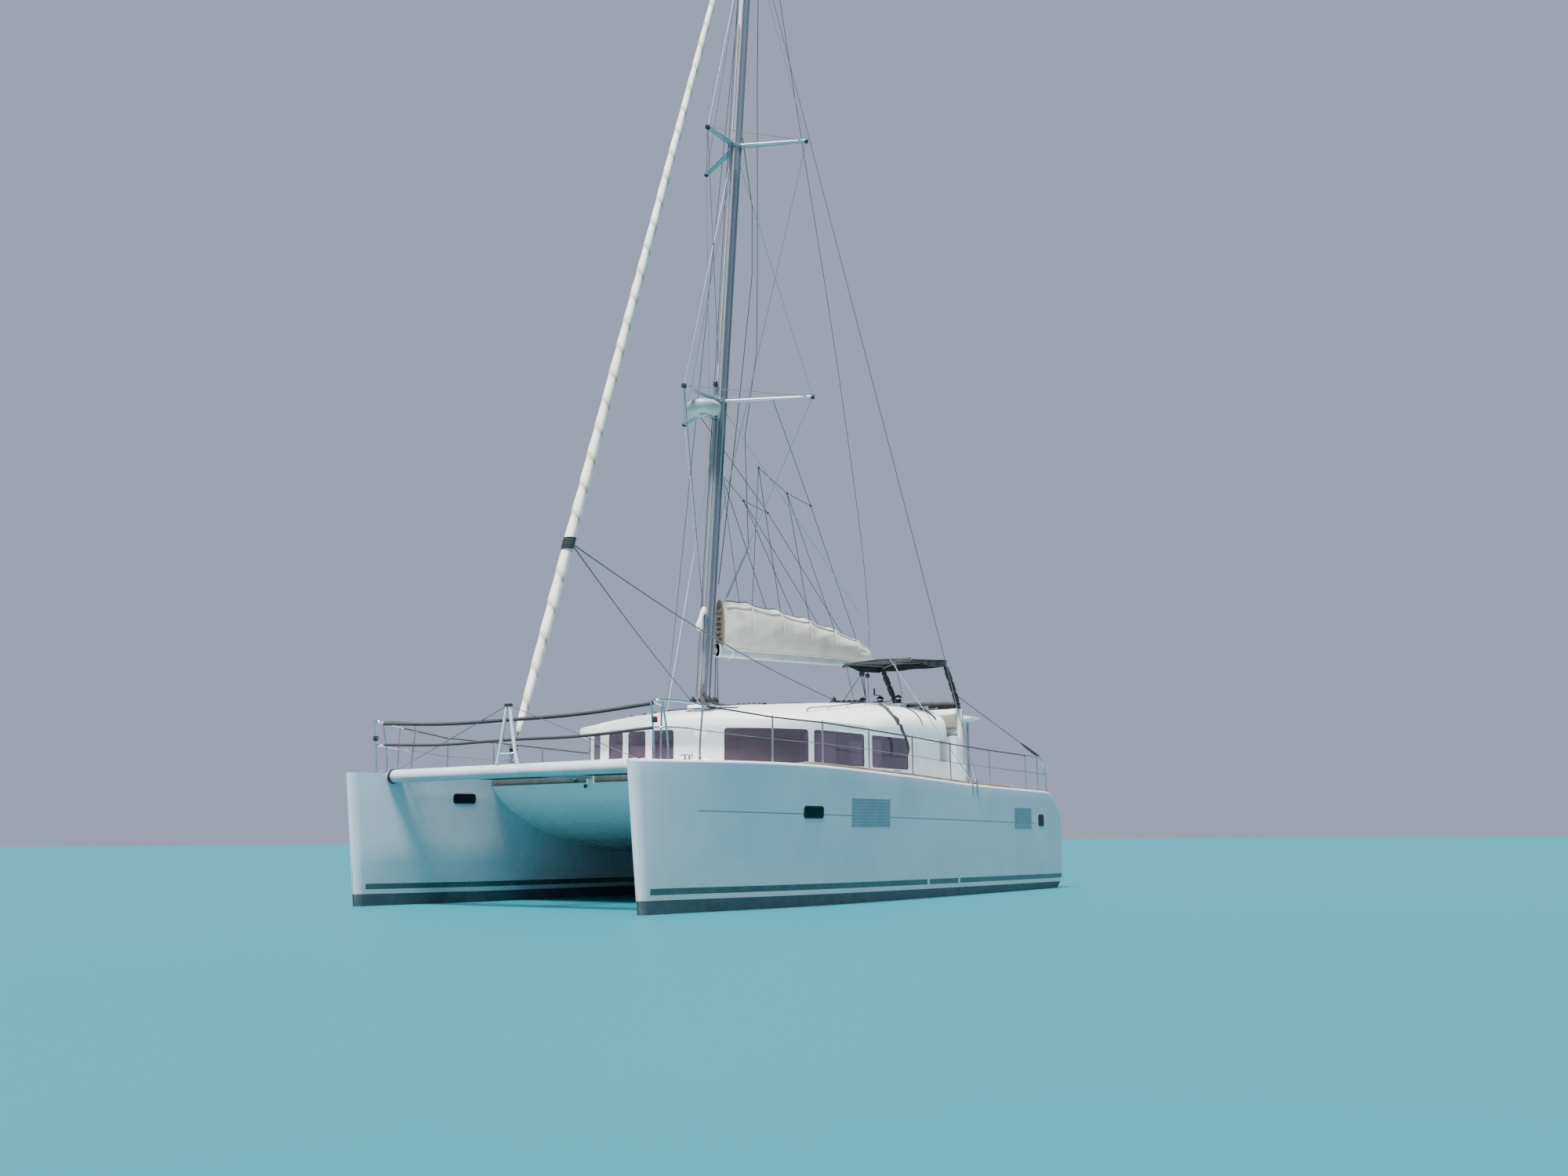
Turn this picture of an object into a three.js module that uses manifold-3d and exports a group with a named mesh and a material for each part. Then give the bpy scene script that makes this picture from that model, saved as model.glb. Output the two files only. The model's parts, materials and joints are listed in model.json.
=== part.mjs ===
// Cruising sailing catamaran at full size, afloat, with sails furled and stowed.
// Millimetres. +X forward, +Y port, +Z up. The origin is on the centreline, at the
// waterline, midway along the hulls.
import * as THREE from 'three';
import { mergeVertices } from 'three/addons/utils/BufferGeometryUtils.js';
import Module from 'manifold-3d';

const wasm = await Module();
wasm.setup();

// Driving dimensions
const seat = 0.3;                 // gap between pieces that rest on each other
const stemTop = 5985;             // foremost point of the hulls
const sternEnd = -5985;           // aftermost point of the hulls
const hullY = 2810;               // a stem's distance from the centreline
const hullMaxY = 3600;            // outer face of a hull at its widest
const innerY = 2150;              // flat inner face of a hull, beside the bridge deck
const keelY = 2860;               // centre of a hull's underwater body
const canoeDepth = 550;
const draft = 1210;
const floorZ = 1150;              // saloon and cockpit floor
const deckFrontX = 3620;          // front edge of the foredeck
const bridgeAftX = -5300;
const cabinAftX = -3300;
const wallOut = 2350;             // outer face of the cabin walls
const wallThick = 60;
const eaveOut = 2500;             // roof edge
const eaveZ = 2730;
const noseX = 200;                // centre of the round front of the cabin and roof
const mastX = 800;
const mastFootZ = 3225;
const mastTopZ = 20300;
const mastRake = 0.0887;          // aft lean for each unit of height
const boomPinX = 500;
const boomPinZ = 4210;
const helmY = 1650;               // middle of the helm seat and wheel
const beamX = 5350;               // front crossbeam
const beamZ = 1950;
const beamR = 100;
const rudderX = -5100;
const driveX = -3550;
const tubeR = 14;                 // stainless rail tube

const finishes = {
  gelcoat: [0xe9eeee, 0.25, 0],
  antifoul: [0x3d4a55, 0.8, 0],
  glass: [0x2a232c, 0.1, 0],
  spar: [0x9aa0a6, 0.4, 0.6],
  steel: [0xb9bcc0, 0.25, 1],
  canvas: [0xd9d4c6, 0.9, 0],
  sail: [0xe8e5dc, 0.8, 0],
  darkCanvas: [0x3b3a3c, 0.9, 0],
  net: [0x35383b, 0.9, 0],
  teak: [0x8f7660, 0.8, 0],
  cushion: [0xb7b3a8, 0.9, 0],
  plastic: [0x1e1f21, 0.5, 0],
  bronze: [0x9a7a3e, 0.35, 1],
  engine: [0x5b6670, 0.6, 0.2],
};
const boat = new THREE.Group();

// Adds one named piece
function piece(name, geometry, finish) {
  const [color, roughness, metalness] = finishes[finish];
  const material = new THREE.MeshStandardMaterial({ color, roughness, metalness });
  const mesh = new THREE.Mesh(geometry, material);
  mesh.name = name;
  boat.add(mesh);
  return mesh;
}

// Adds a port piece and its mirror image to starboard
function pair(name, geometry, finish) {
  piece(`${name}_port`, geometry, finish);
  piece(`${name}_starboard`, mirrored(geometry), finish);
}

function mirrored(geometry) {
  return fromSolid(toSolid(geometry).mirror([0, 1, 0]));
}

// Turns a closed geometry into a solid that can be joined and cut
function toSolid(geometry) {
  let bare = geometry.clone();
  for (const key of Object.keys(bare.attributes)) {
    if (key !== 'position') {
      bare.deleteAttribute(key);
    }
  }
  bare = mergeVertices(bare, 1e-3);
  return new wasm.Manifold(new wasm.Mesh({
    numProp: 3,
    vertProperties: Float32Array.from(bare.attributes.position.array),
    triVerts: Uint32Array.from(bare.index.array),
  }));
}

function fromSolid(solid) {
  const mesh = solid.getMesh();
  const geometry = new THREE.BufferGeometry();
  geometry.setAttribute('position', new THREE.BufferAttribute(mesh.vertProperties, 3));
  geometry.setIndex(new THREE.BufferAttribute(mesh.triVerts, 1));
  return geometry;
}

function join(...geometries) {
  let solid = toSolid(geometries[0]);
  for (const next of geometries.slice(1)) {
    solid = solid.add(toSolid(next));
  }
  return fromSolid(solid);
}

function cut(geometry, ...tools) {
  let solid = toSolid(geometry);
  for (const tool of tools) {
    solid = solid.subtract(toSolid(tool));
  }
  return fromSolid(solid);
}

function moved(geometry, x, y, z) {
  return geometry.clone().translate(x, y, z);
}

// A box given by its lowest and highest corners
function block(x0, x1, y0, y1, z0, z1) {
  const box = new THREE.BoxGeometry(x1 - x0, y1 - y0, z1 - z0);
  return box.translate((x0 + x1) / 2, (y0 + y1) / 2, (z0 + z1) / 2);
}

// A straight round bar between two points, tapered if two radii are given
function rod(start, end, radius, sides = 8, endRadius = radius) {
  const a = new THREE.Vector3(...start);
  const b = new THREE.Vector3(...end);
  const bar = new THREE.CylinderGeometry(endRadius, radius, a.distanceTo(b), sides);
  const turn = new THREE.Quaternion();
  turn.setFromUnitVectors(new THREE.Vector3(0, 1, 0), b.clone().sub(a).normalize());
  bar.applyQuaternion(turn);
  const middle = a.add(b).multiplyScalar(0.5);
  return bar.translate(middle.x, middle.y, middle.z);
}

// A bent tube through a few points
function bentTube(points, radius, steps, sides = 4) {
  const path = new THREE.CatmullRomCurve3(points.map((p) => new THREE.Vector3(...p)), false, 'centripetal');
  const ring = new THREE.Shape().absarc(0, 0, radius, 0, Math.PI * 2);
  return new THREE.ExtrudeGeometry(ring, { steps, curveSegments: sides, bevelEnabled: false, extrudePath: path });
}

// A solid through rings of points, each ring with the same number of points
function loft(rings) {
  const count = rings[0].length;
  const position = rings.flat(2);
  const index = [];
  for (let i = 0; i < rings.length - 1; i++) {
    for (let j = 0; j < count; j++) {
      const a = i * count + j;
      const b = i * count + (j + 1) % count;
      index.push(a, b, b + count, a, b + count, a + count);
    }
  }
  const ends = [[rings[0], 0, true], [rings.at(-1), (rings.length - 1) * count, false]];
  for (const [ring, first, back] of ends) {
    for (const [a, b, c] of THREE.ShapeUtils.triangulateShape(flattened(ring), [])) {
      index.push(first + a, first + (back ? c : b), first + (back ? b : c));
    }
  }
  return outward(position, index, count, rings.length);
}

// A ring of points seen along the axis that shows most of its area
function flattened(ring) {
  const views = [[1, 2], [2, 0], [0, 1]].map(([u, v]) => ring.map((p) => new THREE.Vector2(p[u], p[v])));
  const areas = views.map((view) => Math.abs(THREE.ShapeUtils.area(view)));
  return views[areas.indexOf(Math.max(...areas))];
}

// Orients the sides and each end cap so that all faces point out
function outward(position, index, count, ringCount) {
  const point = (i) => new THREE.Vector3(...position.slice(i * 3, i * 3 + 3));
  const sideEnd = (ringCount - 1) * count * 6;
  const edges = new Set();
  for (let i = 0; i < sideEnd; i += 3) {
    for (let k = 0; k < 3; k++) {
      edges.add(`${index[i + k]},${index[i + (k + 1) % 3]}`);
    }
  }
  const capSize = (index.length - sideEnd) / 2;
  for (let cap = 0; cap < 2; cap++) {
    const from = sideEnd + cap * capSize;
    let clash = false;
    for (let i = from; i < from + capSize; i += 3) {
      for (let k = 0; k < 3; k++) {
        clash = clash || edges.has(`${index[i + k]},${index[i + (k + 1) % 3]}`);
      }
    }
    for (let i = from; clash && i < from + capSize; i += 3) {
      [index[i + 1], index[i + 2]] = [index[i + 2], index[i + 1]];
    }
  }
  let volume = 0;
  for (let i = 0; i < index.length; i += 3) {
    volume += point(index[i]).dot(point(index[i + 1]).cross(point(index[i + 2])));
  }
  if (volume < 0) {
    for (let i = 0; i < index.length; i += 3) {
      [index[i + 1], index[i + 2]] = [index[i + 2], index[i + 1]];
    }
  }
  const geometry = new THREE.BufferGeometry();
  geometry.setAttribute('position', new THREE.Float32BufferAttribute(position, 3));
  geometry.setIndex(index);
  return geometry;
}

// Reads a column of a table at a place between its rows, along a smooth curve
function reader(rows, column) {
  const at = rows.map((r) => r[0]);
  const value = rows.map((r) => r[column]);
  const slope = at.map((_, i) => {
    if (i === 0 || i === at.length - 1) {
      return 0;
    }
    const before = (value[i] - value[i - 1]) / (at[i] - at[i - 1]);
    const after = (value[i + 1] - value[i]) / (at[i + 1] - at[i]);
    return before * after <= 0 ? 0 : (2 * before * after) / (before + after);
  });
  slope[0] = (value[1] - value[0]) / (at[1] - at[0]);
  slope[at.length - 1] = (value.at(-1) - value.at(-2)) / (at.at(-1) - at.at(-2));
  return (x) => {
    let i = 0;
    while (i < at.length - 2 && x > at[i + 1]) {
      i++;
    }
    const h = at[i + 1] - at[i];
    const t = Math.min(1, Math.max(0, (x - at[i]) / h));
    const t2 = t * t;
    const t3 = t2 * t;
    return value[i] * (2 * t3 - 3 * t2 + 1) + slope[i] * h * (t3 - 2 * t2 + t)
      + value[i + 1] * (3 * t2 - 2 * t3) + slope[i + 1] * h * (t3 - t2);
  };
}

// Hulls: every curve is a function of the distance aft of the stem
const sheerRows = [
  // x, z
  [-5270, 1820],
  [-2300, 1870],
  [0, 1950],
  [3300, 2030],
  [5985, 2000],
];
const sheerLine = reader(sheerRows, 1);

function sheer(x) {
  const wing = Math.max(0, (-5270 - x) / 680);
  return sheerLine(x) - 320 * wing ** 2.2;
}

function stemAt(z) {
  return z > 0 ? 5750 + 0.1175 * z : 5750 - 2400 * (z / 1000) ** 2;
}

function sternAt(z) {
  const tuck = Math.max(0, (300 - z) / 300);
  return sternEnd + 235 * tuck ** 2;
}

function noseRound(aft) {
  const noseR = 110;
  const t = Math.max(0, Math.min(1, aft / noseR));
  return 0.12 + 0.88 * Math.sqrt(1 - (1 - t) ** 2);
}

function deckOuter(aft) {
  const full = 6500;
  const fore = Math.max(0, 1 - aft / full);
  const after = Math.max(0, (aft - full) / 5470);
  const y = 2880 + (hullMaxY - 2880) * (1 - fore ** 3.3) - 90 * after ** 2;
  return hullY + (y - hullY) * noseRound(aft);
}

function deckInner(aft) {
  const y = innerY + 590 * Math.max(0, 1 - aft / 2300) ** 1.35;
  return hullY + (y - hullY) * noseRound(aft);
}

function flare(aft, most) {
  const t = aft / 1300;
  return most * t * Math.exp(1 - t);
}

function canoe(aft) {
  const fore = 350 + (canoeDepth - 350) * (1 - Math.exp(-aft / 1500));
  const rise = Math.max(0, (aft - 5500) / 6400);
  return fore * (1 - rise ** 2.5);
}

// One ring of a hull at t of its length, from the inner deck edge down and round
function hullRing(t) {
  const ring = [];
  const place = (z, yOf) => {
    const x = sternAt(z) + t * (stemAt(z) - sternAt(z));
    ring.push([x, yOf(stemAt(z) - x), z]);
  };
  const top = sheer(sternEnd + t * (stemTop - sternEnd));
  const turnZ = 750;
  const innerAt = (z) => (aft) => deckInner(aft) + flare(aft, 100) * Math.max(0, 1 - z / turnZ);
  const outerAt = (z) => (aft) => {
    const narrow = flare(aft, 130) + 30 * Math.min(1, aft / 1500);
    return deckOuter(aft) - narrow * Math.max(0, 1 - z / top);
  };
  for (const z of [top, (top + turnZ) / 2, turnZ, 380, 0]) {
    place(z, innerAt(z));
  }
  for (let i = 1; i < 8; i++) {
    const angle = Math.PI * i / 8;
    const aft = (1 - t) * 11500;
    const z = -canoe(aft) * Math.sin(angle) ** 0.85;
    const across = Math.sign(Math.cos(angle)) * Math.abs(Math.cos(angle)) ** 0.85;
    place(z, (s) => {
      const [a, b] = [innerAt(0)(s), outerAt(0)(s)];
      return (a + b) / 2 - across * (b - a) / 2;
    });
  }
  for (const z of [0, 380, 1100, top - 45]) {
    place(z, outerAt(z));
  }
  place(top - 12, (aft) => outerAt(top)(aft) - 12 * noseRound(aft));
  place(top, (aft) => outerAt(top)(aft) - 45 * noseRound(aft));
  return ring;
}

const stations = [
  0, 0.006, 0.022, 0.04, 0.06, 0.1, 0.16, 0.24, 0.32, 0.4, 0.48, 0.56, 0.63, 0.7,
  0.76, 0.81, 0.86, 0.9, 0.93, 0.955, 0.975, 0.988, 0.9935, 0.9975, 1,
];
const bareHull = loft(stations.map(hullRing));

// Stern steps, engine bay, forepeak locker and their lid rebates
const wingInnerY = 3370;
const stepRows = [
  // front edge x, tread z
  [-4150, floorZ],
  [-5260, 900],
  [-5490, 650],
  [-5720, 400],
];
const engineLid = { x0: -5170, x1: -4530, y0: 2460, y1: 3240, top: floorZ, thick: 45 };
const peakLid = { x0: 4170, x1: 4730, y0: 2590, y1: 3030, top: 2018, thick: 40 };
const lidGap = 6;

function lidPit(lid, depth) {
  const ledge = 25;
  const bottom = lid.top - lid.thick;
  return [
    block(lid.x0, lid.x1, lid.y0, lid.y1, bottom, lid.top + 60),
    block(lid.x0 + ledge, lid.x1 - ledge, lid.y0 + ledge, lid.y1 - ledge, bottom - depth, bottom + 1),
  ];
}

function lidPanel(lid) {
  const bottom = lid.top - lid.thick + seat;
  return block(lid.x0 + lidGap, lid.x1 - lidGap, lid.y0 + lidGap, lid.y1 - lidGap, bottom, lid.top);
}

function stairCuts() {
  return stepRows.map(([x, z]) => block(-6300, x, 1900, wingInnerY, z, 2400));
}

const rudderBoss = rod([rudderX, keelY, -300], [rudderX, keelY, -80], 60, 16);
const hull = cut(join(bareHull, rudderBoss), ...stairCuts(), ...lidPit(engineLid, 850), ...lidPit(peakLid, 500));
const hullOther = mirrored(hull);
piece('hull_port', hull, 'gelcoat');
piece('hull_starboard', hullOther, 'gelcoat');
pair('engine_lid', lidPanel(engineLid), 'gelcoat');
pair('forepeak_lid', lidPanel(peakLid), 'gelcoat');
pair('engine', block(-5100, -4600, 2620, 3080, 255.3, 800), 'engine');

// Keels, saildrives, propellers and rudders
function foil(x0, x1, y, z, thick) {
  const ring = [];
  const half = 8;
  for (let i = 0; i < 2 * half; i++) {
    const angle = Math.PI * i / half;
    const u = (1 + Math.cos(angle)) / 2;
    const body = 2.6 * Math.sqrt(1 - u) * u + 0.05 * (1 - u);
    ring.push([x0 + (x1 - x0) * u, y + Math.sign(Math.sin(angle)) * Math.max(0.04, body) * thick / 2, z]);
  }
  return ring;
}

const underHull = moved(hull, 0, 0, -seat);
const keel = loft([foil(-1350, 1150, keelY, -300, 380), foil(-1250, 1000, keelY, -draft, 330)]);
pair('keel', cut(keel, underHull), 'antifoul');

const leg = loft([foil(driveX - 140, driveX + 170, keelY, -200, 110), foil(driveX - 120, driveX + 130, keelY, -820, 90)]);
const gearcase = rod([driveX - 170, keelY, -850], [driveX + 170, keelY, -850], 75, 16, 40);
pair('saildrive', cut(join(leg, gearcase), underHull), 'engine');

function propeller() {
  const bladeCount = 3;
  const hubX = driveX - 170 - seat;
  let all = rod([hubX - 130, keelY, -850], [hubX, keelY, -850], 40, 14, 62);
  for (let i = 0; i < bladeCount; i++) {
    const blade = loft([
      [[-18, -40, 0], [18, -30, 0], [18, 40, 0], [-18, 30, 0]],
      [[-30, -75, 130], [-14, -75, 130], [30, 75, 130], [14, 75, 130]],
      [[-14, -35, 215], [-6, -35, 215], [14, 35, 215], [6, 35, 215]],
    ]);
    blade.rotateX(2 * Math.PI * i / bladeCount).translate(hubX - 65, keelY, -850);
    all = join(all, blade);
  }
  return all;
}
pair('propeller', propeller(), 'bronze');

const blade = loft([
  foil(rudderX - 330, rudderX + 130, keelY, -340, 90),
  foil(rudderX - 300, rudderX + 90, keelY, -1060, 60),
]);
const stock = rod([rudderX, keelY, -345], [rudderX, keelY, -300 - seat], 30, 12);
pair('rudder', join(blade, stock), 'antifoul');

// Bridge deck: cockpit and saloon floor, nacelle underside and foredeck
const bridgeRows = [
  // x, underside z, top z (0 for the deck line)
  [bridgeAftX, 930, floorZ],
  [-5150, 800, floorZ],
  [-4800, 760, floorZ],
  [500, 770, floorZ],
  [1000, 800, floorZ],
  [1500, 870, floorZ],
  [1990, 985, floorZ],
  [2030, 996, 0],
  [2400, 1110, 0],
  [2800, 1265, 0],
  [3200, 1460, 0],
  [3450, 1640, 0],
  [deckFrontX, 1820, 0],
];
const lockerLid = { x0: 2800, x1: 3230, y0: -420, y1: 420, top: 2024, thick: 40 };
const crossRing = (x, low, top) => {
  const y = innerY - seat;
  return [[x, -y, low], [x, y, low], [x, y, top], [x, -y, top]];
};
const bridgeBody = loft(bridgeRows.map(([x, low, high]) => crossRing(x, low, high || sheer(x))));

// The foredeck runs aft on both sides of the cabin's round front
const cabinRound = new THREE.CylinderGeometry(wallOut - 120, wallOut - 120, 3000, 72).rotateX(Math.PI / 2);
const foreShoulders = cut(
  loft([900, 1500, 2040].map((x) => crossRing(x, floorZ - 100, sheer(x)))),
  moved(cabinRound, noseX, 0, 1500),
);
const bridge = join(bridgeBody, foreShoulders);
piece('bridge_deck', cut(bridge, ...lidPit(lockerLid, 380)), 'gelcoat');
piece('anchor_locker_lid', lidPanel(lockerLid), 'gelcoat');

// Cabin walls and their windows
function cabinPoint(angle, out, z) {
  const turn = THREE.MathUtils.degToRad(angle);
  return [noseX + out * Math.cos(turn), out * Math.sin(turn), z];
}

// Equal angles of about six degrees
function spread(fromAngle, toAngle) {
  const stepCount = Math.max(4, Math.round(Math.abs(toAngle - fromAngle) / 6));
  return Array.from({ length: stepCount + 1 }, (_, i) => fromAngle + (toAngle - fromAngle) * i / stepCount);
}

// A wall band round part of the cabin: the angle runs to 90, then straight aft to endX
function wallBand(fromAngle, toAngle, endX, outer, inner, low, high) {
  const path = [];
  for (const angle of spread(fromAngle, toAngle)) {
    path.push([cabinPoint(angle, outer, 0), cabinPoint(angle, inner, 0)]);
  }
  if (endX !== null) {
    path.push([[endX, outer, 0], [endX, inner, 0]]);
  }
  return loft(path.map(([o, i]) => [
    [o[0], o[1], low], [o[0], o[1], high], [i[0], i[1], high], [i[0], i[1], low],
  ]));
}

const splitAngle = 34;
const wallIn = wallOut - wallThick;
const wallLow = 1700;
const wallHigh = eaveZ - seat;
const frontPanes = [
  // from angle, to angle
  [-32, -24],
  [-17, -7.5],
  [-4.5, 4.5],
  [7.5, 17],
  [24, 32],
];
const paneLow = 2150;
const paneHigh = 2700;
const cornerPane = { from: 37, to: 72.5 };
const middlePane = { from: 75.2, aft: -640 };
const aftPane = { fore: -880, aft: -2130 };

function paneCut(from, to, endX, low, high) {
  return wallBand(from, to, endX, wallOut + 60, wallIn - 60, low, high);
}

const raisedHull = moved(hull, 0, 0, seat);
const raisedOther = moved(hullOther, 0, 0, seat);
const raisedBridge = moved(bridge, 0, 0, seat);
const frontWall = cut(
  wallBand(-splitAngle, splitAngle, null, wallOut, wallIn, wallLow, wallHigh),
  raisedBridge,
  ...frontPanes.map(([a, b]) => paneCut(a, b, null, paneLow + 40, paneHigh - 20)),
);
piece('cabin_front', frontWall, 'gelcoat');
const sideWall = cut(
  wallBand(splitAngle + 0.01, 90, cabinAftX, wallOut, wallIn, wallLow, wallHigh),
  raisedHull,
  raisedBridge,
  paneCut(cornerPane.from, cornerPane.to, null, paneLow, paneHigh),
  paneCut(middlePane.from, 90, middlePane.aft, paneLow, paneHigh),
  block(aftPane.aft, aftPane.fore, wallIn - 60, wallOut + 60, paneLow, paneHigh),
);
pair('cabin_side', sideWall, 'gelcoat');

// One tinted band behind the window openings, from side to side round the front
function glazingBand() {
  const low = paneLow - 40;
  const high = paneHigh + 15;
  const outer = wallIn - seat;
  const inner = wallIn - 10;
  const aftX = aftPane.aft - 60;
  const path = [[[aftX, -outer], [aftX, -inner]]];
  const angles = [...spread(-90, -splitAngle), ...spread(-splitAngle, splitAngle).slice(1), ...spread(splitAngle, 90).slice(1)];
  for (const angle of angles) {
    path.push([cabinPoint(angle, outer, 0), cabinPoint(angle, inner, 0)]);
  }
  path.push([[aftX, outer], [aftX, inner]]);
  const ring = ([o, i]) => [[o[0], o[1], low], [o[0], o[1], high], [i[0], i[1], high], [i[0], i[1], low]];
  return loft(path.map(ring));
}
piece('cabin_glazing', cut(glazingBand(), raisedBridge), 'glass');

// Coachroof: a shell with a round front, deep shoulders aft and a flat soffit
const crownRows = [
  // x, crown z, shoulder exponent
  [-3300, 3420, 4],
  [-1700, 3385, 3.4],
  [0, 3275, 2.2],
  [800, 3185, 2],
  [2000, 2985, 2],
  [2400, 2890, 2],
  [2600, 2830, 2],
  [2700, 2775, 2],
];
const crownZ = reader(crownRows, 1);
const shoulder = reader(crownRows, 2);

// The fascia is an upright edge below the dome
function domeRing(x, edge, drop, low, fascia) {
  const run = Math.max(0, x - noseX) / edge;
  const half = Math.max(30, edge * Math.sqrt(Math.max(0, 1 - run * run)));
  const rise = Math.max(8, crownZ(x) - drop - eaveZ);
  const power = shoulder(x);
  const count = 16;
  const ring = [[x, -half, low], [x, half, low]];
  for (let i = 0; i <= count; i++) {
    const angle = Math.PI * i / count;
    const across = Math.sign(Math.cos(angle)) * Math.abs(Math.cos(angle)) ** (2 / power);
    const up = Math.sin(angle) ** (2 / power);
    ring.push([x, half * across, eaveZ + ((rise * up) ** 4 + fascia ** 4) ** 0.25]);
  }
  return ring;
}

function dome(edge, drop, low, aftX, fascia) {
  const rings = [];
  for (const x of [aftX, -2500, -1700, -900, -300]) {
    rings.push(domeRing(x, edge, drop, low, fascia));
  }
  for (let i = 0; i <= 11; i++) {
    const angle = THREE.MathUtils.degToRad(7.9 * i);
    rings.push(domeRing(noseX + edge * Math.sin(angle), edge, drop, low, fascia));
  }
  return loft(rings);
}

const soffit = 215;
const shell = 60;
const roofInside = dome(eaveOut - soffit, shell, eaveZ - 100, cabinAftX - 100, 0);
const mastPad = block(mastX - 260, mastX + 240, -170, 170, 3120, mastFootZ);
const roofFascia = 100;
const roofDome = dome(eaveOut, 0, eaveZ - 1, cabinAftX, roofFascia);
const roof = cut(join(roofDome, mastPad), roofInside, block(-4000, 4000, -3000, 3000, 2000, eaveZ));
piece('coachroof', roof, 'gelcoat');

// Aft bulkhead with its doorway, door track and sliding door
const bulkFore = -3200;
const bulkAft = -3260;
const doorway = { y0: -680, y1: 130, z0: 1210, z1: 3020 };
const roofSpace = moved(roofInside, 0, 0, -seat);
const bulkTop = fromSolid(toSolid(block(bulkAft, bulkFore, -2400, 2400, 2640, 3500)).intersect(toSolid(roofSpace)));
const bulkMiddle = block(bulkAft, bulkFore, -(wallIn - seat), wallIn - seat, 1700, eaveZ - seat);
const bulkLower = block(bulkAft, bulkFore, -(innerY - seat), innerY - seat, floorZ + seat, 1800);
const track = block(-3322, bulkAft + 1, -1560, 200, floorZ + seat, floorZ + 20);
const bulkhead = cut(
  join(bulkTop, bulkMiddle, bulkLower, track),
  raisedHull,
  raisedOther,
  block(-3300, -3100, doorway.y0, doorway.y1, doorway.z0, doorway.z1),
  block(-3300, -3100, 420, 1150, 2050, 2800),
);
piece('aft_bulkhead', bulkhead, 'gelcoat');
const doorPanel = block(-3304, -3268, doorway.y0 - 40, doorway.y1 + 40, floorZ + 20 + seat, 3060);
piece('cockpit_door', doorPanel, 'glass');

// Saloon furniture
const settee = join(
  block(-1500, 850, -2140, -1500, floorZ + seat, 1560),
  block(800, 1100, -1900, -1500, floorZ + seat, 1560),
  block(960, 1500, -1600, 400, floorZ + seat, 1560),
);
piece('saloon_settee', settee, 'cushion');
piece('galley_counter', block(-2900, 200, 1500, 2140, floorZ + seat, 2060), 'gelcoat');

// Cockpit: benches, cushions, table, hardtop and its posts
piece('aft_bench', join(
  block(-5250, -4780, -2040, 2040, floorZ + seat, 1560),
  block(-5270, -5200, -2040, 2040, floorZ + seat, 1900),
), 'gelcoat');
piece('aft_bench_cushion', block(-5190, -4790, -2000, 2000, 1560 + seat, 1650), 'cushion');
piece('side_bench', block(-4450, -3420, -2145, -1550, floorZ + seat, 1560), 'gelcoat');
piece('side_bench_cushion', block(-4430, -3440, -2120, -1570, 1560 + seat, 1650), 'cushion');
piece('cockpit_table', join(
  block(-4400, -3550, -1350, -650, 1830, 1865),
  rod([-3975, -1000, floorZ + seat], [-3975, -1000, 1840], 50, 16),
), 'teak');

const topAftX = -5060;
function hardtopRing(x) {
  const end = Math.max(0, (-4700 - x) / 360);
  const half = eaveOut - 40 - 380 * end ** 2.5;
  const crown = crownZ(-3300) - 60 * end ** 2;
  const drop = 185 - 70 * end ** 2;
  const ring = [];
  const count = 12;
  for (let i = 0; i <= count; i++) {
    const y = half * (1 - 2 * i / count);
    ring.push([x, y, crown - drop * Math.abs(y / half) ** 3]);
  }
  const lip = crown - drop - 25;
  ring.push([x, -half * 0.995, lip], [x, -half * 0.9, 3180], [x, half * 0.9, 3180], [x, half * 0.995, lip]);
  return ring;
}
const hardtopXs = [cabinAftX - seat, -3800, -4300, -4700, -4850, -4950, -5020, topAftX];
const helmNotch = block(-4370, cabinAftX + 10, 900, 2600, 2900, 3600);
const hardtopPosts = [1, -1].map((side) => (
  rod([-4950, 2095 * side, floorZ + seat], [-4930, 2095 * side, 3230], 28, 12)
));
piece('cockpit_hardtop', join(cut(loft(hardtopXs.map(hardtopRing)), helmNotch), ...hardtopPosts), 'gelcoat');

// Helm station at the port side of the cockpit
const helmFloorZ = 2350;
const wheelTilt = 0.26;
const wheelAxis = new THREE.Vector3(-Math.cos(wheelTilt), 0, Math.sin(wheelTilt));
const consoleTop = new THREE.Vector3(-3420, helmY, 3390);
const downFace = (length) => consoleTop.clone().add(new THREE.Vector3(-wheelAxis.z, 0, wheelAxis.x).multiplyScalar(length));
const consoleSide = [
  // x, z of the side outline
  [-3330, helmFloorZ - 20],
  [-3330, consoleTop.z],
  [consoleTop.x, consoleTop.z],
  [downFace(500).x, downFace(500).z],
  [-3480, helmFloorZ - 20],
];
piece('helm_platform', cut(join(
  block(-4350, -3330, 1150, innerY - seat, floorZ + seat, 2000),
  block(-4350, -3330, 1150, 2330, 1800, helmFloorZ),
  loft([1240, 2060].map((y) => consoleSide.map(([x, z]) => [x, y, z]))),
), raisedHull), 'gelcoat');
const seatSide = [
  // x, z of the side outline
  [-4340, helmFloorZ + seat],
  [-4010, helmFloorZ + seat],
  [-4000, 2860],
  [-4230, 2860],
  [-4260, 3400],
  [-4340, 3400],
];
piece('helm_seat', loft([1160, 2300].map((y) => seatSide.map(([x, z]) => [x, y, z]))), 'gelcoat');
piece('helm_cushion', block(-4220, -4010, 1190, 2270, 2860 + seat, 2940), 'cushion');

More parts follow.
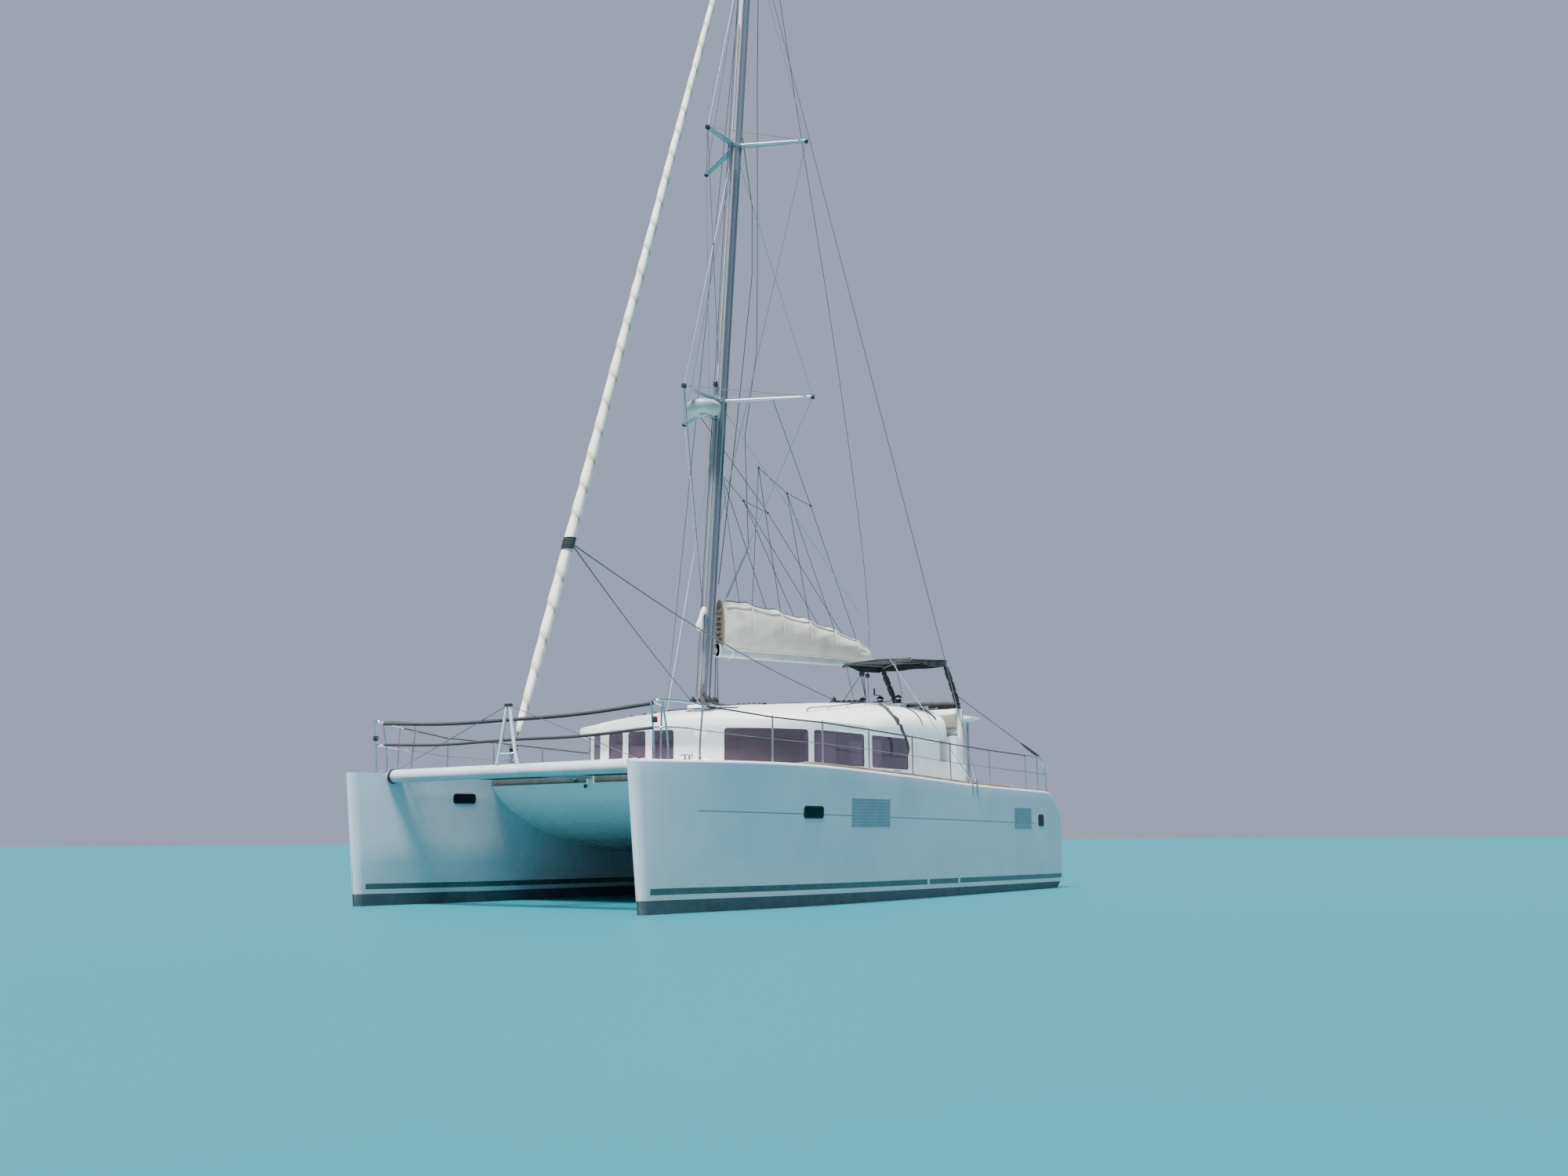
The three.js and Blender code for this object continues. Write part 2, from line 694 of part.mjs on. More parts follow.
const wheelHub = 60;
function steeringWheel() {
  const rimR = 340;
  const spokeCount = 5;
  const rim = new THREE.TorusGeometry(rimR, 16, 6, 24);
  let all = rod([0, 0, -20], [0, 0, wheelHub], 45, 16);
  all = join(all, rim);
  for (let i = 0; i < spokeCount; i++) {
    const turn = 2 * Math.PI * i / spokeCount;
    all = join(all, rod([0, 0, 10], [rimR * Math.cos(turn), rimR * Math.sin(turn), 0], 10, 6));
  }
  return all;
}
const wheel = piece('steering_wheel', steeringWheel(), 'steel');
wheel.quaternion.setFromUnitVectors(new THREE.Vector3(0, 0, -1), wheelAxis);
wheel.position.copy(downFace(320).addScaledVector(wheelAxis, wheelHub + seat));

const canopyRows = { foreX: -2400, foreZ: 4225, aftX: -3700, aftZ: 4295, y0: 850, y1: 2290 };
const hoopFoot = { x: -4300, z: 3400 + seat + tubeR };
function helmHoop() {
  const c = canopyRows;
  const top = c.aftZ - 30;
  const crest = top - 20;
  const low = hoopFoot.z;
  const [y0, y1] = [c.y0 + 30, c.y1 - 20];
  const lean = (t) => hoopFoot.x + (c.aftX - hoopFoot.x) * t;
  const rise = (t) => low + (top - low) * t;
  const hoop = bentTube([
    [lean(0), 1190, rise(0)], [lean(0.5), 1010, rise(0.5)], [lean(0.9), y0 + 20, rise(0.9)],
    [c.aftX, y0 + 110, crest], [c.aftX, helmY, top], [c.aftX, y1 - 110, crest],
    [lean(0.9), y1, rise(0.9)], [lean(0.5), y1, rise(0.5)], [lean(0), y1 - 20, rise(0)],
  ], tubeR, 24, 3);
  return join(
    hoop,
    rod([hoopFoot.x, 1175, low], [hoopFoot.x, 2285, low], tubeR - 1, 8),
    rod([c.aftX - 5, y0 + 110, crest], [c.foreX - 6, y0 + 100, c.foreZ - 34], tubeR - 2, 6),
    rod([c.aftX - 5, y1 - 110, crest], [c.foreX - 6, y1 - 100, c.foreZ - 34], tubeR - 2, 6),
    rod([c.foreX, y0, c.foreZ - 30], [c.foreX, y1, c.foreZ - 30], tubeR - 1, 8),
    rod([c.foreX + 2, y0 + 40, c.foreZ - 30], [-2700, y0 + 40, 3388], tubeR - 3, 6),
    rod([c.foreX + 2, y1 - 320, c.foreZ - 30], [-2700, y1 - 320, 3350], tubeR - 3, 6),
  );
}
const raisedRoof = moved(roof, 0, 0, seat);
piece('helm_frame', cut(helmHoop(), raisedRoof), 'steel');
const canopy = canopyRows;
piece('helm_canopy', loft([
  [[canopy.foreX + 30, canopy.y0 - 30, canopy.foreZ - 17.4], [canopy.foreX + 30, canopy.y1 + 30, canopy.foreZ - 17.4],
    [canopy.foreX + 30, canopy.y1 + 30, canopy.foreZ + 3], [canopy.foreX + 30, canopy.y0 - 30, canopy.foreZ + 3]],
  [[canopy.aftX - 30, canopy.y0 - 30, canopy.aftZ - 10.7], [canopy.aftX - 30, canopy.y1 + 30, canopy.aftZ - 10.7],
    [canopy.aftX - 30, canopy.y1 + 30, canopy.aftZ + 7], [canopy.aftX - 30, canopy.y0 - 30, canopy.aftZ + 7]],
]), 'darkCanvas');

// Mast, spreaders and radome
function mastCentre(z) {
  return mastX - mastRake * (z - 3180);
}

function ovalRing(x, y, z, halfX, halfY, count = 20) {
  const ring = [];
  for (let i = 0; i < count; i++) {
    const angle = 2 * Math.PI * i / count;
    ring.push([x + halfX * Math.cos(angle), y + halfY * Math.sin(angle), z]);
  }
  return ring;
}

const mastHalfX = 145;
const mastHalfY = 93;
const mastRows = [
  // z, scale of the section
  [mastFootZ + seat, 1],
  [17500, 1],
  [mastTopZ, 0.72],
];
const mastScale = reader(mastRows, 1);

// The mast's own outline with running room, to cut what bears on it
function mastSleeve(low, high) {
  return loft([low, high].map((z) => {
    const k = mastScale(z);
    return ovalRing(mastCentre(z), 0, z, mastHalfX * k + seat, mastHalfY * k + seat);
  }));
}

const mastTube = loft(mastRows.map(([z, k]) => ovalRing(mastCentre(z), 0, z, mastHalfX * k, mastHalfY * k)));
const stayTopZ = 19600;
const stayFoot = [5300, 0, 2180];
const stayTop = [mastCentre(stayTopZ) + 240, 0, stayTopZ];
const stayTang = block(mastCentre(stayTopZ), stayTop[0] + 40, -20, 20, stayTopZ + 45, stayTopZ + 145);
const crane = block(mastCentre(mastTopZ) - 330, mastCentre(mastTopZ) + 150, -45, 45, mastTopZ - 60, mastTopZ);
const gooseneck = block(boomPinX - 25, mastCentre(boomPinZ), -35, 35, boomPinZ - 90, boomPinZ + 90);
const pinSlot = block(boomPinX - 60, boomPinX + 42, -60, 60, boomPinZ - 55, boomPinZ + 55);
const boomPinR = 14;
const pinSides = 24;

// A bar on the boom's pivot line, which leans with the mast
function pivotBar(reach, radius, sides) {
  const along = new THREE.Vector3(-mastRake, 0, 1).normalize().multiplyScalar(reach);
  return rod([boomPinX - along.x, 0, boomPinZ - along.z], [boomPinX + along.x, 0, boomPinZ + along.z], radius, sides);
}
piece('mast', join(
  cut(join(mastTube, stayTang, crane, gooseneck), pinSlot),
  pivotBar(70, boomPinR, pinSides),
), 'spar');

const spreaderRows = [
  // name, z, side arm, fore arm
  ['lower_spreaders', 8780, 1700, 1100],
  ['upper_spreaders', 13950, 1380, 900],
];
const armAngle = THREE.MathUtils.degToRad(118);
for (const [name, z, side, fore] of spreaderRows) {
  const x = mastCentre(z);
  const collar = loft([z - 45, z + 45].map((h) => ovalRing(mastCentre(h), 0, h, mastHalfX + 22, mastHalfY + 22)));
  const arms = [[armAngle, side], [-armAngle, side], [0, fore]].map(([angle, length]) => rod(
    [x + 100 * Math.cos(angle), 70 * Math.sin(angle), z],
    [x + length * Math.cos(angle), length * Math.sin(angle), z + 20],
    30, 8, 22,
  ));
  piece(name, cut(join(collar, ...arms), mastSleeve(z - 200, z + 200)), 'spar');
}

const radarZ = 8420;
const radarX = mastCentre(radarZ) + 480;
const radome = new THREE.LatheGeometry([
  [0, 0], [230, 0], [295, 50], [310, 120], [280, 190], [180, 235], [0, 250],
].map(([r, h]) => new THREE.Vector2(r, h)), 24).rotateX(Math.PI / 2).translate(radarX, 0, radarZ);
const radarArm = block(mastCentre(radarZ) + 60, radarX + 60, -60, 60, radarZ - 45, radarZ + 10);
piece('radome', cut(join(radome, radarArm), mastSleeve(radarZ - 300, radarZ + 400)), 'gelcoat');

// Boom with its stowed mainsail in a bag
const boomRows = [
  // x, underside z, half width, height
  [430, 4105, 75, 235],
  [-2200, 4245, 80, 240],
  [-4750, 4390, 72, 200],
];
function boomRing([x, low, half, high]) {
  return [
    [x, -half * 0.7, low], [x, half * 0.7, low], [x, half, low + high * 0.3], [x, half, low + high * 0.8],
    [x, half * 0.6, low + high], [x, -half * 0.6, low + high], [x, -half, low + high * 0.8], [x, -half, low + high * 0.3],
  ];
}
const boomBore = pivotBar(90, (boomPinR + seat) / Math.cos(Math.PI / pinSides), pinSides);
const boomTongue = block(420, boomPinX, -20, 20, boomPinZ - 40, boomPinZ + 40);
piece('boom', cut(join(loft(boomRows.map(boomRing)), pivotBar(46, 28, 12), boomTongue), boomBore), 'spar');

const bagRows = [
  // x, half width, top z
  [360, 110, 5130],
  [0, 190, 5195],
  [-1000, 235, 5190],
  [-2300, 240, 5140],
  [-3600, 215, 5010],
  [-4400, 160, 4860],
  [-4700, 90, 4770],
];
const boomLow = reader([...boomRows].reverse(), 1);
const boomTall = reader([...boomRows].reverse(), 3);
piece('sail_bag', cut(loft(bagRows.map(([x, half, top]) => {
  const low = boomLow(x) + boomTall(x) * 0.55;
  const high = top - low;
  const ring = [[x, -half * 0.55, low], [x, half * 0.55, low]];
  for (const [across, up] of [[0.95, 0.3], [1, 0.5], [0.85, 0.75], [0.45, 0.95], [0, 1]]) {
    ring.push([x, half * across, low + high * up]);
  }
  for (const [across, up] of [[0.45, 0.95], [0.85, 0.75], [1, 0.5], [0.95, 0.3]]) {
    ring.push([x, -half * across, low + high * up]);
  }
  return ring;
})), loft(boomRows.map(([x, low, half, high]) => boomRing([x, low - seat, half + seat, high + 2 * seat])))), 'canvas');

// Furled headsail on its stay, with the furling drum at its foot
const stayAt = (z) => stayFoot[0] + (stayTop[0] - stayFoot[0]) * (z - stayFoot[2]) / (stayTop[2] - stayFoot[2]);
const sailRows = [
  // z, radius
  [2520, 45],
  [3000, 72],
  [5500, 92],
  [12000, 78],
  [18500, 52],
  [19300, 25],
];
piece('furled_genoa', join(
  loft(sailRows.map(([z, r]) => ovalRing(stayAt(z), 0, z, r, r, 14))),
  loft([2400, stayTopZ + 45 - seat].map((z) => ovalRing(stayAt(z), 0, z, 14, 14, 8))),
), 'sail');
const drum = new THREE.LatheGeometry([
  [0, 0], [95, 0], [95, 12], [55, 20], [55, 90], [95, 98], [95, 112], [30, 125], [20, 200], [0, 200],
].map(([r, h]) => new THREE.Vector2(r, h)), 20).rotateX(Math.PI / 2);

// Front crossbeam, longeron, striker strut and nets
const beamHalf = deckInner(stemTop - beamX) - 6;
const beam = rod([beamX, -beamHalf - 60, beamZ], [beamX, beamHalf + 60, beamZ], beamR, 20);
const sideways = (geometry, dy) => moved(geometry, 0, dy, 0);
const longeron = block(deckFrontX + seat, beamX, -60, 60, beamZ - 60, beamZ + 40);
const beamCut = cut(join(beam, longeron), sideways(bareHull, -seat), sideways(mirrored(bareHull), seat));
piece('front_crossbeam', beamCut, 'spar');
const beamClear = rod([beamX, -3000, beamZ], [beamX, 3000, beamZ], beamR + seat, 20);

function striker() {
  const topX = 5400;
  const topZ = 2900;
  const foot = 210;
  const legs = [1, -1].map((side) => rod([beamX + 45, foot * side, beamZ + 60], [topX, 25 * side, topZ], 28));
  const cap = block(topX - 34, topX + 34, -62, 62, topZ - 20, topZ + 25);
  const bar = rod([beamX + 49, -170, 2200], [beamX + 49, 170, 2200], 12);
  return cut(join(...legs, cap, bar), beamClear);
}
const furler = join(
  drum.translate(stayAt(2250), 0, 2200 - seat),
  rod([stayFoot[0] + 30, 0, beamZ], [stayAt(2250), 0, 2210], 18),
);
piece('furler_drum', cut(furler, beamClear), 'steel');
const furlerClear = rod([stayFoot[0] + 30, 0, 1900], [stayFoot[0] + 30, 0, 2400], 19);
piece('striker_strut', cut(striker(), furlerClear), 'steel');

function net() {
  const [x0, x1] = [deckFrontX + seat, beamX - beamR - 40];
  const rowCount = 6;
  const rings = [];
  for (let i = 0; i <= rowCount; i++) {
    const x = x0 + (x1 - x0) * i / rowCount;
    const y = 2900;
    rings.push([[x, 60 + seat, 1930], [x, y, 1930], [x, y, 1945], [x, 60 + seat, 1945]]);
  }
  return cut(loft(rings), sideways(bareHull, -seat));
}
pair('trampoline', net(), 'net');

// Bow rails, side rails and stern rails
const railTop = 640;
function deckPoint(x, inset, up) {
  return [x, deckOuter(stemTop - x) - inset, sheer(x) + up];
}

function onDeck(x, y, radius = tubeR) {
  return rod([x, y, sheer(x) - 60], [x, y, sheer(x) + 20], radius + 12, 6);
}

function pulpit() {
  const top = 2800;
  const legs = [
    // foot x, foot y, head x, head y
    [4800, 3060, 4760, 3080],
    [5330, 2935, 5420, 2910],
    [5330, 2690, 5420, 2715],
    [4980, 2520, 4940, 2500],
  ];
  const posts = legs.flatMap(([x, y, hx, hy]) => [rod([x, y, sheer(x) - 60], [hx, hy, top - 20], tubeR, 6), onDeck(x, y)]);
  const rail = bentTube([
    [4700, 3090, top - 40], [5100, 3010, top], [5400, 2920, top], [5480, 2815, top],
    [5400, 2710, top], [5150, 2580, top], [4900, 2490, top - 30],
  ], tubeR, 16, 3);
  const middle = bentTube([
    [4760, 3075, 2420], [5100, 2995, 2440], [5385, 2915, 2440], [5430, 2815, 2440], [5385, 2705, 2440],
  ], tubeR - 3, 10, 3);
  return cut(join(rail, middle, ...posts), raisedHull);
}
pair('bow_pulpit', pulpit(), 'steel');

const stanchionXs = [3500, 2350, 1100, -250, -1550, -3050];
function sternRail() {
  const inset = 100;
  const spot = (x, up) => deckPoint(x, inset, up);
  const rail = bentTube([
    spot(-4600, railTop), spot(-5000, railTop), spot(-5300, railTop - 10), [-5480, 3440, 2250], [-5520, 3440, 1650],
  ], tubeR, 14, 3);
  const low = rod(spot(-4600, railTop * 0.52), [-5470, 3440, 2140], tubeR - 3);
  const posts = [-4600, -5150].flatMap((x) => {
    const [px, py, pz] = spot(x, 0);
    return [rod([px, py, pz - 60], [px, py, pz + railTop], tubeR, 6), onDeck(px, py)];
  });
  return [rail, low, ...posts];
}

function guardrail() {
  const inset = 100;
  const wireR = 6;
  const posts = stanchionXs.flatMap((x) => {
    const [px, py, pz] = deckPoint(x, inset, 0);
    return [rod([px, py, pz - 60], [px, py, pz + railTop + 12], 12, 6), onDeck(px, py, 12)];
  });
  const ends = [4700, ...stanchionXs, -4600];
  const wires = [railTop, railTop * 0.52].flatMap((up, row) => {
    const spots = ends.map((x) => deckPoint(x, inset, up));
    spots[0] = [[4680, 3092, 2757], [4732, 3082, 2419]][row];
    return spots.slice(1).map((spot, i) => rod(spots[i], spot, wireR, 4));
  });
  return cut(join(...posts, ...wires, ...sternRail()), raisedHull);
}
pair('guardrail', guardrail(), 'steel');

// Main stays: one shroud each side from its chainplate to the mast
function shroud() {
  const footX = -2320;
  const face = deckOuter(stemTop - footX);
  const foot = [footX, face + 2, 1900];
  const head = [mastCentre(19000) - 20, 60, 19000];
  const stayRows = [
    // share of the length, radius
    [0.0005, 16],
    [0.03, 16],
    [0.032, 8],
    [1, 8],
  ];
  const wire = loft(stayRows.map(([t, r]) => {
    const [x, y, z] = foot.map((v, i) => v + (head[i] - v) * t);
    return ovalRing(x, y, z, r, r, 6);
  }));
  const strap = block(footX - 25, footX + 25, face + seat, face + 12, 1700, 1960);
  return cut(join(strap, wire), mastSleeve(18500, 19500));
}
pair('cap_shroud', shroud(), 'steel');

// Deck gear
const winchYs = [1690, 1300, 910];
function winchBank() {
  const x = -2950;
  const base = block(x - 130, x + 130, 800, 1800, 3357, 3432);
  const winches = winchYs.map((y) => new THREE.LatheGeometry([
    [0, -20], [85, -20], [85, 15], [55, 30], [48, 80], [62, 118], [70, 125], [66, 150], [30, 162], [0, 162],
  ].map(([r, h]) => new THREE.Vector2(r, h)), 12).rotateX(Math.PI / 2).translate(x, y, 3432));
  return cut(join(base, ...winches), raisedRoof);
}
piece('winch_bank', winchBank(), 'steel');
const windlass = join(
  new THREE.LatheGeometry([
    [0, 0], [110, 0], [110, 40], [60, 60], [55, 110], [85, 130], [85, 150], [0, 165],
  ].map(([r, h]) => new THREE.Vector2(r, h)), 20).rotateX(Math.PI / 2).translate(3430, 0, sheer(3430) + seat),
  rod([3430, 0, sheer(3430) + 95], [3430, 190, sheer(3430) + 95], 60, 14),
);
piece('windlass', windlass, 'steel');

export default boat;
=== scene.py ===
import bpy
import json
import math
import random
from mathutils import Matrix, Vector, noise

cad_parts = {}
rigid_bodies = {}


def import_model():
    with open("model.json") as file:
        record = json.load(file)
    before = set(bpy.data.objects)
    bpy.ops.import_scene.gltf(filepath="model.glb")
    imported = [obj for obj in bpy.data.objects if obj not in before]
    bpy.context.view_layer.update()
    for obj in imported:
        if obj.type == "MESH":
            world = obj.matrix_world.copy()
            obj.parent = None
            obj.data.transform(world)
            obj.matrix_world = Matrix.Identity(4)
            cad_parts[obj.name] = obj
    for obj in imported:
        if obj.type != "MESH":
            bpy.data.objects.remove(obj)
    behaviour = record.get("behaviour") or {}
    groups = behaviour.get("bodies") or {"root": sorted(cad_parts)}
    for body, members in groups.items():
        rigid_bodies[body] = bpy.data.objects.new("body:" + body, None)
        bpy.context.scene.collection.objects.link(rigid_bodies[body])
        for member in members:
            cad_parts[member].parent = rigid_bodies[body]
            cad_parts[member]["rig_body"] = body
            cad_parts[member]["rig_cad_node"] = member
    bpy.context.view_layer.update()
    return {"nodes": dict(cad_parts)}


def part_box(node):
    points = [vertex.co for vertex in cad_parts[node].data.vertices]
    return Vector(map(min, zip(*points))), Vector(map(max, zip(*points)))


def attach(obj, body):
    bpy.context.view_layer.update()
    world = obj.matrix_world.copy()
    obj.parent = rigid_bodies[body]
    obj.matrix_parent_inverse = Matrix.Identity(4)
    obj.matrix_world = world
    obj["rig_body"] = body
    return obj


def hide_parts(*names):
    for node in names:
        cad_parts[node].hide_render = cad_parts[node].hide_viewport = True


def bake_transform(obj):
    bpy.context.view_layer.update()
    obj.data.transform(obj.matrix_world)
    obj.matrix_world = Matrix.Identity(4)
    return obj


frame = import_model()
random.seed(4)
print("frame loaded")

# camera, floor and light
camera = {
    "place": (20.110, 15.049, 0.963),
    "yaw": 214.6507,    # degrees from +X
    "pitch": 9.9839,
    "roll": -0.4168,
    "lens": 32.67,
}
studio = {
    "floorSize": 900,
    "floorColour": "#166874",
    "skyColour": "#9da7be",
    "skyStrength": 1.1,
    "keyStrength": 14.5,
    "keyAngle": 16,
    "keyTurn": (2, 68),   # degrees round from +X and up
}


def setCamera():
    yaw, pitch, roll = (math.radians(camera[key]) for key in ("yaw", "pitch", "roll"))
    ahead = Vector((math.cos(yaw) * math.cos(pitch), math.sin(yaw) * math.cos(pitch), math.sin(pitch)))
    right = Vector((math.sin(yaw), -math.cos(yaw), 0))
    above = right.cross(ahead)
    side = right * math.cos(roll) + above * math.sin(roll)
    top = above * math.cos(roll) - right * math.sin(roll)
    data = bpy.data.cameras.new("photoCamera")
    data.lens = camera["lens"]
    data.sensor_width = 36
    data.clip_end = 1500
    seen = bpy.data.objects.new("photoCamera", data)
    turn = Matrix((side, top, -ahead)).transposed().to_4x4()
    seen.matrix_world = Matrix.Translation(camera["place"]) @ turn
    bpy.context.scene.collection.objects.link(seen)
    bpy.context.scene.camera = seen


def paint(hexColour):    # an sRGB hex value as linear colour
    parts = [int(hexColour[i:i + 2], 16) / 255 for i in (1, 3, 5)]
    linear = [c / 12.92 if c <= 0.04045 else ((c + 0.055) / 1.055) ** 2.4 for c in parts]
    return tuple(linear) + (1.0,)


def addNode(tree, kind, *inputs, out=0, sockets=None, **settings):
    # one node with its settings, its sockets in order or by name; gives back the output asked for
    node = tree.nodes.new("ShaderNode" + kind)
    for key, value in settings.items():
        setattr(node, key, value)
    for key, value in list(enumerate(inputs)) + list((sockets or {}).items()):
        if isinstance(value, bpy.types.NodeSocket):
            tree.links.new(value, node.inputs[key])
        elif value is not None:
            node.inputs[key].default_value = value
    return node.outputs[out]


def startMaterial(name, fixed):
    material = bpy.data.materials.new(name)
    material.use_nodes = True
    shader = material.node_tree.nodes["Principled BSDF"]
    for key, value in fixed.items():
        shader.inputs[key].default_value = value
    where = addNode(material.node_tree, "TexCoord", out="Object")
    return material, material.node_tree, shader, where


def setStage():
    bpy.ops.mesh.primitive_plane_add(size=studio["floorSize"])
    floor = bpy.context.object
    floor.name = "studioFloor"
    material, tree, shader, where = startMaterial("matteFloor", {
        "Base Color": paint(studio["floorColour"]), "Roughness": 0.5, "Specular IOR Level": 0.25,
    })
    floor.data.materials.append(material)
    world = bpy.data.worlds.new("softSky")
    bpy.context.scene.world = world
    world.use_nodes = True
    sky = world.node_tree.nodes["Background"]
    sky.inputs["Color"].default_value = paint(studio["skyColour"])
    sky.inputs["Strength"].default_value = studio["skyStrength"]
    lamp = bpy.data.lights.new("softKey", "SUN")
    lamp.energy = studio["keyStrength"]
    lamp.angle = math.radians(studio["keyAngle"])
    lamp.color = (1.0, 0.985, 0.96)
    key = bpy.data.objects.new("softKey", lamp)
    round_, up = (math.radians(v) for v in studio["keyTurn"])
    toward = Vector((math.cos(round_) * math.cos(up), math.sin(round_) * math.cos(up), math.sin(up)))
    key.rotation_euler = toward.to_track_quat("Z", "Y").to_euler()
    bpy.context.scene.collection.objects.link(key)


setCamera()
setStage()
print("stage set")


# finishes
def finishSurface(tree, shader, colour, roughness=None, relief=()):
    # relief is stacked rows of height, depth in metres and strength
    tree.links.new(colour, shader.inputs["Base Color"])
    if roughness is not None:
        tree.links.new(roughness, shader.inputs["Roughness"])
    normal = None
    for height, depth, strength in relief:
        normal = addNode(tree, "Bump", sockets={"Height": height, "Distance": depth, "Strength": strength, "Normal": normal})
    if normal is not None:
        tree.links.new(normal, shader.inputs["Normal"])


# deck and hull are one white gelcoat; the hull pair is painted darker and bluer, as painted shade with a painted
# reflection of water
gelcoat = {"deck": ("#f6f7f6", "#eceff0"), "hull": ("#c9d6de", "#bac9d3"), "roughness": 0.2}


def gelcoatParts(name, colours):    # moulded polyester: glossy, with long soft waves and a faint chalky bloom
    material, tree, shader, where = startMaterial(name, {"Coat Weight": 0.25, "Coat Roughness": 0.12, "IOR": 1.5})
    bloom = addNode(tree, "TexNoise", where, None, 0.9, 4)
    colour = addNode(tree, "MixRGB", addNode(tree, "MapRange", bloom, 0.35, 0.7), *(paint(c) for c in colours))
    wear = addNode(tree, "TexNoise", where, None, 3.5, 3)
    rough = addNode(tree, "MapRange", wear, 0.3, 0.7, gelcoat["roughness"], gelcoat["roughness"] + 0.14)
    relief = [
        (addNode(tree, "TexNoise", where, None, 1.6, 1), 0.004, 0.15),     # mould fairness, 0.6 m waves
        (addNode(tree, "TexNoise", where, None, 420, 2), 0.0002, 0.25),    # orange peel of 2 mm
    ]
    return material, tree, shader, where, colour, rough, relief


def makeGelcoat():
    material, tree, shader, where, colour, rough, relief = gelcoatParts("polyesterGelcoat", gelcoat["deck"])
    finishSurface(tree, shader, colour, rough, relief)
    return material


topsides = {
    "slope": 0.0055,      # the painted lines rise forward by this much for each metre
    "bottomTop": 0.149,   # top of the bottom paint
    "stripe": (0.217, 0.301),
    "stripeEnd": 5.63,
    "breaks": (-0.57, -1.62),
    "stripeColours": ("#414e53", "#556165"),
    "bottomColours": ("#3a4852", "#4b5a5f"),
    "sheerLine": (1.2711, 0.0131, 0.0075),    # height, slope, half width
    "sheerLineEnds": (-4.75, 4.92),
}


def makeTopsides():    # hull gelcoat with boot stripe, bottom paint and a thin sheer line; its blue-grey gelcoat colour is painted shade
    material, tree, shader, where, colour, rough, relief = gelcoatParts("hullGelcoatPaintedShade", gelcoat["hull"])
    x, y, z = (addNode(tree, "SeparateXYZ", where, out=axis) for axis in "XYZ")
    level = addNode(tree, "Math", z, addNode(tree, "Math", x, topsides["slope"], operation="MULTIPLY"), operation="SUBTRACT")
    drawn = addNode(tree, "Mapping", where, None, None, (9, 9, 0.55))
    streak = addNode(tree, "MapRange", addNode(tree, "TexNoise", drawn, None, 1, 4), 0.52, 0.75)
    low = addNode(tree, "MapRange", z, 1.5, 0.1, 0, 0.22)
    colour = addNode(tree, "MixRGB", addNode(tree, "Math", streak, low, operation="MULTIPLY"), colour, paint("#cbbf9f"))    # run-off
    colour = addNode(tree, "MixRGB", addNode(tree, "MapRange", level, 0.62, 0.16, 0, 0.2), colour, paint("#c6c8a8"))    # waterline stain
    masks = {}
    for name, low, high in (("stripe", *topsides["stripe"]), ("bottom", -9, topsides["bottomTop"])):
        above = addNode(tree, "Math", level, low, operation="GREATER_THAN")
        below = addNode(tree, "Math", level, high, operation="LESS_THAN")
        masks[name] = addNode(tree, "Math", above, below, operation="MULTIPLY")
    ends = [addNode(tree, "Math", x, topsides["stripeEnd"], operation="LESS_THAN")]
    for place in topsides["breaks"]:
        away = addNode(tree, "Math", addNode(tree, "Math", x, place, operation="SUBTRACT"), operation="ABSOLUTE")
        ends.append(addNode(tree, "Math", away, 0.035, operation="GREATER_THAN"))
    for end in ends:
        masks["stripe"] = addNode(tree, "Math", masks["stripe"], end, operation="MULTIPLY")
    height, slope, half = topsides["sheerLine"]
    lineLevel = addNode(tree, "Math", z, addNode(tree, "Math", x, slope, operation="MULTIPLY"), operation="SUBTRACT")
    off = addNode(tree, "Math", addNode(tree, "Math", lineLevel, height, operation="SUBTRACT"), operation="ABSOLUTE")
    masks["line"] = addNode(tree, "Math", off, half, operation="LESS_THAN")
    aft, fore = topsides["sheerLineEnds"]
    outside = addNode(tree, "Math", addNode(tree, "Math", y, operation="ABSOLUTE"), 2.81, operation="GREATER_THAN")
    for end in (outside, addNode(tree, "Math", x, fore, operation="LESS_THAN"), addNode(tree, "Math", x, aft, operation="GREATER_THAN")):
        masks["line"] = addNode(tree, "Math", masks["line"], end, operation="MULTIPLY")
    faded = addNode(tree, "MapRange", addNode(tree, "TexNoise", where, None, 6, 4), 0.3, 0.75)
    stripe = addNode(tree, "MixRGB", faded, *(paint(c) for c in topsides["stripeColours"]))
    slime = addNode(tree, "MixRGB", faded, *(paint(c) for c in topsides["bottomColours"]))
    colour = addNode(tree, "MixRGB", masks["stripe"], colour, stripe)
    colour = addNode(tree, "MixRGB", masks["line"], colour, paint("#76868f"))
    colour = addNode(tree, "MixRGB", masks["bottom"], colour, slime)
    matt = addNode(tree, "Math", masks["bottom"], 0.75, operation="MULTIPLY")
    finishSurface(tree, shader, colour, addNode(tree, "Math", rough, matt, operation="MAXIMUM"), relief)
    return material


def makePlain(name, first, second, fixed, scale=8.0, rough=(0.4, 0.55), grain=None):
    # a colour that varies in soft patches; grain is scale and depth in metres
    material, tree, shader, where = startMaterial(name, fixed)
    patch = addNode(tree, "MapRange", addNode(tree, "TexNoise", where, None, scale, 4), 0.35, 0.7)
    colour = addNode(tree, "MixRGB", patch, paint(first), paint(second))
    wear = addNode(tree, "MapRange", addNode(tree, "TexNoise", where, None, scale * 3, 3), 0.3, 0.7, *rough)
    relief = [(addNode(tree, "TexNoise", where, None, grain[0], 3), grain[1], 1)] if grain else []
    finishSurface(tree, shader, colour, wear, relief)
    return material


